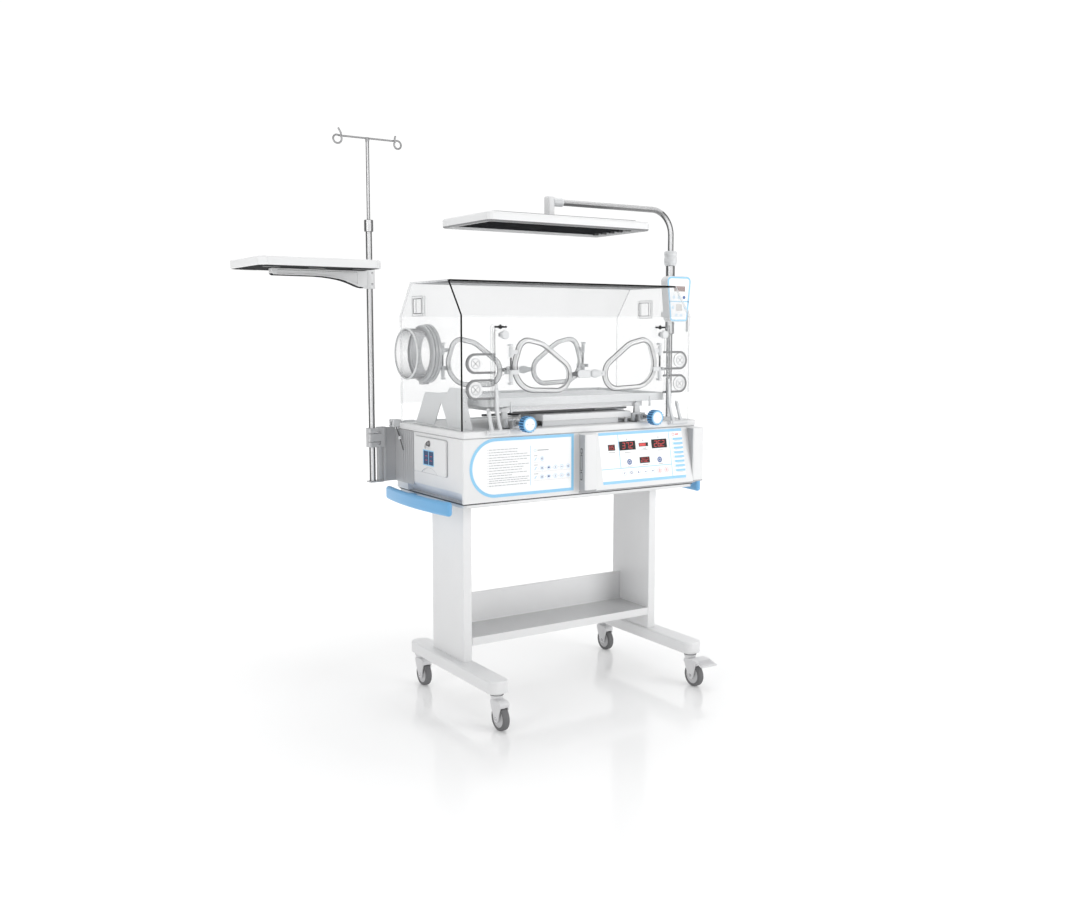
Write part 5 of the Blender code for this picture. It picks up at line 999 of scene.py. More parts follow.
LINES = ((0.8778, 0.110), (0.8692, 0.112), (0.8610, 0.152), (0.8524, 0.156), (0.8441, 0.141), (0.8362, 0.114), (0.8276, 0.156), (0.8193, 0.140), (0.8110, 0.122), (0.8021, 0.153), (0.7945, 0.092), (0.7858, 0.152), (0.7789, 0.152), (0.7720, 0.150), (0.7630, 0.148))
for k, (z, w) in enumerate(LINES):
    x = -0.3812
    while x < -0.3812 + w - 0.010:
        step = 0.006 + 0.007 * ((k * 7 + int(x * -1000) * 3) % 5) / 4.0
        print_on(bm, LAB, rect(x, x + step, z - 0.0009, z + 0.0009), H - 0.0001, HP)
        x += step + 0.0018
    if k not in (10, 12):
        print_on(bm, LAB, circle(-0.3852, z, 0.0010, 10), H - 0.0001, HP)
for z0, n in ((0.8500, 0.012), (0.8195, 0.014), (0.7905, 0.016)):
    print_on(bm, LAB, rect(-0.2120, -0.2120 + n, z0 - 0.0009, z0 + 0.0009), H - 0.0001, HP)
print_on(bm, LAB, rect(-0.1990, -0.1560, 0.8662, 0.8690), H - 0.0001, HP)
for z, xs in ROWS:
    for a, b in zip(xs, xs[1:]):
        m = (a + b) / 2
        print_on(bm, LAB, rect(m - 0.0016, m + 0.0016, z - 0.0004, z + 0.0004), H - 0.0001, HP)
    print_on(bm, LAB, rect(-0.2125, xs[-1] + 0.008, z - 0.0112, z - 0.0108), H - 0.0001, HP)
done(from_bm("fine_label_grey_print", bm, "film_g"), "stand", slot="grey_casing", weighted=False)

# ------------------------------------------------------------- water drawer
PAN_X0, PAN_X1 = -0.4824, -BODY_X - GAP
drw = slab("fine_drawer", [rrect(-0.1390, 0.0840, 0.7870, 0.9040, 0.0080, 40)], "YZ", PAN_X0, PAN_X1, "case", 0.0022, 3)
weld(drw, box("c", (PAN_X1 - 0.003, -0.1190, 0.8035), (-0.2800, 0.0640, 0.8870)))
cut(drw, box("c", (-BODY_X + 0.0035, -0.1160, 0.8065), (-0.2830, 0.0610, 0.90)))
AP = Plane((PAN_X0, 0, 0), (0, -1, 0), (0, 0, 1))
arch = [(-0.0265 + 0.0560 * math.cos(math.radians(a)), 0.7866 + 0.0195 * math.sin(math.radians(a)) ** 1.6) for a in range(0, 181, 6)]
cut(drw, slab("c", [[(-0.0825, 0.7800)] + arch[::-1] + [(0.0295, 0.7800)]], "YZ", PAN_X0 - 0.002, PAN_X0 + 0.0045))
cut(drw, box("c", (PAN_X0 - 0.002, -0.0600, 0.8120), (PAN_X0 + 0.0014, 0.0180, 0.8640), bev=0.0005, seg=1))
done(drw, "drawer", "humidifier_drawer", slot="white_casing")
# painted shadow line round the drawer panel on the end wall
bm = bmesh.new()
EP = Plane((-BODY_X, 0, 0), (0, -1, 0), (0, 0, 1))
o = resample(rrect(-0.0840 - 0.0020, 0.1390 + 0.0024, 0.7870 - 0.0022, 0.9040 + 0.0012, 0.0090, 32), 160)
i_ = resample(rrect(-0.0840 + 0.0020, 0.1390 - 0.0020, 0.7870 + 0.0020, 0.9040 - 0.0020, 0.0070, 32), 160)
ring_on(bm, EP, o, i_, -0.0002, 0.00025)
done(from_bm("fine_drawer_painted_shadow_seam", bm, "mgrey"), "stand", slot="grey_casing", weighted=False)
# painted shadow line along the top of the finger recess
done(wire("fine_drawer_scoop_painted_shadow", [(PAN_X0 + 0.0004, u, v) for u, v in arch], 0.0007, "mgrey", 6), "drawer", slot="grey_casing")
WIN = Plane((PAN_X0 + 0.0014, 0, 0), (0, -1, 0), (0, 0, 1))
bm = bmesh.new()
print_on(bm, WIN, rrect(-0.0170, 0.0590, 0.8130, 0.8630, 0.001, 8), -0.0003, 0.0004)
done(from_bm("fine_level_window", bm, "window"), "drawer", slot="blue_plastic", weighted=False)
bm = bmesh.new()
ring_on(bm, WIN, rect(-0.0176, 0.0596, 0.8124, 0.8636), rect(-0.0140, 0.0560, 0.8158, 0.8602), 0.0002, 0.0010)
print_on(bm, WIN, rect(0.0195, 0.0225, 0.8140, 0.8620), 0.0002, 0.0008)
done(from_bm("fine_level_frame", bm, "film_b"), "drawer", slot="blue_plastic", weighted=False)
bm = bmesh.new()
for z in (0.8300, 0.8440):
    for a in (-0.0030, 0.0300):
        print_on(bm, WIN, rect(a, a + 0.0150, z - 0.0006, z + 0.0006), 0.0003, 0.0007)
done(from_bm("fine_level_marks", bm, "film_r"), "drawer", slot="blue_plastic", weighted=False)
lock = lathe("fine_lock", [(0, 0.0095), (0.0060, 0.0095), (0.0073, 0.0085), (0.0075, 0.0060), (0.0075, 0.0030), (0.0098, 0.0024), (0.0100, 0.0003), (0, 0.0003)], (PAN_X0, -0.0270, 0.8860), (-1, 0, 0), "chrome", 48)
cut(lock, box("c", (PAN_X0 - 0.0120, -0.0276, 0.8815), (PAN_X0 - 0.0070, -0.0264, 0.8905)))
done(lock, "lock", "drawer_lock", slot="steel")
key = slab("fine_lock_key", [hull([(-0.0270, 0.8760, 0.0060), (-0.0270, 0.8860, 0.0020)], 32)], "YZ", PAN_X0 - 0.0146, PAN_X0 - 0.0128, "mgrey", 0.0004, 2)
weld(key, bar("c", (PAN_X0 - 0.0135, -0.0270, 0.8860), (PAN_X0 - 0.0080, -0.0270, 0.8860), 0.0019, "chrome", 20))
done(key, "lock", slot="steel")
bm = bmesh.new()
PL = Plane((PAN_X0, 0, 0), (0, -1, 0), (0, 0, 1))
print_on(bm, PL, rrect(-0.0010, 0.0550, 0.8735, 0.8995, 0.0035, 24), -0.0001, 0.0004)
done(from_bm("fine_lock_plate", bm, "case2"), "drawer", slot="white_casing", weighted=False)

# ------------------------------------------------------------ push handles
def handle_outline(sx, d):
    """Plan outline of the bowed grip bar, drawn in by d all round."""
    n, outer, inner = 44, [], []
    for k in range(n + 1):
        t = -1 + 2 * k / n
        nx, ny = 1.0, 0.165 * t
        ln = math.hypot(nx, ny)
        y, x = 0.0040 + 0.2180 * t, 0.5400 - 0.0180 * t * t
        outer.append((x - d * nx / ln, y - d * ny / ln))
        inner.append((x - (0.0215 - d) * nx / ln, y - (0.0215 - d) * ny / ln))

    def cap(p, q):
        c, r = ((p[0] + q[0]) / 2, (p[1] + q[1]) / 2), math.dist(p, q) / 2
        a0 = math.atan2(p[1] - c[1], p[0] - c[0])
        return [(c[0] + r * math.cos(a0 + math.pi * k / 14), c[1] + r * math.sin(a0 + math.pi * k / 14)) for k in range(1, 14)]
    pts = outer + cap(outer[-1], inner[-1]) + inner[::-1] + cap(inner[0], outer[0])
    return [(sx * u, v) for u, v in pts]


for name, sx in (("handle_left", -1), ("handle_right", 1)):
    bm = bmesh.new()
    R_ = 0.0104
    levels = [(R_ * (1 - math.sin(math.radians(a))), 0.6740 + R_ * (1 - math.cos(math.radians(a)))) for a in range(0, 91, 10)]
    levels += [(d, 1.3940 - z) for d, z in levels[::-1]]
    rings = [[bm.verts.new(V(u, v, z)) for u, v in handle_outline(sx, d)] for d, z in levels]
    m_ = len(rings[0])
    for lo_r, hi_r in zip(rings, rings[1:]):
        for k in range(m_):
            q = (k + 1) % m_
            bm.faces.new((lo_r[k], lo_r[q], hi_r[q], hi_r[k]))
    bm.faces.new(rings[0][::-1])
    bm.faces.new(rings[-1])
    ob = from_bm("fine_" + name, bm, "blue")
    for y in (-0.1080, 0.1080):
        weld(ob, slab("c", [[(sx * 0.4686, 0.7040), (sx * 0.4686, 0.6965), (sx * 0.5300, 0.6860), (sx * 0.5300, 0.7060), (sx * 0.5000, 0.7085)]], "XZ", y - 0.0140, y + 0.0140, "blue", 0.0020, 3))
    done(ob, "stand", name, slot="blue_plastic", smooth=40)

# --------------------------------------------- fan, motor, heater: CAD nodes
# the tilt frame takes the pale cream casing as painted light, standing for the bright room seen through the gap under
# the tray
for node, m in (("fan_motor", "dark"), ("fan_impeller", "lgrey"), ("heater_element", "steel_x"), ("tilt_frame", "case2")):
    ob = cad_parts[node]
    for s in ob.material_slots:
        s.material = M[m]

# ---------------------------------------------------------- air baffle, left
baf = slab("fine_air_baffle", [[(-0.2000, DECK_Z1 + GAP), (-0.0400, DECK_Z1 + GAP), (0.0100, 1.0170), (0.0620, DECK_Z1 + GAP), (0.1960, DECK_Z1 + GAP),
                                (0.1260, 1.0460), (-0.0300, 1.0480), (-0.0500, 1.0690), (-0.1650, 1.0690), (-0.1650, 1.0180)]], "YZ", -0.4180, -0.4145, "tray", 0.0006, 2)
weld(baf, box("c", (-0.4160, -0.1700, DECK_Z1 + GAP), (-0.4020, -0.0700, DECK_Z1 + GAP + 0.003)))
weld(baf, box("c", (-0.4160, 0.0900, DECK_Z1 + GAP), (-0.4020, 0.1700, DECK_Z1 + GAP + 0.003)))
weld(baf, box("c", (-0.4160, -0.1250, 1.0430), (-0.3960, 0.1240, 1.0455)))
done(baf, "stand", "air_baffle", slot="white_casing")
for k, (y, z) in enumerate(((-0.156, 1.0600), (-0.156, 1.0260), (-0.156, 0.9640))):
    screw_head("fine_baffle_screw_%d" % k, (-0.4180, y, z), (-1, 0, 0), 0.0022, "stand", h=0.0012)


# ==================================================================== hood
def hood_outline(t, r=0.006, n=5):
    """Section of the hood inset by t, with rounded bends."""
    slope = math.atan2(HOOD_TOP - HOOD_WALL_Z, HOOD_IN)
    k = t * math.tan(0.5 * (math.pi / 2 - slope))
    m = t * math.tan(0.5 * slope)
    A, B, C, D = (HOOD_Y - t, HOOD_Z0), (HOOD_Y - t, HOOD_WALL_Z - k), (HOOD_Y - HOOD_IN - m, HOOD_TOP - t), (0.0, HOOD_TOP - t)
    rad = max(r - t, 0.0012)
    pts = [A]
    for P, Q, R in ((A, B, C), (B, C, D)):
        a, b, c = Vector(P), Vector(Q), Vector(R)
        u, w = (a - b).normalized(), (c - b).normalized()
        half = 0.5 * math.acos(max(-1, min(1, u.dot(w))))
        d = rad / math.tan(half)
        cen = b + (u + w).normalized() * (rad / math.sin(half))
        s, e = b + u * d, b + w * d
        a0, a1 = math.atan2(s.y - cen.y, s.x - cen.x), math.atan2(e.y - cen.y, e.x - cen.x)
        if a1 < a0 - math.pi:
            a1 += 2 * math.pi
        for i in range(n + 1):
            t_ = a0 + (a1 - a0) * i / n
            pts.append((cen.x + rad * math.cos(t_), cen.y + rad * math.sin(t_)))
    return pts, [(-u, v) for u, v in pts[::-1]]


def port_circles(side, grow=0.0):
    return [(PORT_MID - side * u, v, r + grow) for u, v, r in PORT_CIRCLES]


def port_hinge_x(side):
    return PORT_MID - side * PHINGE_DX


XC = HOOD_X - END_T - GAP
ro, lo_ = hood_outline(0.0)
ri, li_ = hood_outline(HOOD_T)
can = slab("fine_hood_canopy", [ro + lo_ + [(-u, v) for u, v in ri] + [(-u, v) for u, v in li_]], "YZ", -XC, XC, ["acr", "edge_k", "edge_g", "acr_top", "acr_slope", "roof"])
cut(can, slab("c", [hull([(OPEN_X0, HOOD_Z0 - 0.02, 0), (OPEN_X1, HOOD_Z0 - 0.02, 0), (OPEN_X1 - 0.012, OPEN_Z1 - 0.012, 0.012), (OPEN_X0 + 0.012, OPEN_Z1 - 0.012, 0.012)], 40)], "XZ", -HOOD_Y - 0.01, -HOOD_Y + 0.01))
SLOT_R = GROM_R - 0.0045
for sx, gx, ox in ((-1, GROM_X[0], OPEN_X0), (1, GROM_X[1], OPEN_X1)):
    for gz in GROM_Z:
        cut(can, slab("c", [hull([(gx, gz, SLOT_R), (ox - sx * 0.02, gz - SLOT_R, 0), (ox - sx * 0.02, gz + SLOT_R, 0)], 48)], "XZ", -HOOD_Y - 0.01, -HOOD_Y + 0.01))
for side in (-1, 1):
    cut(can, slab("c", [hull(port_circles(side, -PORT_BAND), 56)], "XZ", HOOD_Y - 0.01, HOOD_Y + 0.01))


# the left end's front edges are painted near black as painted shade; the slope and roof faces take the painted-shade
# clear copies
def canopy_rule(c, nrm):
    ax = abs(nrm.x)
    if ax > 0.9 and abs(abs(c.x) - XC) < 0.002:
        return 1 if (c.x < 0 and (c.y < -0.128)) else 2
    if abs(c.y) > HOOD_Y - HOOD_T - 0.0005 and (ax > 0.3 or abs(nrm.z) > 0.5) and c.z < HOOD_WALL_Z - 0.01:
        return 2
    if nrm.z < -0.95 and c.z > HOOD_TOP - 0.02:
        return 5
    if nrm.z > 0.95:
        return 3
    if c.z > HOOD_WALL_Z and c.z < HOOD_TOP:
        return 4
    return 0


paint_faces(can, canopy_rule)
done(can, "hood", "hood_canopy", slot="clear_acrylic")
# moulded ears of the back port hinges
for side in (-1, 1):
    hx = port_hinge_x(side)
    for z in (PHINGE_Z0 - 0.0085, PHINGE_Z1 + 0.0010):
        ear = box("fine_back_ear_%d_%d" % (side, int(z * 1000)), (hx - 0.0055, HOOD_Y - 0.0005, z), (hx + 0.0055, HOOD_Y + 0.0185, z + 0.0075), "lgrey", 0.0015, 3)
        done(ear, "hood", slot="light_grey")
for name, sx in (("hood_end_left", -1), ("hood_end_right", 1)):
    loops = [ro + lo_]
    if sx < 0:
        loops.append(circle(0.0, IRIS_Z, IRIS_BORE + 0.0015, 96)[::-1])
    a, b = sorted((sx * (HOOD_X - END_T), sx * HOOD_X))
    e = slab("fine_" + name, loops, "YZ", a, b, ["acr", "edge_k", "edge_g", "acr_top"])

    # the left end's front edges are painted near black as painted shade
    def end_rule(c, nrm, s=sx):
        if abs(nrm.x) > 0.5:
            return 0
        if s < 0 and c.y < -0.125 and c.z > HOOD_Z0 + 0.001:
            return 1
        if nrm.z > 0.95 and s < 0:
            return 2
        return 2
    paint_faces(e, end_rule)
    done(e, "hood", name, slot="clear_acrylic", weighted=False)

# painted dark reflection line where the roof meets the front slope
def ridge(name, y, z, r, mat, x0=-XC, x1=XC):
    done(bar(name, (x0, y, z), (x1, y, z), r, mat, 12), "hood", slot="clear_acrylic")


ridge("fine_ridge_front_painted_shade", -(HOOD_Y - HOOD_IN) + 0.0002, HOOD_TOP - 0.0024, 0.0032, "edge_k")

# square probe bosses on both ends
for sx in (-1, 1):
    x_in, x_out = sx * HOOD_X, sx * (HOOD_X + 0.0120)
    a, b = sorted((x_in + sx * 0.0002, x_out))
    fr = slab("fine_boss_%d" % sx, [rrect(0.0180, 0.0950, 1.3000, 1.3660, 0.0030, 16), rrect(0.0270, 0.0860, 1.3090, 1.3570, 0.0015, 16)[::-1]], "YZ", a, b, ["bosclr"], 0.0008, 2)
    done(fr, "hood", slot="clear_acrylic")
    # painted dark edge lines on the clear bosses
    for nm, o in (("o", rrect(0.0184, 0.0946, 1.3004, 1.3656, 0.003, 12)), ("i", rrect(0.0270, 0.0860, 1.3090, 1.3570, 0.002, 12))):
        for q, xx in enumerate((a + 0.0004, b - 0.0004)):
            if nm == "o" and q == (1 if sx < 0 else 0):
                continue
            done(wire("fine_boss_rim_%d_%s%d" % (sx, nm, q), [(xx, u, v) for u, v in o], 0.0009, "edge_k" if nm == "i" and q == 0 else "mgrey", 8, closed=True), "hood", slot="clear_acrylic")

# hinge rod, stop rings, clamps
hr = bar("fine_hinge_rod", (-0.4860, HINGE_Y, HINGE_Z), (0.4860, HINGE_Y, HINGE_Z), HINGE_R, "lgrey", 40, 0.0012)
done(hr, "hood", "hood_hinge_rod", slot="steel")
for k, x in enumerate((-0.3400, 0.0, 0.3400)):
    cl = slab("fine_clamp_%d" % k, [hull([(HINGE_Y, HINGE_Z, 0.0100), (HOOD_Y + 0.0004, 0.9380, 0), (HOOD_Y + 0.0004, 0.9680, 0), (HOOD_Y + 0.0040, 0.9680, 0)], 32)], "YZ", x - 0.0150, x + 0.0150, "lgrey", 0.0010, 2)
    done(cl, "hood", slot="steel")
for sx in (-1, 1):
    prof = [(HINGE_R, 0.0), (0.0100, 0.0), (0.0108, 0.0012), (0.0108, 0.0368), (0.0100, 0.0380), (HINGE_R, 0.0380)]
    done(lathe("fine_stop_ring_%d" % sx, prof, (sx * 0.4100, HINGE_Y, HINGE_Z), (sx, 0, 0), "lgrey", 48), "hood", slot="steel")
for name, sx in (("hinge_block_left", -1), ("hinge_block_right", 1)):
    a, b = sorted((sx * 0.4672, sx * 0.4980))
    blk = box("fine_" + name, (a, 0.2105, 0.9228), (b, 0.2440, 0.9495), "lgrey", 0.0028, 3)
    cut(blk, bar("c", (a - 0.01, HINGE_Y, HINGE_Z), (b + 0.01, HINGE_Y, HINGE_Z), HINGE_R + 0.0005, seg=40))
    done(blk, "stand", name, slot="light_grey")
    xo = sx * 0.4980
    for j, (y, z) in enumerate(((0.2165, 0.9440), (0.2385, 0.9440), (0.2385, 0.9280))):
        screw_head("fine_%s_screw_%d" % (name, j), (xo, y, z), (sx, 0, 0), 0.0026, "stand", h=0.0012)
    # cap over the rod's end
    done(lathe("fine_rod_cap_" + name, [(0, 0.0060), (0.0080, 0.0060), (0.0094, 0.0046), (0.0096, 0.0), (0, 0.0)], (sx * 0.4862, HINGE_Y, HINGE_Z), (sx, 0, 0), "mgrey", 40), "hood", slot="grey_casing")
# the hood's stay: a jointed dark rod below the left hinge block
done(bar("fine_stay_rod", (-0.4860, 0.1830, 0.8890), (-0.4860, 0.2120, 0.9230), 0.0024, "dark", 16, 0.0008), "stand", slot="dark_grey")
done(lathe("fine_stay_ball", [(0, 0.0070), (0.0040, 0.0058), (0.0064, 0.0026), (0.0066, 0.0), (0.0064, -0.0026), (0.0040, -0.0058), (0, -0.0070)], (-0.4862, 0.1820, 0.8880), (0, 0, 1), "lgrey", 28), "stand", slot="light_grey")
done(bar("fine_stay_arm", (-0.4868, 0.1800, 0.8860), (-0.4868, 0.1560, 0.8480), 0.0020, "dark", 16, 0.0008), "stand", slot="dark_grey")


# -------------------------------------------------------- hand-port doors
def soft_ring(name, loop_c, y0, y1, body, nodes, mats):
    """Ring of rounded-triangle plan with a full rounded section: rings of the
    outline are lofted round a rounded-rectangle section."""
    base = port_section
    bm = bmesh.new()
    N = 120
    loops = []
    for g, f in base:
        pts = resample(hull([(u, v, r + g) for u, v, r in loop_c], 72), N)
        y = y0 + (y1 - y0) * f
        loops.append([bm.verts.new(V(u, y, v)) for u, v in pts])
    n = len(loops)
    for i in range(n):
        a, b = loops[i], loops[(i + 1) % n]
        for k in range(N):
            j = (k + 1) % N
            bm.faces.new((a[k], a[j], b[j], b[k]))
    ob = from_bm(name, bm, mats)
    return done(ob, body, *nodes, slot="smoke_acrylic", smooth=60)


B_ = PORT_BAND
port_section = [(0.0, 0.10), (0.0, 0.55), (-0.0010, 0.78), (-0.0034, 0.95), (-0.0060, 1.0), (-0.0088, 0.99), (-0.0118, 0.84), (-B_ + 0.0002, 0.60), (-B_ - 0.0008, 0.30), (-B_ - 0.0010, 0.10), (-B_, 0.03), (-0.0110, 0.0), (-0.0015, 0.0)]


def port_door(tag, side, front):
    hx = port_hinge_x(side)
    s = -1 if front else 1
    wall = DOOR_Y0 if front else HOOD_Y
    y_in = wall + s * GAP
    y_out = y_in + s * PORT_DEPTH
    hy = wall + s * 0.0120
    body = "port_" + tag
    soft_ring("fine_port_ring_" + tag, port_circles(side), y_in, y_out, body, ["port_door_" + tag], ["ringclr"])
    a, b = sorted((y_in + s * 0.0022, y_in + s * 0.0052))
    pane = slab("fine_port_pane_" + tag, [hull(port_circles(side, -PORT_BAND + 0.0010), 60)], "XZ", a, b, ["acr", "edge_g"])
    done(pane, body, slot="clear_acrylic", weighted=False)
    # thin painted shade lines on both rims of the clear ring
    for g, dy, r in ((0.0004, 0.0024, 0.0015), (-B_ - 0.0006, 0.0095, 0.0013), (-0.0040, PORT_DEPTH - 0.0002, 0.0006)):
        loop = resample(hull(port_circles(side, g), 72), 110)
        yy = y_in + s * dy
        done(wire("fine_port_line_%s_%d" % (tag, int(-g * 1e4)), [(u, yy, v) for u, v in loop], r, "dark" if r > 0.0006 else "mgrey", 6, closed=True), body, slot="grey_casing")
    d = 1 if hx < PORT_MID else -1
    for z0, z1 in ((PHINGE_Z0, PHINGE_Z0 + 0.0330), (PHINGE_Z1 - 0.0350, PHINGE_Z1)):
        prof = [(0, z1 - z0), (0.0040, z1 - z0), (0.0062, z1 - z0 - 0.0018), (0.0070, z1 - z0 - 0.0050), (0.0070, 0.0050), (0.0062, 0.0018), (0.0040, 0.0), (0, 0.0)]
        done(lathe("fine_barrel_%s_%d" % (tag, int(z0 * 1000)), prof, (hx, hy, z0), (0, 0, 1), "lgrey", 40), body, slot="smoke_acrylic")
    za, zb = PHINGE_Z0 + 0.0330, PHINGE_Z1 - 0.0350
    done(bar("fine_hinge_pin_" + tag, (hx, hy, za - 0.001), (hx, hy, zb + 0.001), 0.0019, "dark", 20), body, slot="steel")
    turns = 11
    coil = []
    for k in range(turns * 14 + 1):
        t = k / 14.0
        coil.append((hx + 0.0031 * math.cos(2 * math.pi * t), hy + 0.0031 * math.sin(2 * math.pi * t), za + 0.0010 + (zb - za - 0.0020) * t / turns))
    done(wire("fine_hinge_spring_" + tag, coil, 0.0009, "dark", 6), body, slot="steel")
    # hinge arm: dark lug under the spring with a grey strap to the ring
    a, b = sorted((hx - d * 0.0040, hx + d * 0.0290))
    arm = box("fine_hinge_arm_" + tag, (a, hy - 0.0035, 1.1140), (b, hy + 0.0035, 1.1290), "lgrey", 0.0018, 3)
    done(arm, body, slot="light_grey")
    a, b = sorted((hx - d * 0.0180, hx - d * 0.0076))
    c, e = sorted((wall + s * 0.0001, hy + s * 0.0046))
    lug = box("fine_hinge_lug_" + tag, (a, c, 1.1160), (b, e, 1.1275), "mgrey", 0.0022, 3)
    done(lug, "front_door" if front else "hood", slot="light_grey")
    a, b = sorted((hx + d * 0.004, hx + d * 0.0270))
    done(box("fine_hinge_strap_" + tag, (a, hy - 0.0022, PHINGE_Z1 - 0.0250), (b, hy + 0.0022, PHINGE_Z1 - 0.0110), "lgrey", 0.0014, 3), body, slot="light_grey")
    # latch
    tip = PORT_MID + side * 0.0649
    ly = y_in + s * 0.0075
    if side < 0:
        a, b = tip - 0.0050, -0.0330
        done(slab("fine_latch_neck_" + tag, [hull([(a, 1.1110, 0.0045), (b, 1.1110, 0.0085)], 32)], "XZ", *sorted((y_in + s * 0.0030, y_in + s * 0.0110)), "dark", 0.0010, 2), body, slot="light_grey")
        lev = slab("fine_latch_lever_" + tag, [hull([(-0.0240, 1.1110, 0.0135), (0.0110, 1.1110 - 0.0095, 0.0035), (0.0110, 1.1110 + 0.0095, 0.0035)], 40)], "XZ", *sorted((y_in + s * 0.0010, y_in + s * 0.0148)), "lgrey", 0.0025, 3)
        done(lev, body, slot="light_grey")
        done(lathe("fine_latch_pin_" + tag, [(0, 0.0012), (0.0020, 0.0012), (0.0028, 0.0006), (0.0028, -0.001), (0, -0.001)], (-0.0250, y_in + s * 0.0148, 1.1110), (0, s, 0), "tray", 24), body, slot="light_grey")
        done(wire("fine_latch_wire_" + tag, [(tip - 0.004, ly, 1.0880), (-0.0430, ly, 1.0960), (-0.0330, ly, 1.1010)], 0.0012, "lgrey", 8), body, slot="steel")
    else:
        n = 44
        rim = []
        kn = lathe("fine_latch_knob_" + tag, [(0, 0.0330), (0.0085, 0.0330), (0.0120, 0.0300), (0.0138, 0.0240), (0.0140, 0.0190), (0.0148, 0.0175), (0.0148, 0.0150), (0.0140, 0.0135), (0.0136, 0.0070), (0.0110, 0.0015), (0.0080, 0.0), (0, 0.0)],
                   (0.0540, y_in + s * 0.0150 - s * 0.0078, 1.1110), (-1, 0, 0), "lgrey", n)
        me = kn.data
        for k, v in enumerate(me.vertices):
            c = Vector(v.co) - V(0.0540, y_in + s * 0.0072, 1.1110)
            rr = math.hypot(c.y, c.z)
            if rr > 0.0100:
                f = 0.965 if (int(round(math.atan2(c.z, c.y) / (2 * math.pi / n))) % 2) else 1.0
                v.co = V(0.0540, y_in + s * 0.0072, 1.1110) + Vector((c.x, c.y * f * 0.52, c.z * f))
            else:
                v.co = V(0.0540, y_in + s * 0.0072, 1.1110) + Vector((c.x, c.y * 0.52, c.z))
        done(kn, body, slot="light_grey")
        done(slab("fine_latch_tab_" + tag, [hull([(0.0560, 1.1110, 0.0095), (tip + 0.0040, 1.1110, 0.0060)], 32)], "XZ", *sorted((y_in + s * 0.0040, y_in + s * 0.0120)), "lgrey", 0.0015, 3), body, slot="light_grey")
        done(lathe("fine_latch_pin_" + tag, [(0, 0.0010), (0.0020, 0.0010), (0.0026, 0.0005), (0.0026, -0.001), (0, -0.001)], (0.0620, y_in + s * 0.0120, 1.1110), (0, s, 0), "mgrey", 24), body, slot="light_grey")


port_door("fl", -1, True)
port_door("fr", 1, True)
port_door("bl", -1, False)
port_door("br", 1, False)

# -------------------------------------------------------------- front door
loops = [rrect(DOOR_X0, DOOR_X1, DOOR_Z0, DOOR_Z1, 0.010, 32)]
for side in (-1, 1):
    loops.append(hull(port_circles(side, -PORT_BAND), 56)[::-1])
fd = slab("fine_front_door", loops, "XZ", DOOR_Y0, DOOR_Y1, ["acr", "edge_k", "edge_g"])


def door_rule(c, nrm):
    if abs(nrm.y) > 0.5:
        return 0
    if abs(nrm.x) > 0.6 and (c.x < DOOR_X0 + 0.012 or c.x > DOOR_X1 - 0.012):
        return 2
    return 2


paint_faces(fd, door_rule)
done(fd, "front_door", "front_door", slot="clear_acrylic", weighted=False)
for side in (-1, 1):
    hx = port_hinge_x(side)
    for z in (PHINGE_Z0 - 0.0085, PHINGE_Z1 + 0.0010):
        done(box("fine_ear_%d_%d" % (side, int(z * 1000)), (hx - 0.0055, DOOR_Y0 - 0.0185, z), (hx + 0.0055, DOOR_Y0 + 0.0004, z + 0.0075), "lgrey", 0.0015, 3), "front_door", slot="light_grey")
# side rails: a clear bead down both upright edges between two seal lines
for k, (x, w) in enumerate(((DOOR_X0 + 0.0085, 0.0050), (DOOR_X1 - 0.0085, 0.0060))):
    rail = box("fine_door_bead_%d" % k, (x - w, DOOR_Y0 - 0.0022, DOOR_Z0 + 0.012), (x + w, DOOR_Y0 - 0.0002, DOOR_Z1 - 0.010), "bosclr", 0.0008, 2)
    done(rail, "front_door", slot="clear_acrylic")
    for q, xx in enumerate((x - w + 0.0006, x + w - 0.0010)):
        done(box("fine_door_seal_%d_%d" % (k, q), (xx - (0.0005 if q == 0 else 0.0009), DOOR_Y0 - 0.0028, DOOR_Z0 + 0.014), (xx + (0.0005 if q == 0 else 0.0009), DOOR_Y0 - 0.0018, DOOR_Z1 - 0.014), "mgrey" if q == 0 else "dark", 0.0002, 1), "front_door", slot="dark_grey")

for name, (x0, x1), xa, xb in (("door_hinge_left", DH[0], -0.3745, -0.3440), ("door_hinge_right", DH[1], 0.3960, 0.3600)):
    ob = bar("fine_" + name, (x0, DHINGE_Y, DHINGE_Z), (x1, DHINGE_Y, DHINGE_Z), DHINGE_R, "lgrey", 40, 0.0012)
    for x, top in ((xb, 1.0860), (xa, 1.0090)):
        weld(ob, slab("c", [[(-0.2570, 0.9340), (-0.2440, 0.9340), (-0.2405, 0.9520), (-0.2330, 0.9740), (-0.2262, 0.9880), (-0.2229, 0.9980), (-0.2229, top - 0.003), (-0.2240, top), (-0.2268, top - 0.001), (-0.2300, top - 0.016),
                             (-0.2345, 1.0000), (-0.2420, 0.9700), (-0.2540, 0.9440)]], "YZ", x - 0.0050, x + 0.0050, "lgrey", 0.0010, 2))
    cut(ob, bar("c", (x0 - 0.01, DHINGE_Y, DHINGE_Z), (x1 + 0.01, DHINGE_Y, DHINGE_Z), 0.0034, seg=24))
    done(ob, "front_door", name, slot="light_grey")
    for j, (x, z) in enumerate(((xb, 1.0700), (xb, 1.0250), (xa, 1.0020))):
        screw_head("fine_%s_screw_%d" % (name, j), (x, -0.2300 - (0.0040 if z < 1.01 else 0.0016 if z < 1.05 else 0.0), z), (0, -1, 0), 0.0024, "front_door", h=0.0012)

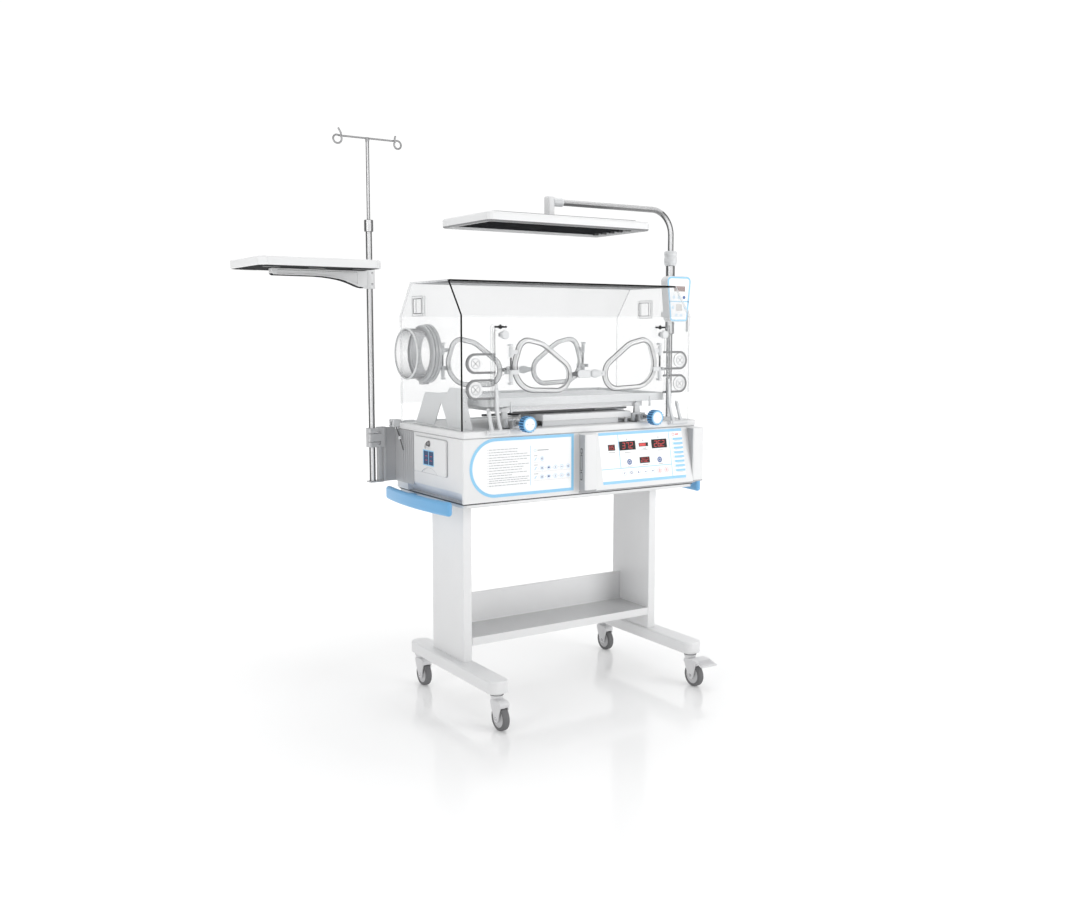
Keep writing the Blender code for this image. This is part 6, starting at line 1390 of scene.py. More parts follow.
for name, x in zip(("door_latch_left", "door_latch_right"), LATCH_X):
    b = "latch_left" if x < 0 else "latch_right"
    kn = lathe("fine_" + name, [(0, 0.0296), (0.0105, 0.0296), (0.0128, 0.0286), (0.0136, 0.0270), (0.0136, 0.0160), (0.0128, 0.0146), (0.0098, 0.0140), (0.0080, 0.0136), (0.0080, 0.0040), (0.0092, 0.0034), (0.0092, 0.0004), (0.0060, 0.0004), (0.0060, -0.0050), (0, -0.0050)],
               (x, DOOR_Y0, LATCH_Z), (0, -1, 0), "lgrey", 40)
    for k in range(10):
        a = 2 * math.pi * k / 10
        cut(kn, bar("c", (x + 0.0149 * math.cos(a), DOOR_Y0 - 0.0135, LATCH_Z + 0.0149 * math.sin(a)), (x + 0.0149 * math.cos(a), DOOR_Y0 - 0.0310, LATCH_Z + 0.0149 * math.sin(a)), 0.0022, seg=16))
    done(kn, b, name, slot="light_grey")
    done(box("fine_flag_" + name, (x - 0.0150, DOOR_Y0 - 0.0108, LATCH_Z - 0.0055), (x + 0.0035, DOOR_Y0 - 0.0060, LATCH_Z + 0.0055), "mgrey", 0.0016, 3), b, slot="light_grey")
    # black keeper above it
    m = -0.3270 if x < 0 else 0.3200
    kp = box("fine_keeper_" + name, (m - 0.0220, DOOR_Y0 - 0.0046, 1.2618), (m + 0.0220, DOOR_Y0 - 0.0002, 1.2680), "black", 0.0008, 2)
    weld(kp, slab("c", [hull([(m - 0.0010, 1.2690, 0.0035), (m - 0.0010, 1.2640, 0.0060)], 24)], "XZ", DOOR_Y0 - 0.0040, DOOR_Y0 - 0.0004, "black"))
    done(kp, "front_door", slot="dark_grey")

# -------------------------------------------------------------- iris port
fl = lathe("fine_iris_flange", [(0.0672, 0.0300), (0.0690, 0.0316), (0.0870, 0.0316), (0.0905, 0.0306), (IRIS_R1, 0.0280), (IRIS_R1, 0.0236), (0.0900, 0.0228), (0.0900, 0.0210), (IRIS_R1 + 0.0006, 0.0202), (IRIS_R1 + 0.0006, 0.0122),
                                (0.0912, 0.0114), (0.0912, 0.0100), (IRIS_R0 - 0.0012, 0.0092), (IRIS_R0, 0.0080), (IRIS_R0, GAP), (IRIS_BORE + 0.0008, GAP), (IRIS_BORE + 0.0008, -0.0066), (IRIS_BORE - 0.0012, -0.0070), (0.0672, -0.0060)],
           (-HOOD_X, 0, IRIS_Z), (-1, 0, 0), "ring", 128)
weld(fl, box("c", (-0.4960, -0.0090, IRIS_Z - 0.1000), (-0.4700, 0.0160, IRIS_Z - 0.0880), "ring", 0.0022, 3))
done(fl, "hood", "iris_flange", slot="grey_casing")
done(lathe("fine_iris_seal", [(0.0790, 0.0022), (0.0880, 0.0022), (0.0890, 0.0012), (0.0890, 0.0), (0.0790, 0.0)], (-HOOD_X - 0.0314, 0, IRIS_Z), (-1, 0, 0), "mgrey", 96), "hood", slot="grey_casing")
sl = lathe("fine_iris_sleeve", [(SLEEVE_R - 0.0024, 0.0510), (SLEEVE_R - 0.0018, 0.0520), (SLEEVE_R + 0.0002, 0.0520), (SLEEVE_R + 0.0006, 0.0512), (SLEEVE_R + 0.0004, 0.0496), (SLEEVE_R, 0.0490), (SLEEVE_R, 0.0042), (SLEEVE_R + 0.0030, 0.0034),
                                (SLEEVE_R + 0.0034, 0.0026), (SLEEVE_R + 0.0034, GAP + 0.0022), (SLEEVE_R - 0.0024, GAP + 0.0022)],
           (IRIS_X1, 0, IRIS_Z), (-1, 0, 0), ["sleeve", "edge_g", "chrome"], 128)
paint_faces(sl, lambda c, nrm: 1 if c.x < IRIS_X1 - 0.0488 else 0)
done(sl, "iris", "iris_sleeve", slot="clear_acrylic")
done(lathe("fine_sleeve_rim", [(SLEEVE_R - 0.0026, 0.0005), (SLEEVE_R - 0.0018, 0.0014), (SLEEVE_R + 0.0006, 0.0014), (SLEEVE_R + 0.0014, 0.0005), (SLEEVE_R + 0.0014, -0.0030), (SLEEVE_R + 0.0006, -0.0040), (SLEEVE_R - 0.0018, -0.0040), (SLEEVE_R - 0.0026, -0.0030)],
           (IRIS_X1 - 0.0508, 0, IRIS_Z), (-1, 0, 0), "tray", 120), "iris", slot="clear_acrylic")
for k, (dx, dr) in enumerate(((0.0470, 0.0016), (0.0522, -0.0026))):
    done(wire("fine_sleeve_line_%d" % k, [(IRIS_X1 - dx, (SLEEVE_R + dr) * math.cos(2 * math.pi * q / 96), IRIS_Z + (SLEEVE_R + dr) * math.sin(2 * math.pi * q / 96)) for q in range(96)], 0.0005, "mgrey", 6, closed=True), "iris", slot="clear_acrylic")
# the gathered membrane inside: a soft hourglass between the two rings
bm = bmesh.new()
N, K = 96, 18
loops = []
for i in range(K + 1):
    t = i / K
    rr = 0.0670 - 0.0085 * math.sin(math.pi * t) ** 1.3
    x = -HOOD_X - 0.0280 + t * 0.0330
    ring = []
    for k in range(N):
        a = 2 * math.pi * k / N
        fold = 1.0 + 0.022 * math.sin(12 * a + 5.0 * t) * math.sin(math.pi * t) ** 2
        ring.append(bm.verts.new(V(x, rr * fold * math.cos(a), IRIS_Z + rr * fold * math.sin(a))))
    loops.append(ring)
for i in range(K):
    a, b = loops[i], loops[i + 1]
    for k in range(N):
        j = (k + 1) % N
        bm.faces.new((a[k], a[j], b[j], b[k]))
mem = from_bm("fine_iris_membrane", bm, "ring")
so = mem.modifiers.new("thick", "SOLIDIFY")
so.thickness = 0.0008
bake(mem)
done(mem, "hood", slot="grey_casing", smooth=80)

# ----------------------------------------------------------- tube grommets
for name, gx, ox, sx in (("tube_grommet_left", GROM_X[0], OPEN_X0, -1), ("tube_grommet_right", GROM_X[1], OPEN_X1, 1)):
    y0, y1 = -HOOD_Y, -HOOD_Y + HOOD_T
    edge = ox - sx * 0.0040
    first = True
    for j, gz in enumerate(GROM_Z):
        band = 0.0082
        outer = hull([(gx, gz, GROM_R - 0.0010), (edge, gz - GROM_R + 0.0010, 0), (edge, gz + GROM_R - 0.0010, 0)], 64)
        inner = hull([(gx, gz, GROM_R - band), (edge + sx * -0.002, gz - GROM_R + band, 0), (edge + sx * -0.002, gz + GROM_R - band, 0)], 64)
        u = slab("fine_%s_u%d" % (name, j), [outer], "XZ", y0 - 0.0015, y1 + 0.0020, "grom", 0.0010, 2)
        cut(u, slab("c", [inner], "XZ", y0 - 0.01, y1 + 0.01))
        done(u, "hood", *([name] if first else []), slot="rubber")
        first = False
        plug = slab("fine_%s_plug%d" % (name, j), [circle(gx, gz, GROM_R - band + 0.0002, 64)], "XZ", y0 - 0.0006, y1 + 0.0010, "membrane", 0.0006, 2)
        cut(plug, lathe("c", [(0.0150, 0.01), (0.0165, 0.01), (0.0165, 0.0), (0.0150, 0.0)], (gx, y0 + 0.0004, gz), (0, -1, 0), "membrane", 48))
        done(plug, "hood", slot="rubber")
        done(lathe("fine_%s_lip%d" % (name, j), [(0.0146, 0.0014), (0.0160, 0.0014), (0.0166, 0.0006), (0.0166, 0.0), (0.0146, 0.0)], (gx, y0 - 0.0004, gz), (0, -1, 0), "mgrey", 48), "hood", slot="rubber")
        for q in range(2):
            a = math.radians(45 + 90 * q)
            dx, dz = 0.0120 * math.cos(a), 0.0120 * math.sin(a)
            done(bar("fine_%s_slit%d_%d" % (name, j, q), (gx - dx, y0 - 0.0007, gz - dz), (gx + dx, y0 - 0.0007, gz + dz), 0.0007, "dark", 8), "hood", slot="rubber")
        a, b = sorted((gx - sx * 0.0120, edge - sx * 0.0004))
        tongue = box("fine_%s_tongue%d" % (name, j), (a, y0 + 0.0010, gz - GROM_R + band - 0.0003), (b, y1 - 0.0010, gz + GROM_R - band + 0.0003), "acr")
        done(tongue, "hood", slot="clear_acrylic", weighted=False)

# -------------------------------------------------------------------- bed
tr = slab("fine_mattress_tray", [rrect(-TRAY_X, TRAY_X, -TRAY_Y, TRAY_Y, 0.012, 40)], "XY", TRAY_Z0, TRAY_Z1, "tray", 0.0012, 2)
cut(tr, slab("c", [rrect(-TRAY_X + TRAY_T, TRAY_X - TRAY_T, -TRAY_Y + TRAY_T, TRAY_Y - TRAY_T, 0.008, 40)], "XY", TRAY_Z0 + TRAY_T, TRAY_Z1 + 0.01))
for sy in (-1, 1):
    lo, hi = sorted((sy * 0.1400, sy * 0.1470))
    ear = box("c", (-PIVOT_X - 0.0100, lo, 0.9915), (-PIVOT_X + 0.0100, hi, TRAY_Z0 + 0.002), "tray", 0.001, 2)
    cut(ear, bar("c", (-PIVOT_X, lo - 0.01, 0.9980), (-PIVOT_X, hi + 0.01, 0.9980), 0.0044, seg=32))
    weld(tr, ear)
for x in (-0.2735, 0.2962):
    weld(tr, box("c", (x - 0.0035, -0.2030, 0.9900), (x + 0.0035, -0.1970, 1.0255), "tray", 0.0008, 2))
done(tr, "bed_tray", "mattress_tray", slot="light_grey")


def mattress():
    """Flat pad with pulled-in corners and a welded seam: remeshed, puffed by
    a short cloth run and smoothed."""
    x, y, z0, z1 = 0.3490, 0.1850, TRAY_Z0 + TRAY_T + 0.0008, 1.0300
    ob = slab("fine_mattress", [rrect(-x, x, -y, y, 0.022, 32)], "XY", z0, z1 - 0.0020, "cloth", 0.0045, 3)
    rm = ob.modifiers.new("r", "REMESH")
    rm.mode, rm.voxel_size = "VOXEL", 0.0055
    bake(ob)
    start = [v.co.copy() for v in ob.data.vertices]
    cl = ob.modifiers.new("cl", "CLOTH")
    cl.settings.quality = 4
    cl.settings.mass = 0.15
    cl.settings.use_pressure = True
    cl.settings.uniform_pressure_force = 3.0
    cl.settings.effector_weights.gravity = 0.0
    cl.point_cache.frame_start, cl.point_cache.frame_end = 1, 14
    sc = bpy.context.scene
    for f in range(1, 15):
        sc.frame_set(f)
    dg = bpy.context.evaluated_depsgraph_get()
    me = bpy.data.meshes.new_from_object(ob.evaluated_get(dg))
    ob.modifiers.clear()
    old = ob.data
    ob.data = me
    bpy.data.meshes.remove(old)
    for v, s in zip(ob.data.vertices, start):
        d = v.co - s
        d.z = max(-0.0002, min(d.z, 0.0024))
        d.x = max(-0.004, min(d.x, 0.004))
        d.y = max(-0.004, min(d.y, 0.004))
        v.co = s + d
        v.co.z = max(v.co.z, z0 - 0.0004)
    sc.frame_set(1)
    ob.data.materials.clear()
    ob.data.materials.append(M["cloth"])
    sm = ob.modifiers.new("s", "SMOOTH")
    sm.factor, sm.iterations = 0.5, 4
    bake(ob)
    done(ob, "bed_tray", "mattress", slot="vinyl", smooth=70, weighted=False)
    zs = (z0 + z1) / 2 - 0.001
    loop = resample(rrect(-x - 0.0012, x + 0.0012, -y - 0.0012, y + 0.0012, 0.023, 32), 220)
    done(wire("fine_mattress_seam", [(u, v, zs) for u, v in loop], 0.0012, "cloth", 8, closed=True), "bed_tray", slot="vinyl", smooth=80)


mattress()

# what lies between the deck and the tray
pl = box("fine_bed_plate", (-0.1520, -0.2000, 0.9560), (0.2140, -0.0600, 0.9780), "case", 0.0030, 3)
cut(pl, box("c", (-0.1480, -0.1960, 0.9500), (0.2100, -0.0640, 0.9740)))
done(pl, "stand", slot="white_casing")
for x in (-0.140, 0.200):
    for y in (-0.188, -0.072):
        done(bar("fine_bed_leg_%d_%d" % (x > 0, y > -0.1), (x, y, DECK_Z1 - 0.0005), (x, y, 0.9745), 0.0060, "case", 24, 0.001), "stand", slot="white_casing")
done(box("fine_bed_skirt", (-0.1480, -0.1950, 0.9392), (0.1620, -0.1920, 0.9570), "lgrey", 0.0006, 1), "stand", slot="white_casing")
done(box("fine_bed_rail_dark", (-0.2400, -0.1450, 0.9800), (0.0980, -0.1330, 0.9880), "dark", 0.0012, 2), "stand", slot="dark_grey")
done(box("fine_bed_rail_dark_b", (-0.2400, 0.0400, 0.9600), (0.0980, 0.0520, 0.9680), "dark", 0.0012, 2), "stand", slot="dark_grey")
gb = box("fine_lift_box", (0.0700, -0.1300, 0.9800), (0.2500, 0.0200, 1.0040), "lgrey", 0.0030, 3)
cut(gb, box("c", (0.0660, -0.1360, 0.9840), (0.2540, -0.1260, 0.9960), bev=0.001, seg=2))
done(gb, "bed_frame", slot="light_grey")
done(box("fine_lift_slot", (0.0740, -0.1275, 0.9850), (0.2460, -0.1262, 0.9950), "mgrey", 0.0003, 1), "bed_frame", slot="grey_casing")
for k, (y, z) in enumerate(((-0.1760, 0.9290), (-0.1500, 0.9290))):
    done(box("fine_deck_rail_%d" % k, (0.1650, y - 0.004, 0.9385), (0.2900, y + 0.004, 0.9470), "mgrey", 0.0012, 2), "stand", slot="dark_grey")
# slides and shaft couplings beside each knob's bearing
for j, x in enumerate(KNOB_X):
    s = 1 if x > 0 else -1
    done(lathe("fine_collar_in_%d" % j, [(0.0064, 0.0080), (0.0100, 0.0080), (0.0110, 0.0070), (0.0110, 0.0010), (0.0100, 0.0), (0.0064, 0.0)], (x, -0.2068, KNOB_Z), (0, -1, 0), "mgrey", 40), "stand", slot="grey_casing")
    br = slab("fine_shaft_bracket_%d" % j, [[(x - 0.0400, DECK_Z1), (x - 0.0300, DECK_Z1), (x - 0.0300, 0.9640), (x - 0.0120, 0.9640), (x - 0.0120, 0.9700), (x - 0.0400, 0.9700)]], "XZ", -0.2040, -0.1900, "lgrey", 0.0008, 2)
    done(br, "stand", slot="light_grey")
    done(box("fine_shaft_foot_%d" % j, (x - 0.0440, -0.2100, DECK_Z1 - 0.0002), (x - 0.0260, -0.1860, DECK_Z1 + 0.0030), "dark", 0.0006, 2), "stand", slot="dark_grey")

for name, x in zip(("tilt_knob_left", "tilt_knob_right"), KNOB_X):
    b = "knob_left" if x < 0 else "knob_right"
    N = 18
    rim = []
    for k in range(N * 10):
        a = 2 * math.pi * k / (N * 10)
        ph = (k % 10) / 10.0
        g = 0.0 if ph < 0.45 else 0.0032 * math.sin(math.pi * (ph - 0.45) / 0.55)
        rim.append((x + (KNOB_R - g) * math.cos(a), KNOB_Z + (KNOB_R - g) * math.sin(a)))
    kn = slab("fine_" + name, [rim], "XZ", KNOB_Y0 + 0.0020, KNOB_Y1, ["blue_d", "blue_k"], 0.0005, 1)
    weld(kn, bar("c", (x, KNOB_Y1 - 0.004, KNOB_Z), (x, -0.2480, KNOB_Z), 0.0105, "blue", 40))
    # groove faces painted darker blue as painted shade
    paint_faces(kn, lambda c, nrm: 1 if 0.0150 < math.hypot(c.x - x, c.z - KNOB_Z) < KNOB_R - 0.0009 and abs(nrm.y) < 0.5 else 0)
    done(kn, b, name, slot="blue_plastic")
    ringp = [(0.0194, -0.0012), (0.0204, 0.0), (0.0228, 0.0), (0.0238, -0.0010), (0.0240, -0.0030), (0.0194, -0.0030)]
    done(lathe("fine_rim_" + name, ringp, (x, KNOB_Y0 + 0.0006, KNOB_Z), (0, -1, 0), "film_b", 80), b, slot="blue_plastic")
    cap = lathe("fine_cap_" + name, [(0, 0.0006), (0.0150, 0.0004), (0.0184, -0.0004), (0.0196, -0.0018), (0.0196, -0.0040), (0, -0.0040)], (x, KNOB_Y0 + 0.0004, KNOB_Z), (0, -1, 0), "film", 80)
    done(cap, b, slot="blue_plastic")
    bm = bmesh.new()
    KP = Plane((x, KNOB_Y0, KNOB_Z), (1, 0, 0), (0, 0, 1))
    for a, w in ((-0.0100, 0.0050), (0.0100, 0.0050)):
        print_on(bm, KP, rect(a - w / 2, a + w / 2, -0.0007, 0.0007), -0.0003, 0.0003)
    done(from_bm("fine_mark_" + name, bm, "film_g"), b, slot="grey_casing", weighted=False)
    done(bar("fine_shaft_" + name, (x, -0.2490, KNOB_Z), (x, -0.1855, KNOB_Z), 0.0060, "steel_x", 40), b, slot="steel")
    done(lathe("fine_worm_" + name, [(0, 0.0064), (0.0090, 0.0064), (0.0100, 0.0056), (0.0100, 0.0008), (0.0090, 0.0), (0, 0.0)], (x, -0.1855, KNOB_Z), (0, 1, 0), "mgrey", 40), b, slot="steel")

# ----------------------------------------------------- left pole and bracket
brk = box("fine_iv_bracket", (-0.4780, 0.1000, 0.7350), (-BODY_X - GAP, 0.2440, 0.9150), "alloy_v", 0.0006, 2)
weld(brk, box("c", (-0.5180, 0.2390, 0.7350), (-0.4760, 0.2440, 0.9225), "alloy_v", 0.0006, 2))
rl = box("c", (-0.5460, 0.2290, 0.7350), (-0.5165, 0.2470, 0.9250), "alloy_v", 0.0015, 3)
cut(rl, box("g", (-0.5350, 0.2270, 0.7300), (-0.5270, 0.2330, 0.9300)))
weld(brk, rl)
weld(brk, slab("c", [rrect(IV_X - 0.0175, -0.5190, IV_Y - 0.0175, IV_Y + 0.0175, 0.009, 40)], "XY", 0.8560, 0.9215, "alloy_v", 0.0010, 2))
weld(brk, slab("c", [rrect(IV_X - 0.0175, -0.5300, IV_Y - 0.0175, IV_Y + 0.0175, 0.006, 32)], "XY", 0.7350, 0.7390, "alloy_v"))
cut(brk, bar("c", (IV_X, IV_Y, 0.70), (IV_X, IV_Y, 0.95), IV_R + 0.0004, seg=48))
for z in (0.8745, 0.9030):
    cut(brk, box("c", (IV_X - 0.0200, IV_Y - 0.0200, z - 0.0010), (-0.5400, IV_Y - 0.0080, z + 0.0010)))
for k in range(5):
    cut(brk, box("c", (-0.4800, 0.1080 + 0.0160 * k, 0.7300), (-0.4768, 0.1110 + 0.0160 * k, 0.93)))
done(brk, "stand", "iv_bracket", slot="base_alloy")
for k, z in enumerate((0.8700, 0.9070)):
    done(lathe("fine_clamp_bolt_%d" % k, [(0, 0.0050), (0.0024, 0.0050), (0.0024, 0.0026), (0.0040, 0.0026), (0.0046, 0.0040), (0.0052, 0.0034), (0.0052, 0.0), (0, 0.0)], (-0.5480, IV_Y - 0.0175, z), (0, -1, 0), "screw", 28), "stand", slot="base_alloy")

pole = lathe("fine_iv_pole", [(0.0062, IV_Z1 + 0.0385), (0.0068, IV_Z1 + 0.0391), (0.0138, IV_Z1 + 0.0391), (0.0152, IV_Z1 + 0.0380), (0.0155, IV_Z1 + 0.0365), (0.0155, IV_Z1 + 0.0020), (0.0148, IV_Z1 + 0.0004), (0.0130, IV_Z1 - 0.0004),
                              (IV_R, IV_Z1 - 0.0004), (IV_R, IV_Z0 - 0.0002), (0.0088, IV_Z0 - 0.0002), (0.0088, IV_Z1 - 0.0100), (0.0062, IV_Z1 - 0.0080)], (IV_X, IV_Y, 0), (0, 0, 1), ["pole", "pole"], 64)
paint_faces(pole, lambda c, nrm: 1 if c.z > IV_Z1 else 0)
done(pole, "stand", "iv_pole", slot="steel")
rod_ = bar("fine_iv_rod", (IV_X, IV_Y, 1.2500), (IV_X, IV_Y, ROD_TOP + 0.0020), ROD_R, "rod", 40, 0.0012)
done(rod_, "hook_rod", "iv_rod", slot="steel")
HOOK_R, HOOK_W = 0.0138, 0.0030


def pigtail(sx):
    cx, cz = IV_X + sx * 0.1080, ROD_TOP - 0.0120
    pts = [(IV_X, IV_Y, ROD_TOP), (IV_X + sx * 0.03, IV_Y, ROD_TOP), (IV_X + sx * 0.06, IV_Y, ROD_TOP), (cx - sx * 0.028, IV_Y, ROD_TOP), (cx - sx * 0.020, IV_Y, ROD_TOP - 0.0002), (cx - sx * 0.012, IV_Y, ROD_TOP + 0.0004)]
    for k in range(49):
        a = math.radians(112 - 338 * k / 48.0)
        pts.append((cx + sx * HOOK_R * math.cos(a), IV_Y - 0.0090 * k / 48.0, cz + HOOK_R * math.sin(a)))
    pts.append((cx - sx * 0.0125, IV_Y - 0.0094, cz + 0.0130))
    if sx < 0:
        pts += [(cx + 0.0098, IV_Y - 0.0100, cz + 0.0205), (cx + 0.0015, IV_Y - 0.0115, cz + 0.0335)]
    else:
        pts += [(cx - 0.0120, IV_Y - 0.0095, cz + 0.0190), (cx - 0.0100, IV_Y - 0.0097, cz + 0.0255)]
    return pts


done(wire("fine_hooks", pigtail(-1)[::-1] + pigtail(1)[1:], HOOK_W, "chrome", 14), "hook_rod", slot="steel", smooth=70)
done(lathe("fine_hook_cap", [(0, 0.0030), (0.0048, 0.0026), (0.0064, 0.0010), (0.0066, -0.0030), (0.0066, -0.0100), (0.0060, -0.0110), (0, -0.0110)], (IV_X, IV_Y, ROD_TOP + 0.0006), (0, 0, 1), "chrome", 40), "hook_rod", slot="steel")

arm = slab("fine_shelf_arm", [[(-0.9090, 1.4340), (-0.9020, 1.4290), (-0.7600, 1.4285), (-0.7300, 1.4268), (-0.7050, 1.4240), (-0.6780, 1.4198), (-0.6550, 1.4140), (-0.6350, 1.4070), (-0.6200, 1.4010), (-0.6080, 1.3968), (-0.5950, 1.3945),
                              (-0.5790, 1.3940), (-0.5790, 1.4590), (-0.5835, 1.4590), (-0.5835, 1.4522), (-0.9090, 1.4522)]], "XZ", IV_Y - 0.0150, IV_Y + 0.0150, ["case", "under"], 0.0030, 3)
weld(arm, bar("c", (IV_X, IV_Y, 1.3930), (IV_X, IV_Y, 1.4600), 0.0185, "case", 56, 0.0015))
cut(arm, bar("c", (IV_X, IV_Y, 1.38), (IV_X, IV_Y, 1.47), IV_R + 0.0004, seg=48))
cut(arm, slab("c", [[(-0.8900, 1.4345), (-0.7600, 1.4345), (-0.7000, 1.4300), (-0.6500, 1.4200), (-0.6150, 1.4080), (-0.6150, 1.4470), (-0.8900, 1.4470)]], "XZ", IV_Y - 0.0160, IV_Y - 0.0125, "case", 0.0008, 1))
# underside painted near black as painted shade
paint_faces(arm, lambda c, nrm: 1 if (nrm.z < -0.25 and c.x < -0.60) else 0)
done(arm, "shelf", "shelf_arm", slot="white_casing")
for k, z in enumerate((1.4080, 1.4450)):
    screw_head("fine_arm_screw_%d" % k, (IV_X + 0.0020, IV_Y - 0.0184, z), (0, -1, 0), 0.0040, "shelf")


def chamfered(x0, x1, y0, y1, c):
    return hull([(x0 + c, y0 + c, c), (x1 - c, y0 + c, c), (x1 - c, y1 - c, c), (x0 + c, y1 - c, c)], 20)


def chamf(x0, x1, y0, y1, c):
    return [(x0 + c, y0), (x1 - c, y0), (x1, y0 + c), (x1, y1 - c), (x1 - c, y1), (x0 + c, y1), (x0, y1 - c), (x0, y0 + c)]


ms = slab("fine_monitor_shelf", [chamf(MSH[0] - 0.0050, MSH[1] + 0.0050, MSH[2] - 0.0030, MSH[3] + 0.0030, 0.022)], "XY", MSH[4], MSH[5] + 0.0020, ["case", "under"], 0.0040, 4)
cut(ms, slab("c", [chamf(MSH[0] + 0.006, MSH[1] - 0.006, MSH[2] + 0.006, MSH[3] - 0.006, 0.020)], "XY", MSH[4] + 0.0050, MSH[5] + 0.01))
# underside painted near black as painted shade
paint_faces(ms, lambda c, nrm: 1 if (nrm.z < -0.9 and c.z < MSH[4] + 0.001) else 0)
done(ms, "shelf", "monitor_shelf", slot="white_casing")
for k, (x, y) in enumerate(((-0.940, 0.135), (-0.640, 0.135), (-0.940, 0.350), (-0.640, 0.350), (-0.790, 0.135))):
    done(box("fine_shelf_pad_%d" % k, (x - 0.0260, y - 0.0110, MSH[4] - 0.0030), (x + 0.0260, y + 0.0110, MSH[4] + 0.0002), "dark", 0.0010, 2), "shelf", slot="white_casing")

# -------------------------------------------------------------- lamp, right
lp = lathe("fine_lamp_pole", [(0, 1.2500), (0.0114, 1.2500), (0.0114, 1.4948), (0.0122, 1.4952), (HOUS_R - 0.0006, 1.4952), (HOUS_R, 1.4944), (HOUS_R, 1.2450), (0.0160, 1.2424), (0.0130, 1.2412), (0.0110, 1.2400), (0.0110, 0.7604), (0.0104, 0.7600), (0, 0.7600)],
           (LP_X, LP_Y, 0), (0, 0, 1), ["pole", "lgrey"], 64)
paint_faces(lp, lambda c, nrm: 0)
done(lp, "stand", "lamp_pole", slot="steel")
for k, z in enumerate((0.7800, 0.8800)):
    bb = slab("fine_lamp_bracket_%d" % k, [hull([(LP_X, LP_Y, 0.0190), (BODY_X + 0.0040, LP_Y - 0.0250, 0), (BODY_X + 0.0040, LP_Y + 0.0250, 0)], 48)], "XY", z, z + 0.0150, "alloy_v", 0.0010, 2)
    done(bb, "stand", slot="steel")
    screw_head("fine_lamp_bracket_screw_%d" % k, (LP_X, LP_Y - 0.0188, z + 0.0075), (0, -1, 0), 0.0040, "stand")
done(box("fine_lamp_plate", (BODY_X + GAP, LP_Y - 0.0350, 0.7650), (BODY_X + 0.0060, LP_Y + 0.0350, 0.9100), "alloy_v", 0.0010, 2), "stand", slot="steel")

col = lathe("fine_lamp_collar", [(0.0114, 1.5490), (0.0122, 1.5500), (0.0188, 1.5500), (0.0218, 1.5484), (0.0238, 1.5450), (0.0243, 1.5400), (0.0238, 1.5340), (0.0222, 1.5300), (0.0226, 1.5270), (0.0240, 1.5230), (0.0243, 1.5170), (0.0238, 1.5080), (0.0222, 1.5000),
                               (0.0196, 1.4956), (0.0122, 1.4954), (0.0114, 1.4960)], (LP_X, LP_Y, 0), (0, 0, 1), "lgrey", 64)
done(col, "lamp_collar", "lamp_collar", slot="light_grey")
done(bar("fine_collar_knob", (LP_X + 0.0108, LP_Y + 0.0168, 1.5230), (LP_X + 0.0227, LP_Y + 0.0353, 1.5230), 0.0115, "mgrey", 40, 0.0016), "lamp_collar", slot="light_grey")

mp = [(LP_X, LP_Y, 1.3600), (LP_X, LP_Y, 1.5000), (LP_X, LP_Y, ARM_Z - BEND_R)]
for k in range(1, 28):
    a = math.radians(90 * k / 28.0)
    mp.append((LP_X - BEND_R + BEND_R * math.cos(a), LP_Y, ARM_Z - BEND_R + BEND_R * math.sin(a)))
mp += [(LP_X - BEND_R, LP_Y, ARM_Z), (0.2500, LP_Y, ARM_Z), (0.0400, LP_Y, ARM_Z)]
mast = wire("fine_lamp_mast", mp, MAST_R, "pole", 40)
mast.data.materials.append(M["arm"])
# the level run takes the painted light-above, shade-below tube colour
paint_faces(mast, lambda c, nrm: 1 if c.x < LP_X - 0.55 * BEND_R else 0)
done(mast, "lamp_mast", "lamp_mast", slot="steel", smooth=70)

x0, x1, y0, y1, z0, z1 = LAMP
head = slab("fine_lamp_head", [rrect(x0, x1, y0, y1, 0.018, 48)], "XY", z0, z1 + 0.0035, ["case", "lampface", "crown"], 0.0085, 5)
cut(head, slab("c", [rrect(x0 + 0.013, x1 - 0.013, y0 + 0.013, y1 - 0.013, 0.010, 32)], "XY", z0 - 0.01, z0 + 0.0200))
weld(head, slab("c", [rrect(x0 + 0.030, x1 - 0.030, y0 + 0.024, y1 - 0.024, 0.030, 32)], "XY", z1 - 0.008, z1 + 0.0085, "case", 0.0050, 5))
weld(head, slab("c", [rrect(x0 + 0.075, x1 - 0.075, y0 + 0.055, y1 - 0.055, 0.030, 32)], "XY", z1 - 0.004, z1 + 0.0120, "case", 0.0034, 4))
weld(head, box("c", (-0.0020, LP_Y - 0.0170, z1 - 0.002), (0.0240, LP_Y + 0.0170, 1.7160), "case", 0.0060, 4))
# downward faces of the underside painted dark grey as painted shade; the top step takes the crown grey
paint_faces(head, lambda c, nrm: 1 if (nrm.z < -0.30 and c.z < z0 + 0.012) else (2 if (z1 + 0.0037 < c.z < z1 + 0.0135 and not (-0.004 < c.x < 0.027 and abs(c.y - LP_Y) < 0.019)) else 0))
done(head, "lamp_head", "lamp_head", slot="white_casing")
sock = lathe("fine_lamp_socket", [(0.0112, 0.0), (0.0140, 0.0), (0.0150, 0.0010), (0.0150, 0.0380), (0.0140, 0.0400), (0.0112, 0.0400)], (0.0238, LP_Y, ARM_Z), (1, 0, 0), "lgrey", 56)
done(sock, "lamp_head", slot="light_grey")
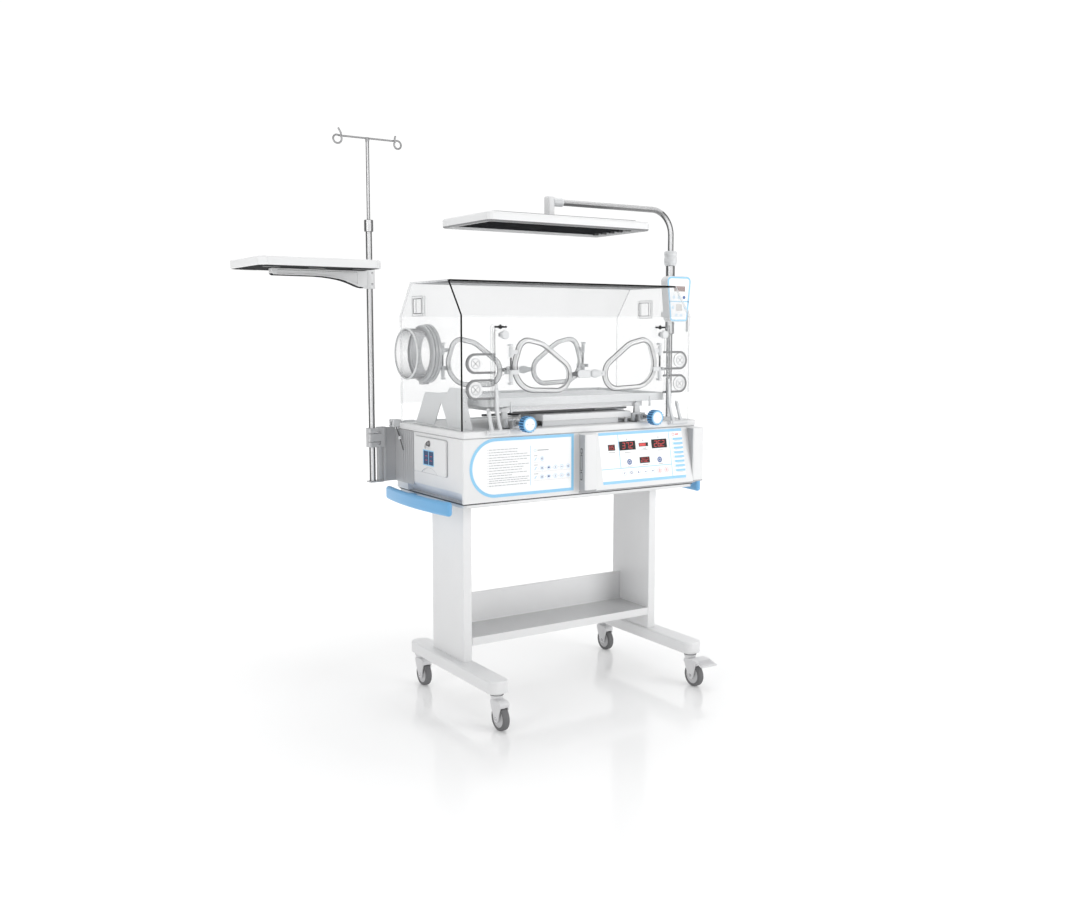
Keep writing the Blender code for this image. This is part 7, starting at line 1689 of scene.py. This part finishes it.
# reflector plate, tubes and end sockets in the recess; plate and tubes painted dark as painted shade
done(slab("fine_lamp_reflector", [rrect(x0 + 0.0134, x1 - 0.0134, y0 + 0.0134, y1 - 0.0134, 0.009, 32)], "XY", z0 + 0.0150, z0 + 0.0190, "lampface", 0.0008, 2), "lamp_head", slot="white_casing")
for k in range(6):
    y = y0 + 0.0400 + k * (y1 - y0 - 0.0800) / 5
    done(bar("fine_lamp_tube_%d" % k, (x0 + 0.0400, y, z0 + 0.0105), (x1 - 0.0400, y, z0 + 0.0105), 0.0042, "under", 28, 0.0008), "lamp_head", slot="white_casing")
    for s, xx in ((-1, x0 + 0.0320), (1, x1 - 0.0320)):
        done(box("fine_lamp_holder_%d_%d" % (k, s), (xx - 0.0085, y - 0.0065, z0 + 0.0045), (xx + 0.0085, y + 0.0065, z0 + 0.0152), "dark", 0.0010, 2), "lamp_head", slot="dark_grey")

cx0, cx1, cy0, cy1, cz0, cz1 = CTRL
shape = [(cx0 + 0.020, cz1 - 0.020, 0.020), (cx1 - 0.020, cz1 - 0.020, 0.020), (cx1 - 0.028, cz0 + 0.014, 0.014), (cx0 + 0.028, cz0 + 0.014, 0.014)]
ctl = slab("fine_lamp_controller", [hull(shape, 56)], "XZ", cy0, cy1, "case", 0.0035, 4)
for za, zb in ((1.3050, 1.3250), (1.4150, 1.4350)):
    weld(ctl, box("c", (LP_X - 0.0240, cy1 - 0.0030, za), (LP_X + 0.0240, LP_Y + 0.0240, zb), "case", 0.0020, 2))
cut(ctl, bar("c", (LP_X, LP_Y, 1.25), (LP_X, LP_Y, 1.48), HOUS_R + 0.0004, seg=56))
done(ctl, "stand", "lamp_controller", slot="white_casing")
CP = Plane((0, cy0, 0), (1, 0, 0), (0, 0, 1))
bm = bmesh.new()
o = resample(hull([(u, v, r - 0.0020) for u, v, r in shape], 56), 100)
i_ = resample(hull([(u, v, r - 0.0085) for u, v, r in shape], 56), 100)
ring_on(bm, CP, o, i_, -0.0002, 0.0006)
print_on(bm, CP, rect(cx0 + 0.0100, cx1 - 0.0100, 1.3600, 1.3635), -0.0001, 0.0006)
done(from_bm("fine_controller_border", bm, "film_b"), "stand", slot="blue_plastic", weighted=False)
bm = bmesh.new()
print_on(bm, CP, resample(hull([(u, v, r - 0.0080) for u, v, r in shape], 56), 90), -0.0002, 0.0004)
done(from_bm("fine_controller_film", bm, "film"), "stand", slot="white_casing", weighted=False)
cm = (cx0 + cx1) / 2
bm = bmesh.new()
print_on(bm, CP, rect(cm - 0.0230, cm + 0.0280, 1.3990, 1.4180), 0.0003, 0.0009)
done(from_bm("fine_controller_display", bm, "smoke"), "stand", slot="dark_grey", weighted=False)
bm = bmesh.new()
number(bm, CP, cm - 0.0230, cm + 0.0280, 1.3990, 1.4180, "0000", 0.0008, 0.0010)
done(from_bm("fine_controller_digits", bm, "lcd"), "stand", slot="dark_grey", weighted=False)
bm = bmesh.new()
print_on(bm, CP, rect(cm - 0.0140, cm + 0.0150, 1.3270, 1.3520), 0.0003, 0.0008)
done(from_bm("fine_controller_lcd", bm, "lcd"), "stand", slot="grey_casing", weighted=False)
bm = bmesh.new()
for x, z, r in ((cm - 0.0240, 1.3780, 0.0058), (cm + 0.0000, 1.3775, 0.0058), (cm - 0.0290, 1.3400, 0.0052), (cm + 0.0290, 1.3390, 0.0052), (cm - 0.0120, 1.3110, 0.0052), (cm + 0.0110, 1.3110, 0.0052)):
    ring_on(bm, CP, circle(x, z, r, 28), circle(x, z, r * 0.74, 28), 0.0003, 0.0008)
    print_on(bm, CP, circle(x, z, r * 0.36, 14), 0.0003, 0.0008)
done(from_bm("fine_controller_keys", bm, "film_b"), "stand", slot="blue_plastic", weighted=False)
bm = bmesh.new()
print_on(bm, CP, circle(cm + 0.0240, 1.3770, 0.0062, 28), 0.0003, 0.0010)
done(from_bm("fine_controller_key_navy", bm, "film_n"), "stand", slot="blue_plastic", weighted=False)
bm = bmesh.new()
for x in (cm - 0.0240, cm, cm + 0.0240):
    print_on(bm, CP, rect(x - 0.0050, x + 0.0050, 1.3880, 1.3888), 0.0003, 0.0007)
done(from_bm("fine_controller_grey_print", bm, "film_g"), "stand", slot="grey_casing", weighted=False)

for k, x in enumerate((0.5930, 0.5985)):
    done(bar("fine_clip_%d" % k, (x, -0.0430, 1.2500), (x, -0.0430, 1.3260), 0.0020, "mgrey", 16, 0.0006), "stand", slot="grey_casing")
done(box("fine_clip_head", (0.5900, -0.0455, 1.3200), (0.6015, -0.0400, 1.3290), "mgrey", 0.0010, 2), "stand", slot="grey_casing")

# =================================================== floor, light, camera
bm = bmesh.new()
R, N = 14.0, 4
vs = [bm.verts.new((x * R, y * R, 0.0)) for x, y in ((-1, -1), (1, -1), (1, 1), (-1, 1))]
bm.faces.new(vs)
me = bpy.data.meshes.new("studio_floor")
bm.to_mesh(me)
bm.free()
floor = bpy.data.objects.new("studio_floor", me)
bpy.context.scene.collection.objects.link(floor)
fn = Nodes("m_floor")
ln = fn.add("ShaderNodeVectorMath", operation="LENGTH")
fn.link(fn.tex, "Object", ln, 0)
em = fn.ramp(ln, "Value", 0.7, 3.4, 0.13, 0.48)
fn.link(em, "Result", fn.b, "Emission Strength")
fn.b.inputs["Emission Color"].default_value = (1, 1, 1, 1)
fs = fn.noise(2.0, 3.0)
fc = fn.add("ShaderNodeMix", data_type="RGBA")
fc.inputs[6].default_value = (0.875, 0.875, 0.875, 1)
fc.inputs[7].default_value = (0.885, 0.885, 0.885, 1)
fn.link(fs, "Fac", fc, 0)
fn.link(fc, 2, fn.b, "Base Color")
fr_ = fn.ramp(fs, "Fac", 0.3, 0.7, 0.09, 0.12)
fn.link(fr_, "Result", fn.b, "Roughness")
me.materials.append(fn.m)
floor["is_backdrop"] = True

# bright towards the far side of the studio, dimmer behind the viewer's left
world = bpy.data.worlds.new("studio")
world.use_nodes = True
wt = world.node_tree
bg = wt.nodes["Background"]
bg.inputs["Color"].default_value = (1, 1, 1, 1)
wc = wt.nodes.new("ShaderNodeTexCoord")
wd = wt.nodes.new("ShaderNodeVectorMath")
wd.operation = "DOT_PRODUCT"
wd.inputs[1].default_value = (0.541, 0.834, -0.109)
wr = wt.nodes.new("ShaderNodeMapRange")
wr.inputs["From Min"].default_value = 0.05
wr.inputs["From Max"].default_value = 0.70
wr.inputs["To Min"].default_value = 0.42
wr.inputs["To Max"].default_value = 1.04
wt.links.new(wc.outputs["Generated"], wd.inputs[0])
wt.links.new(wd.outputs["Value"], wr.inputs["Value"])
wt.links.new(wr.outputs["Result"], bg.inputs["Strength"])
bpy.context.scene.world = world
bpy.context.scene.view_settings.view_transform = "Standard"


def area(name, at, target, size, power):
    li = bpy.data.lights.new(name, "AREA")
    li.shape = "RECTANGLE"
    li.size, li.size_y = size
    li.energy = power
    ob = bpy.data.objects.new(name, li)
    bpy.context.scene.collection.objects.link(ob)
    ob.location = at
    ob.rotation_euler = (Vector(target) - Vector(at)).to_track_quat("-Z", "Y").to_euler()
    return ob


area("key", (2.7, -4.1, 1.7), (0.2, 0, 0.8), (2.6, 2.2), 92)
area("left", (-4.2, -1.0, 1.7), (0.0, 0, 0.9), (2.4, 2.4), 50)
area("top", (0.2, 0.1, 3.8), (0.2, 0, 0.8), (3.4, 2.8), 46)

cam = bpy.data.cameras.new("photo_camera")
cam.sensor_fit = "HORIZONTAL"
cam.sensor_width = 36.0
cam.lens = 1080.8546 / 1080.0 * 36.0
cam.clip_start, cam.clip_end = 0.1, 60.0
co = bpy.data.objects.new("photo_camera", cam)
bpy.context.scene.collection.objects.link(co)
yaw, pitch, roll = math.radians(32.9654), math.radians(-6.2524), math.radians(0.0529)
f = Vector((math.sin(yaw) * math.cos(pitch), math.cos(yaw) * math.cos(pitch), math.sin(pitch)))
right = Vector((math.cos(yaw), -math.sin(yaw), 0))
up = right.cross(f)
rr = right * math.cos(roll) + up * math.sin(roll)
uu = -right * math.sin(roll) + up * math.cos(roll)
mat = Matrix((rr, uu, -f)).transposed().to_4x4()
mat.translation = V(-2.0887, -3.1697, 1.2502)
co.matrix_world = mat
bpy.context.scene.camera = co

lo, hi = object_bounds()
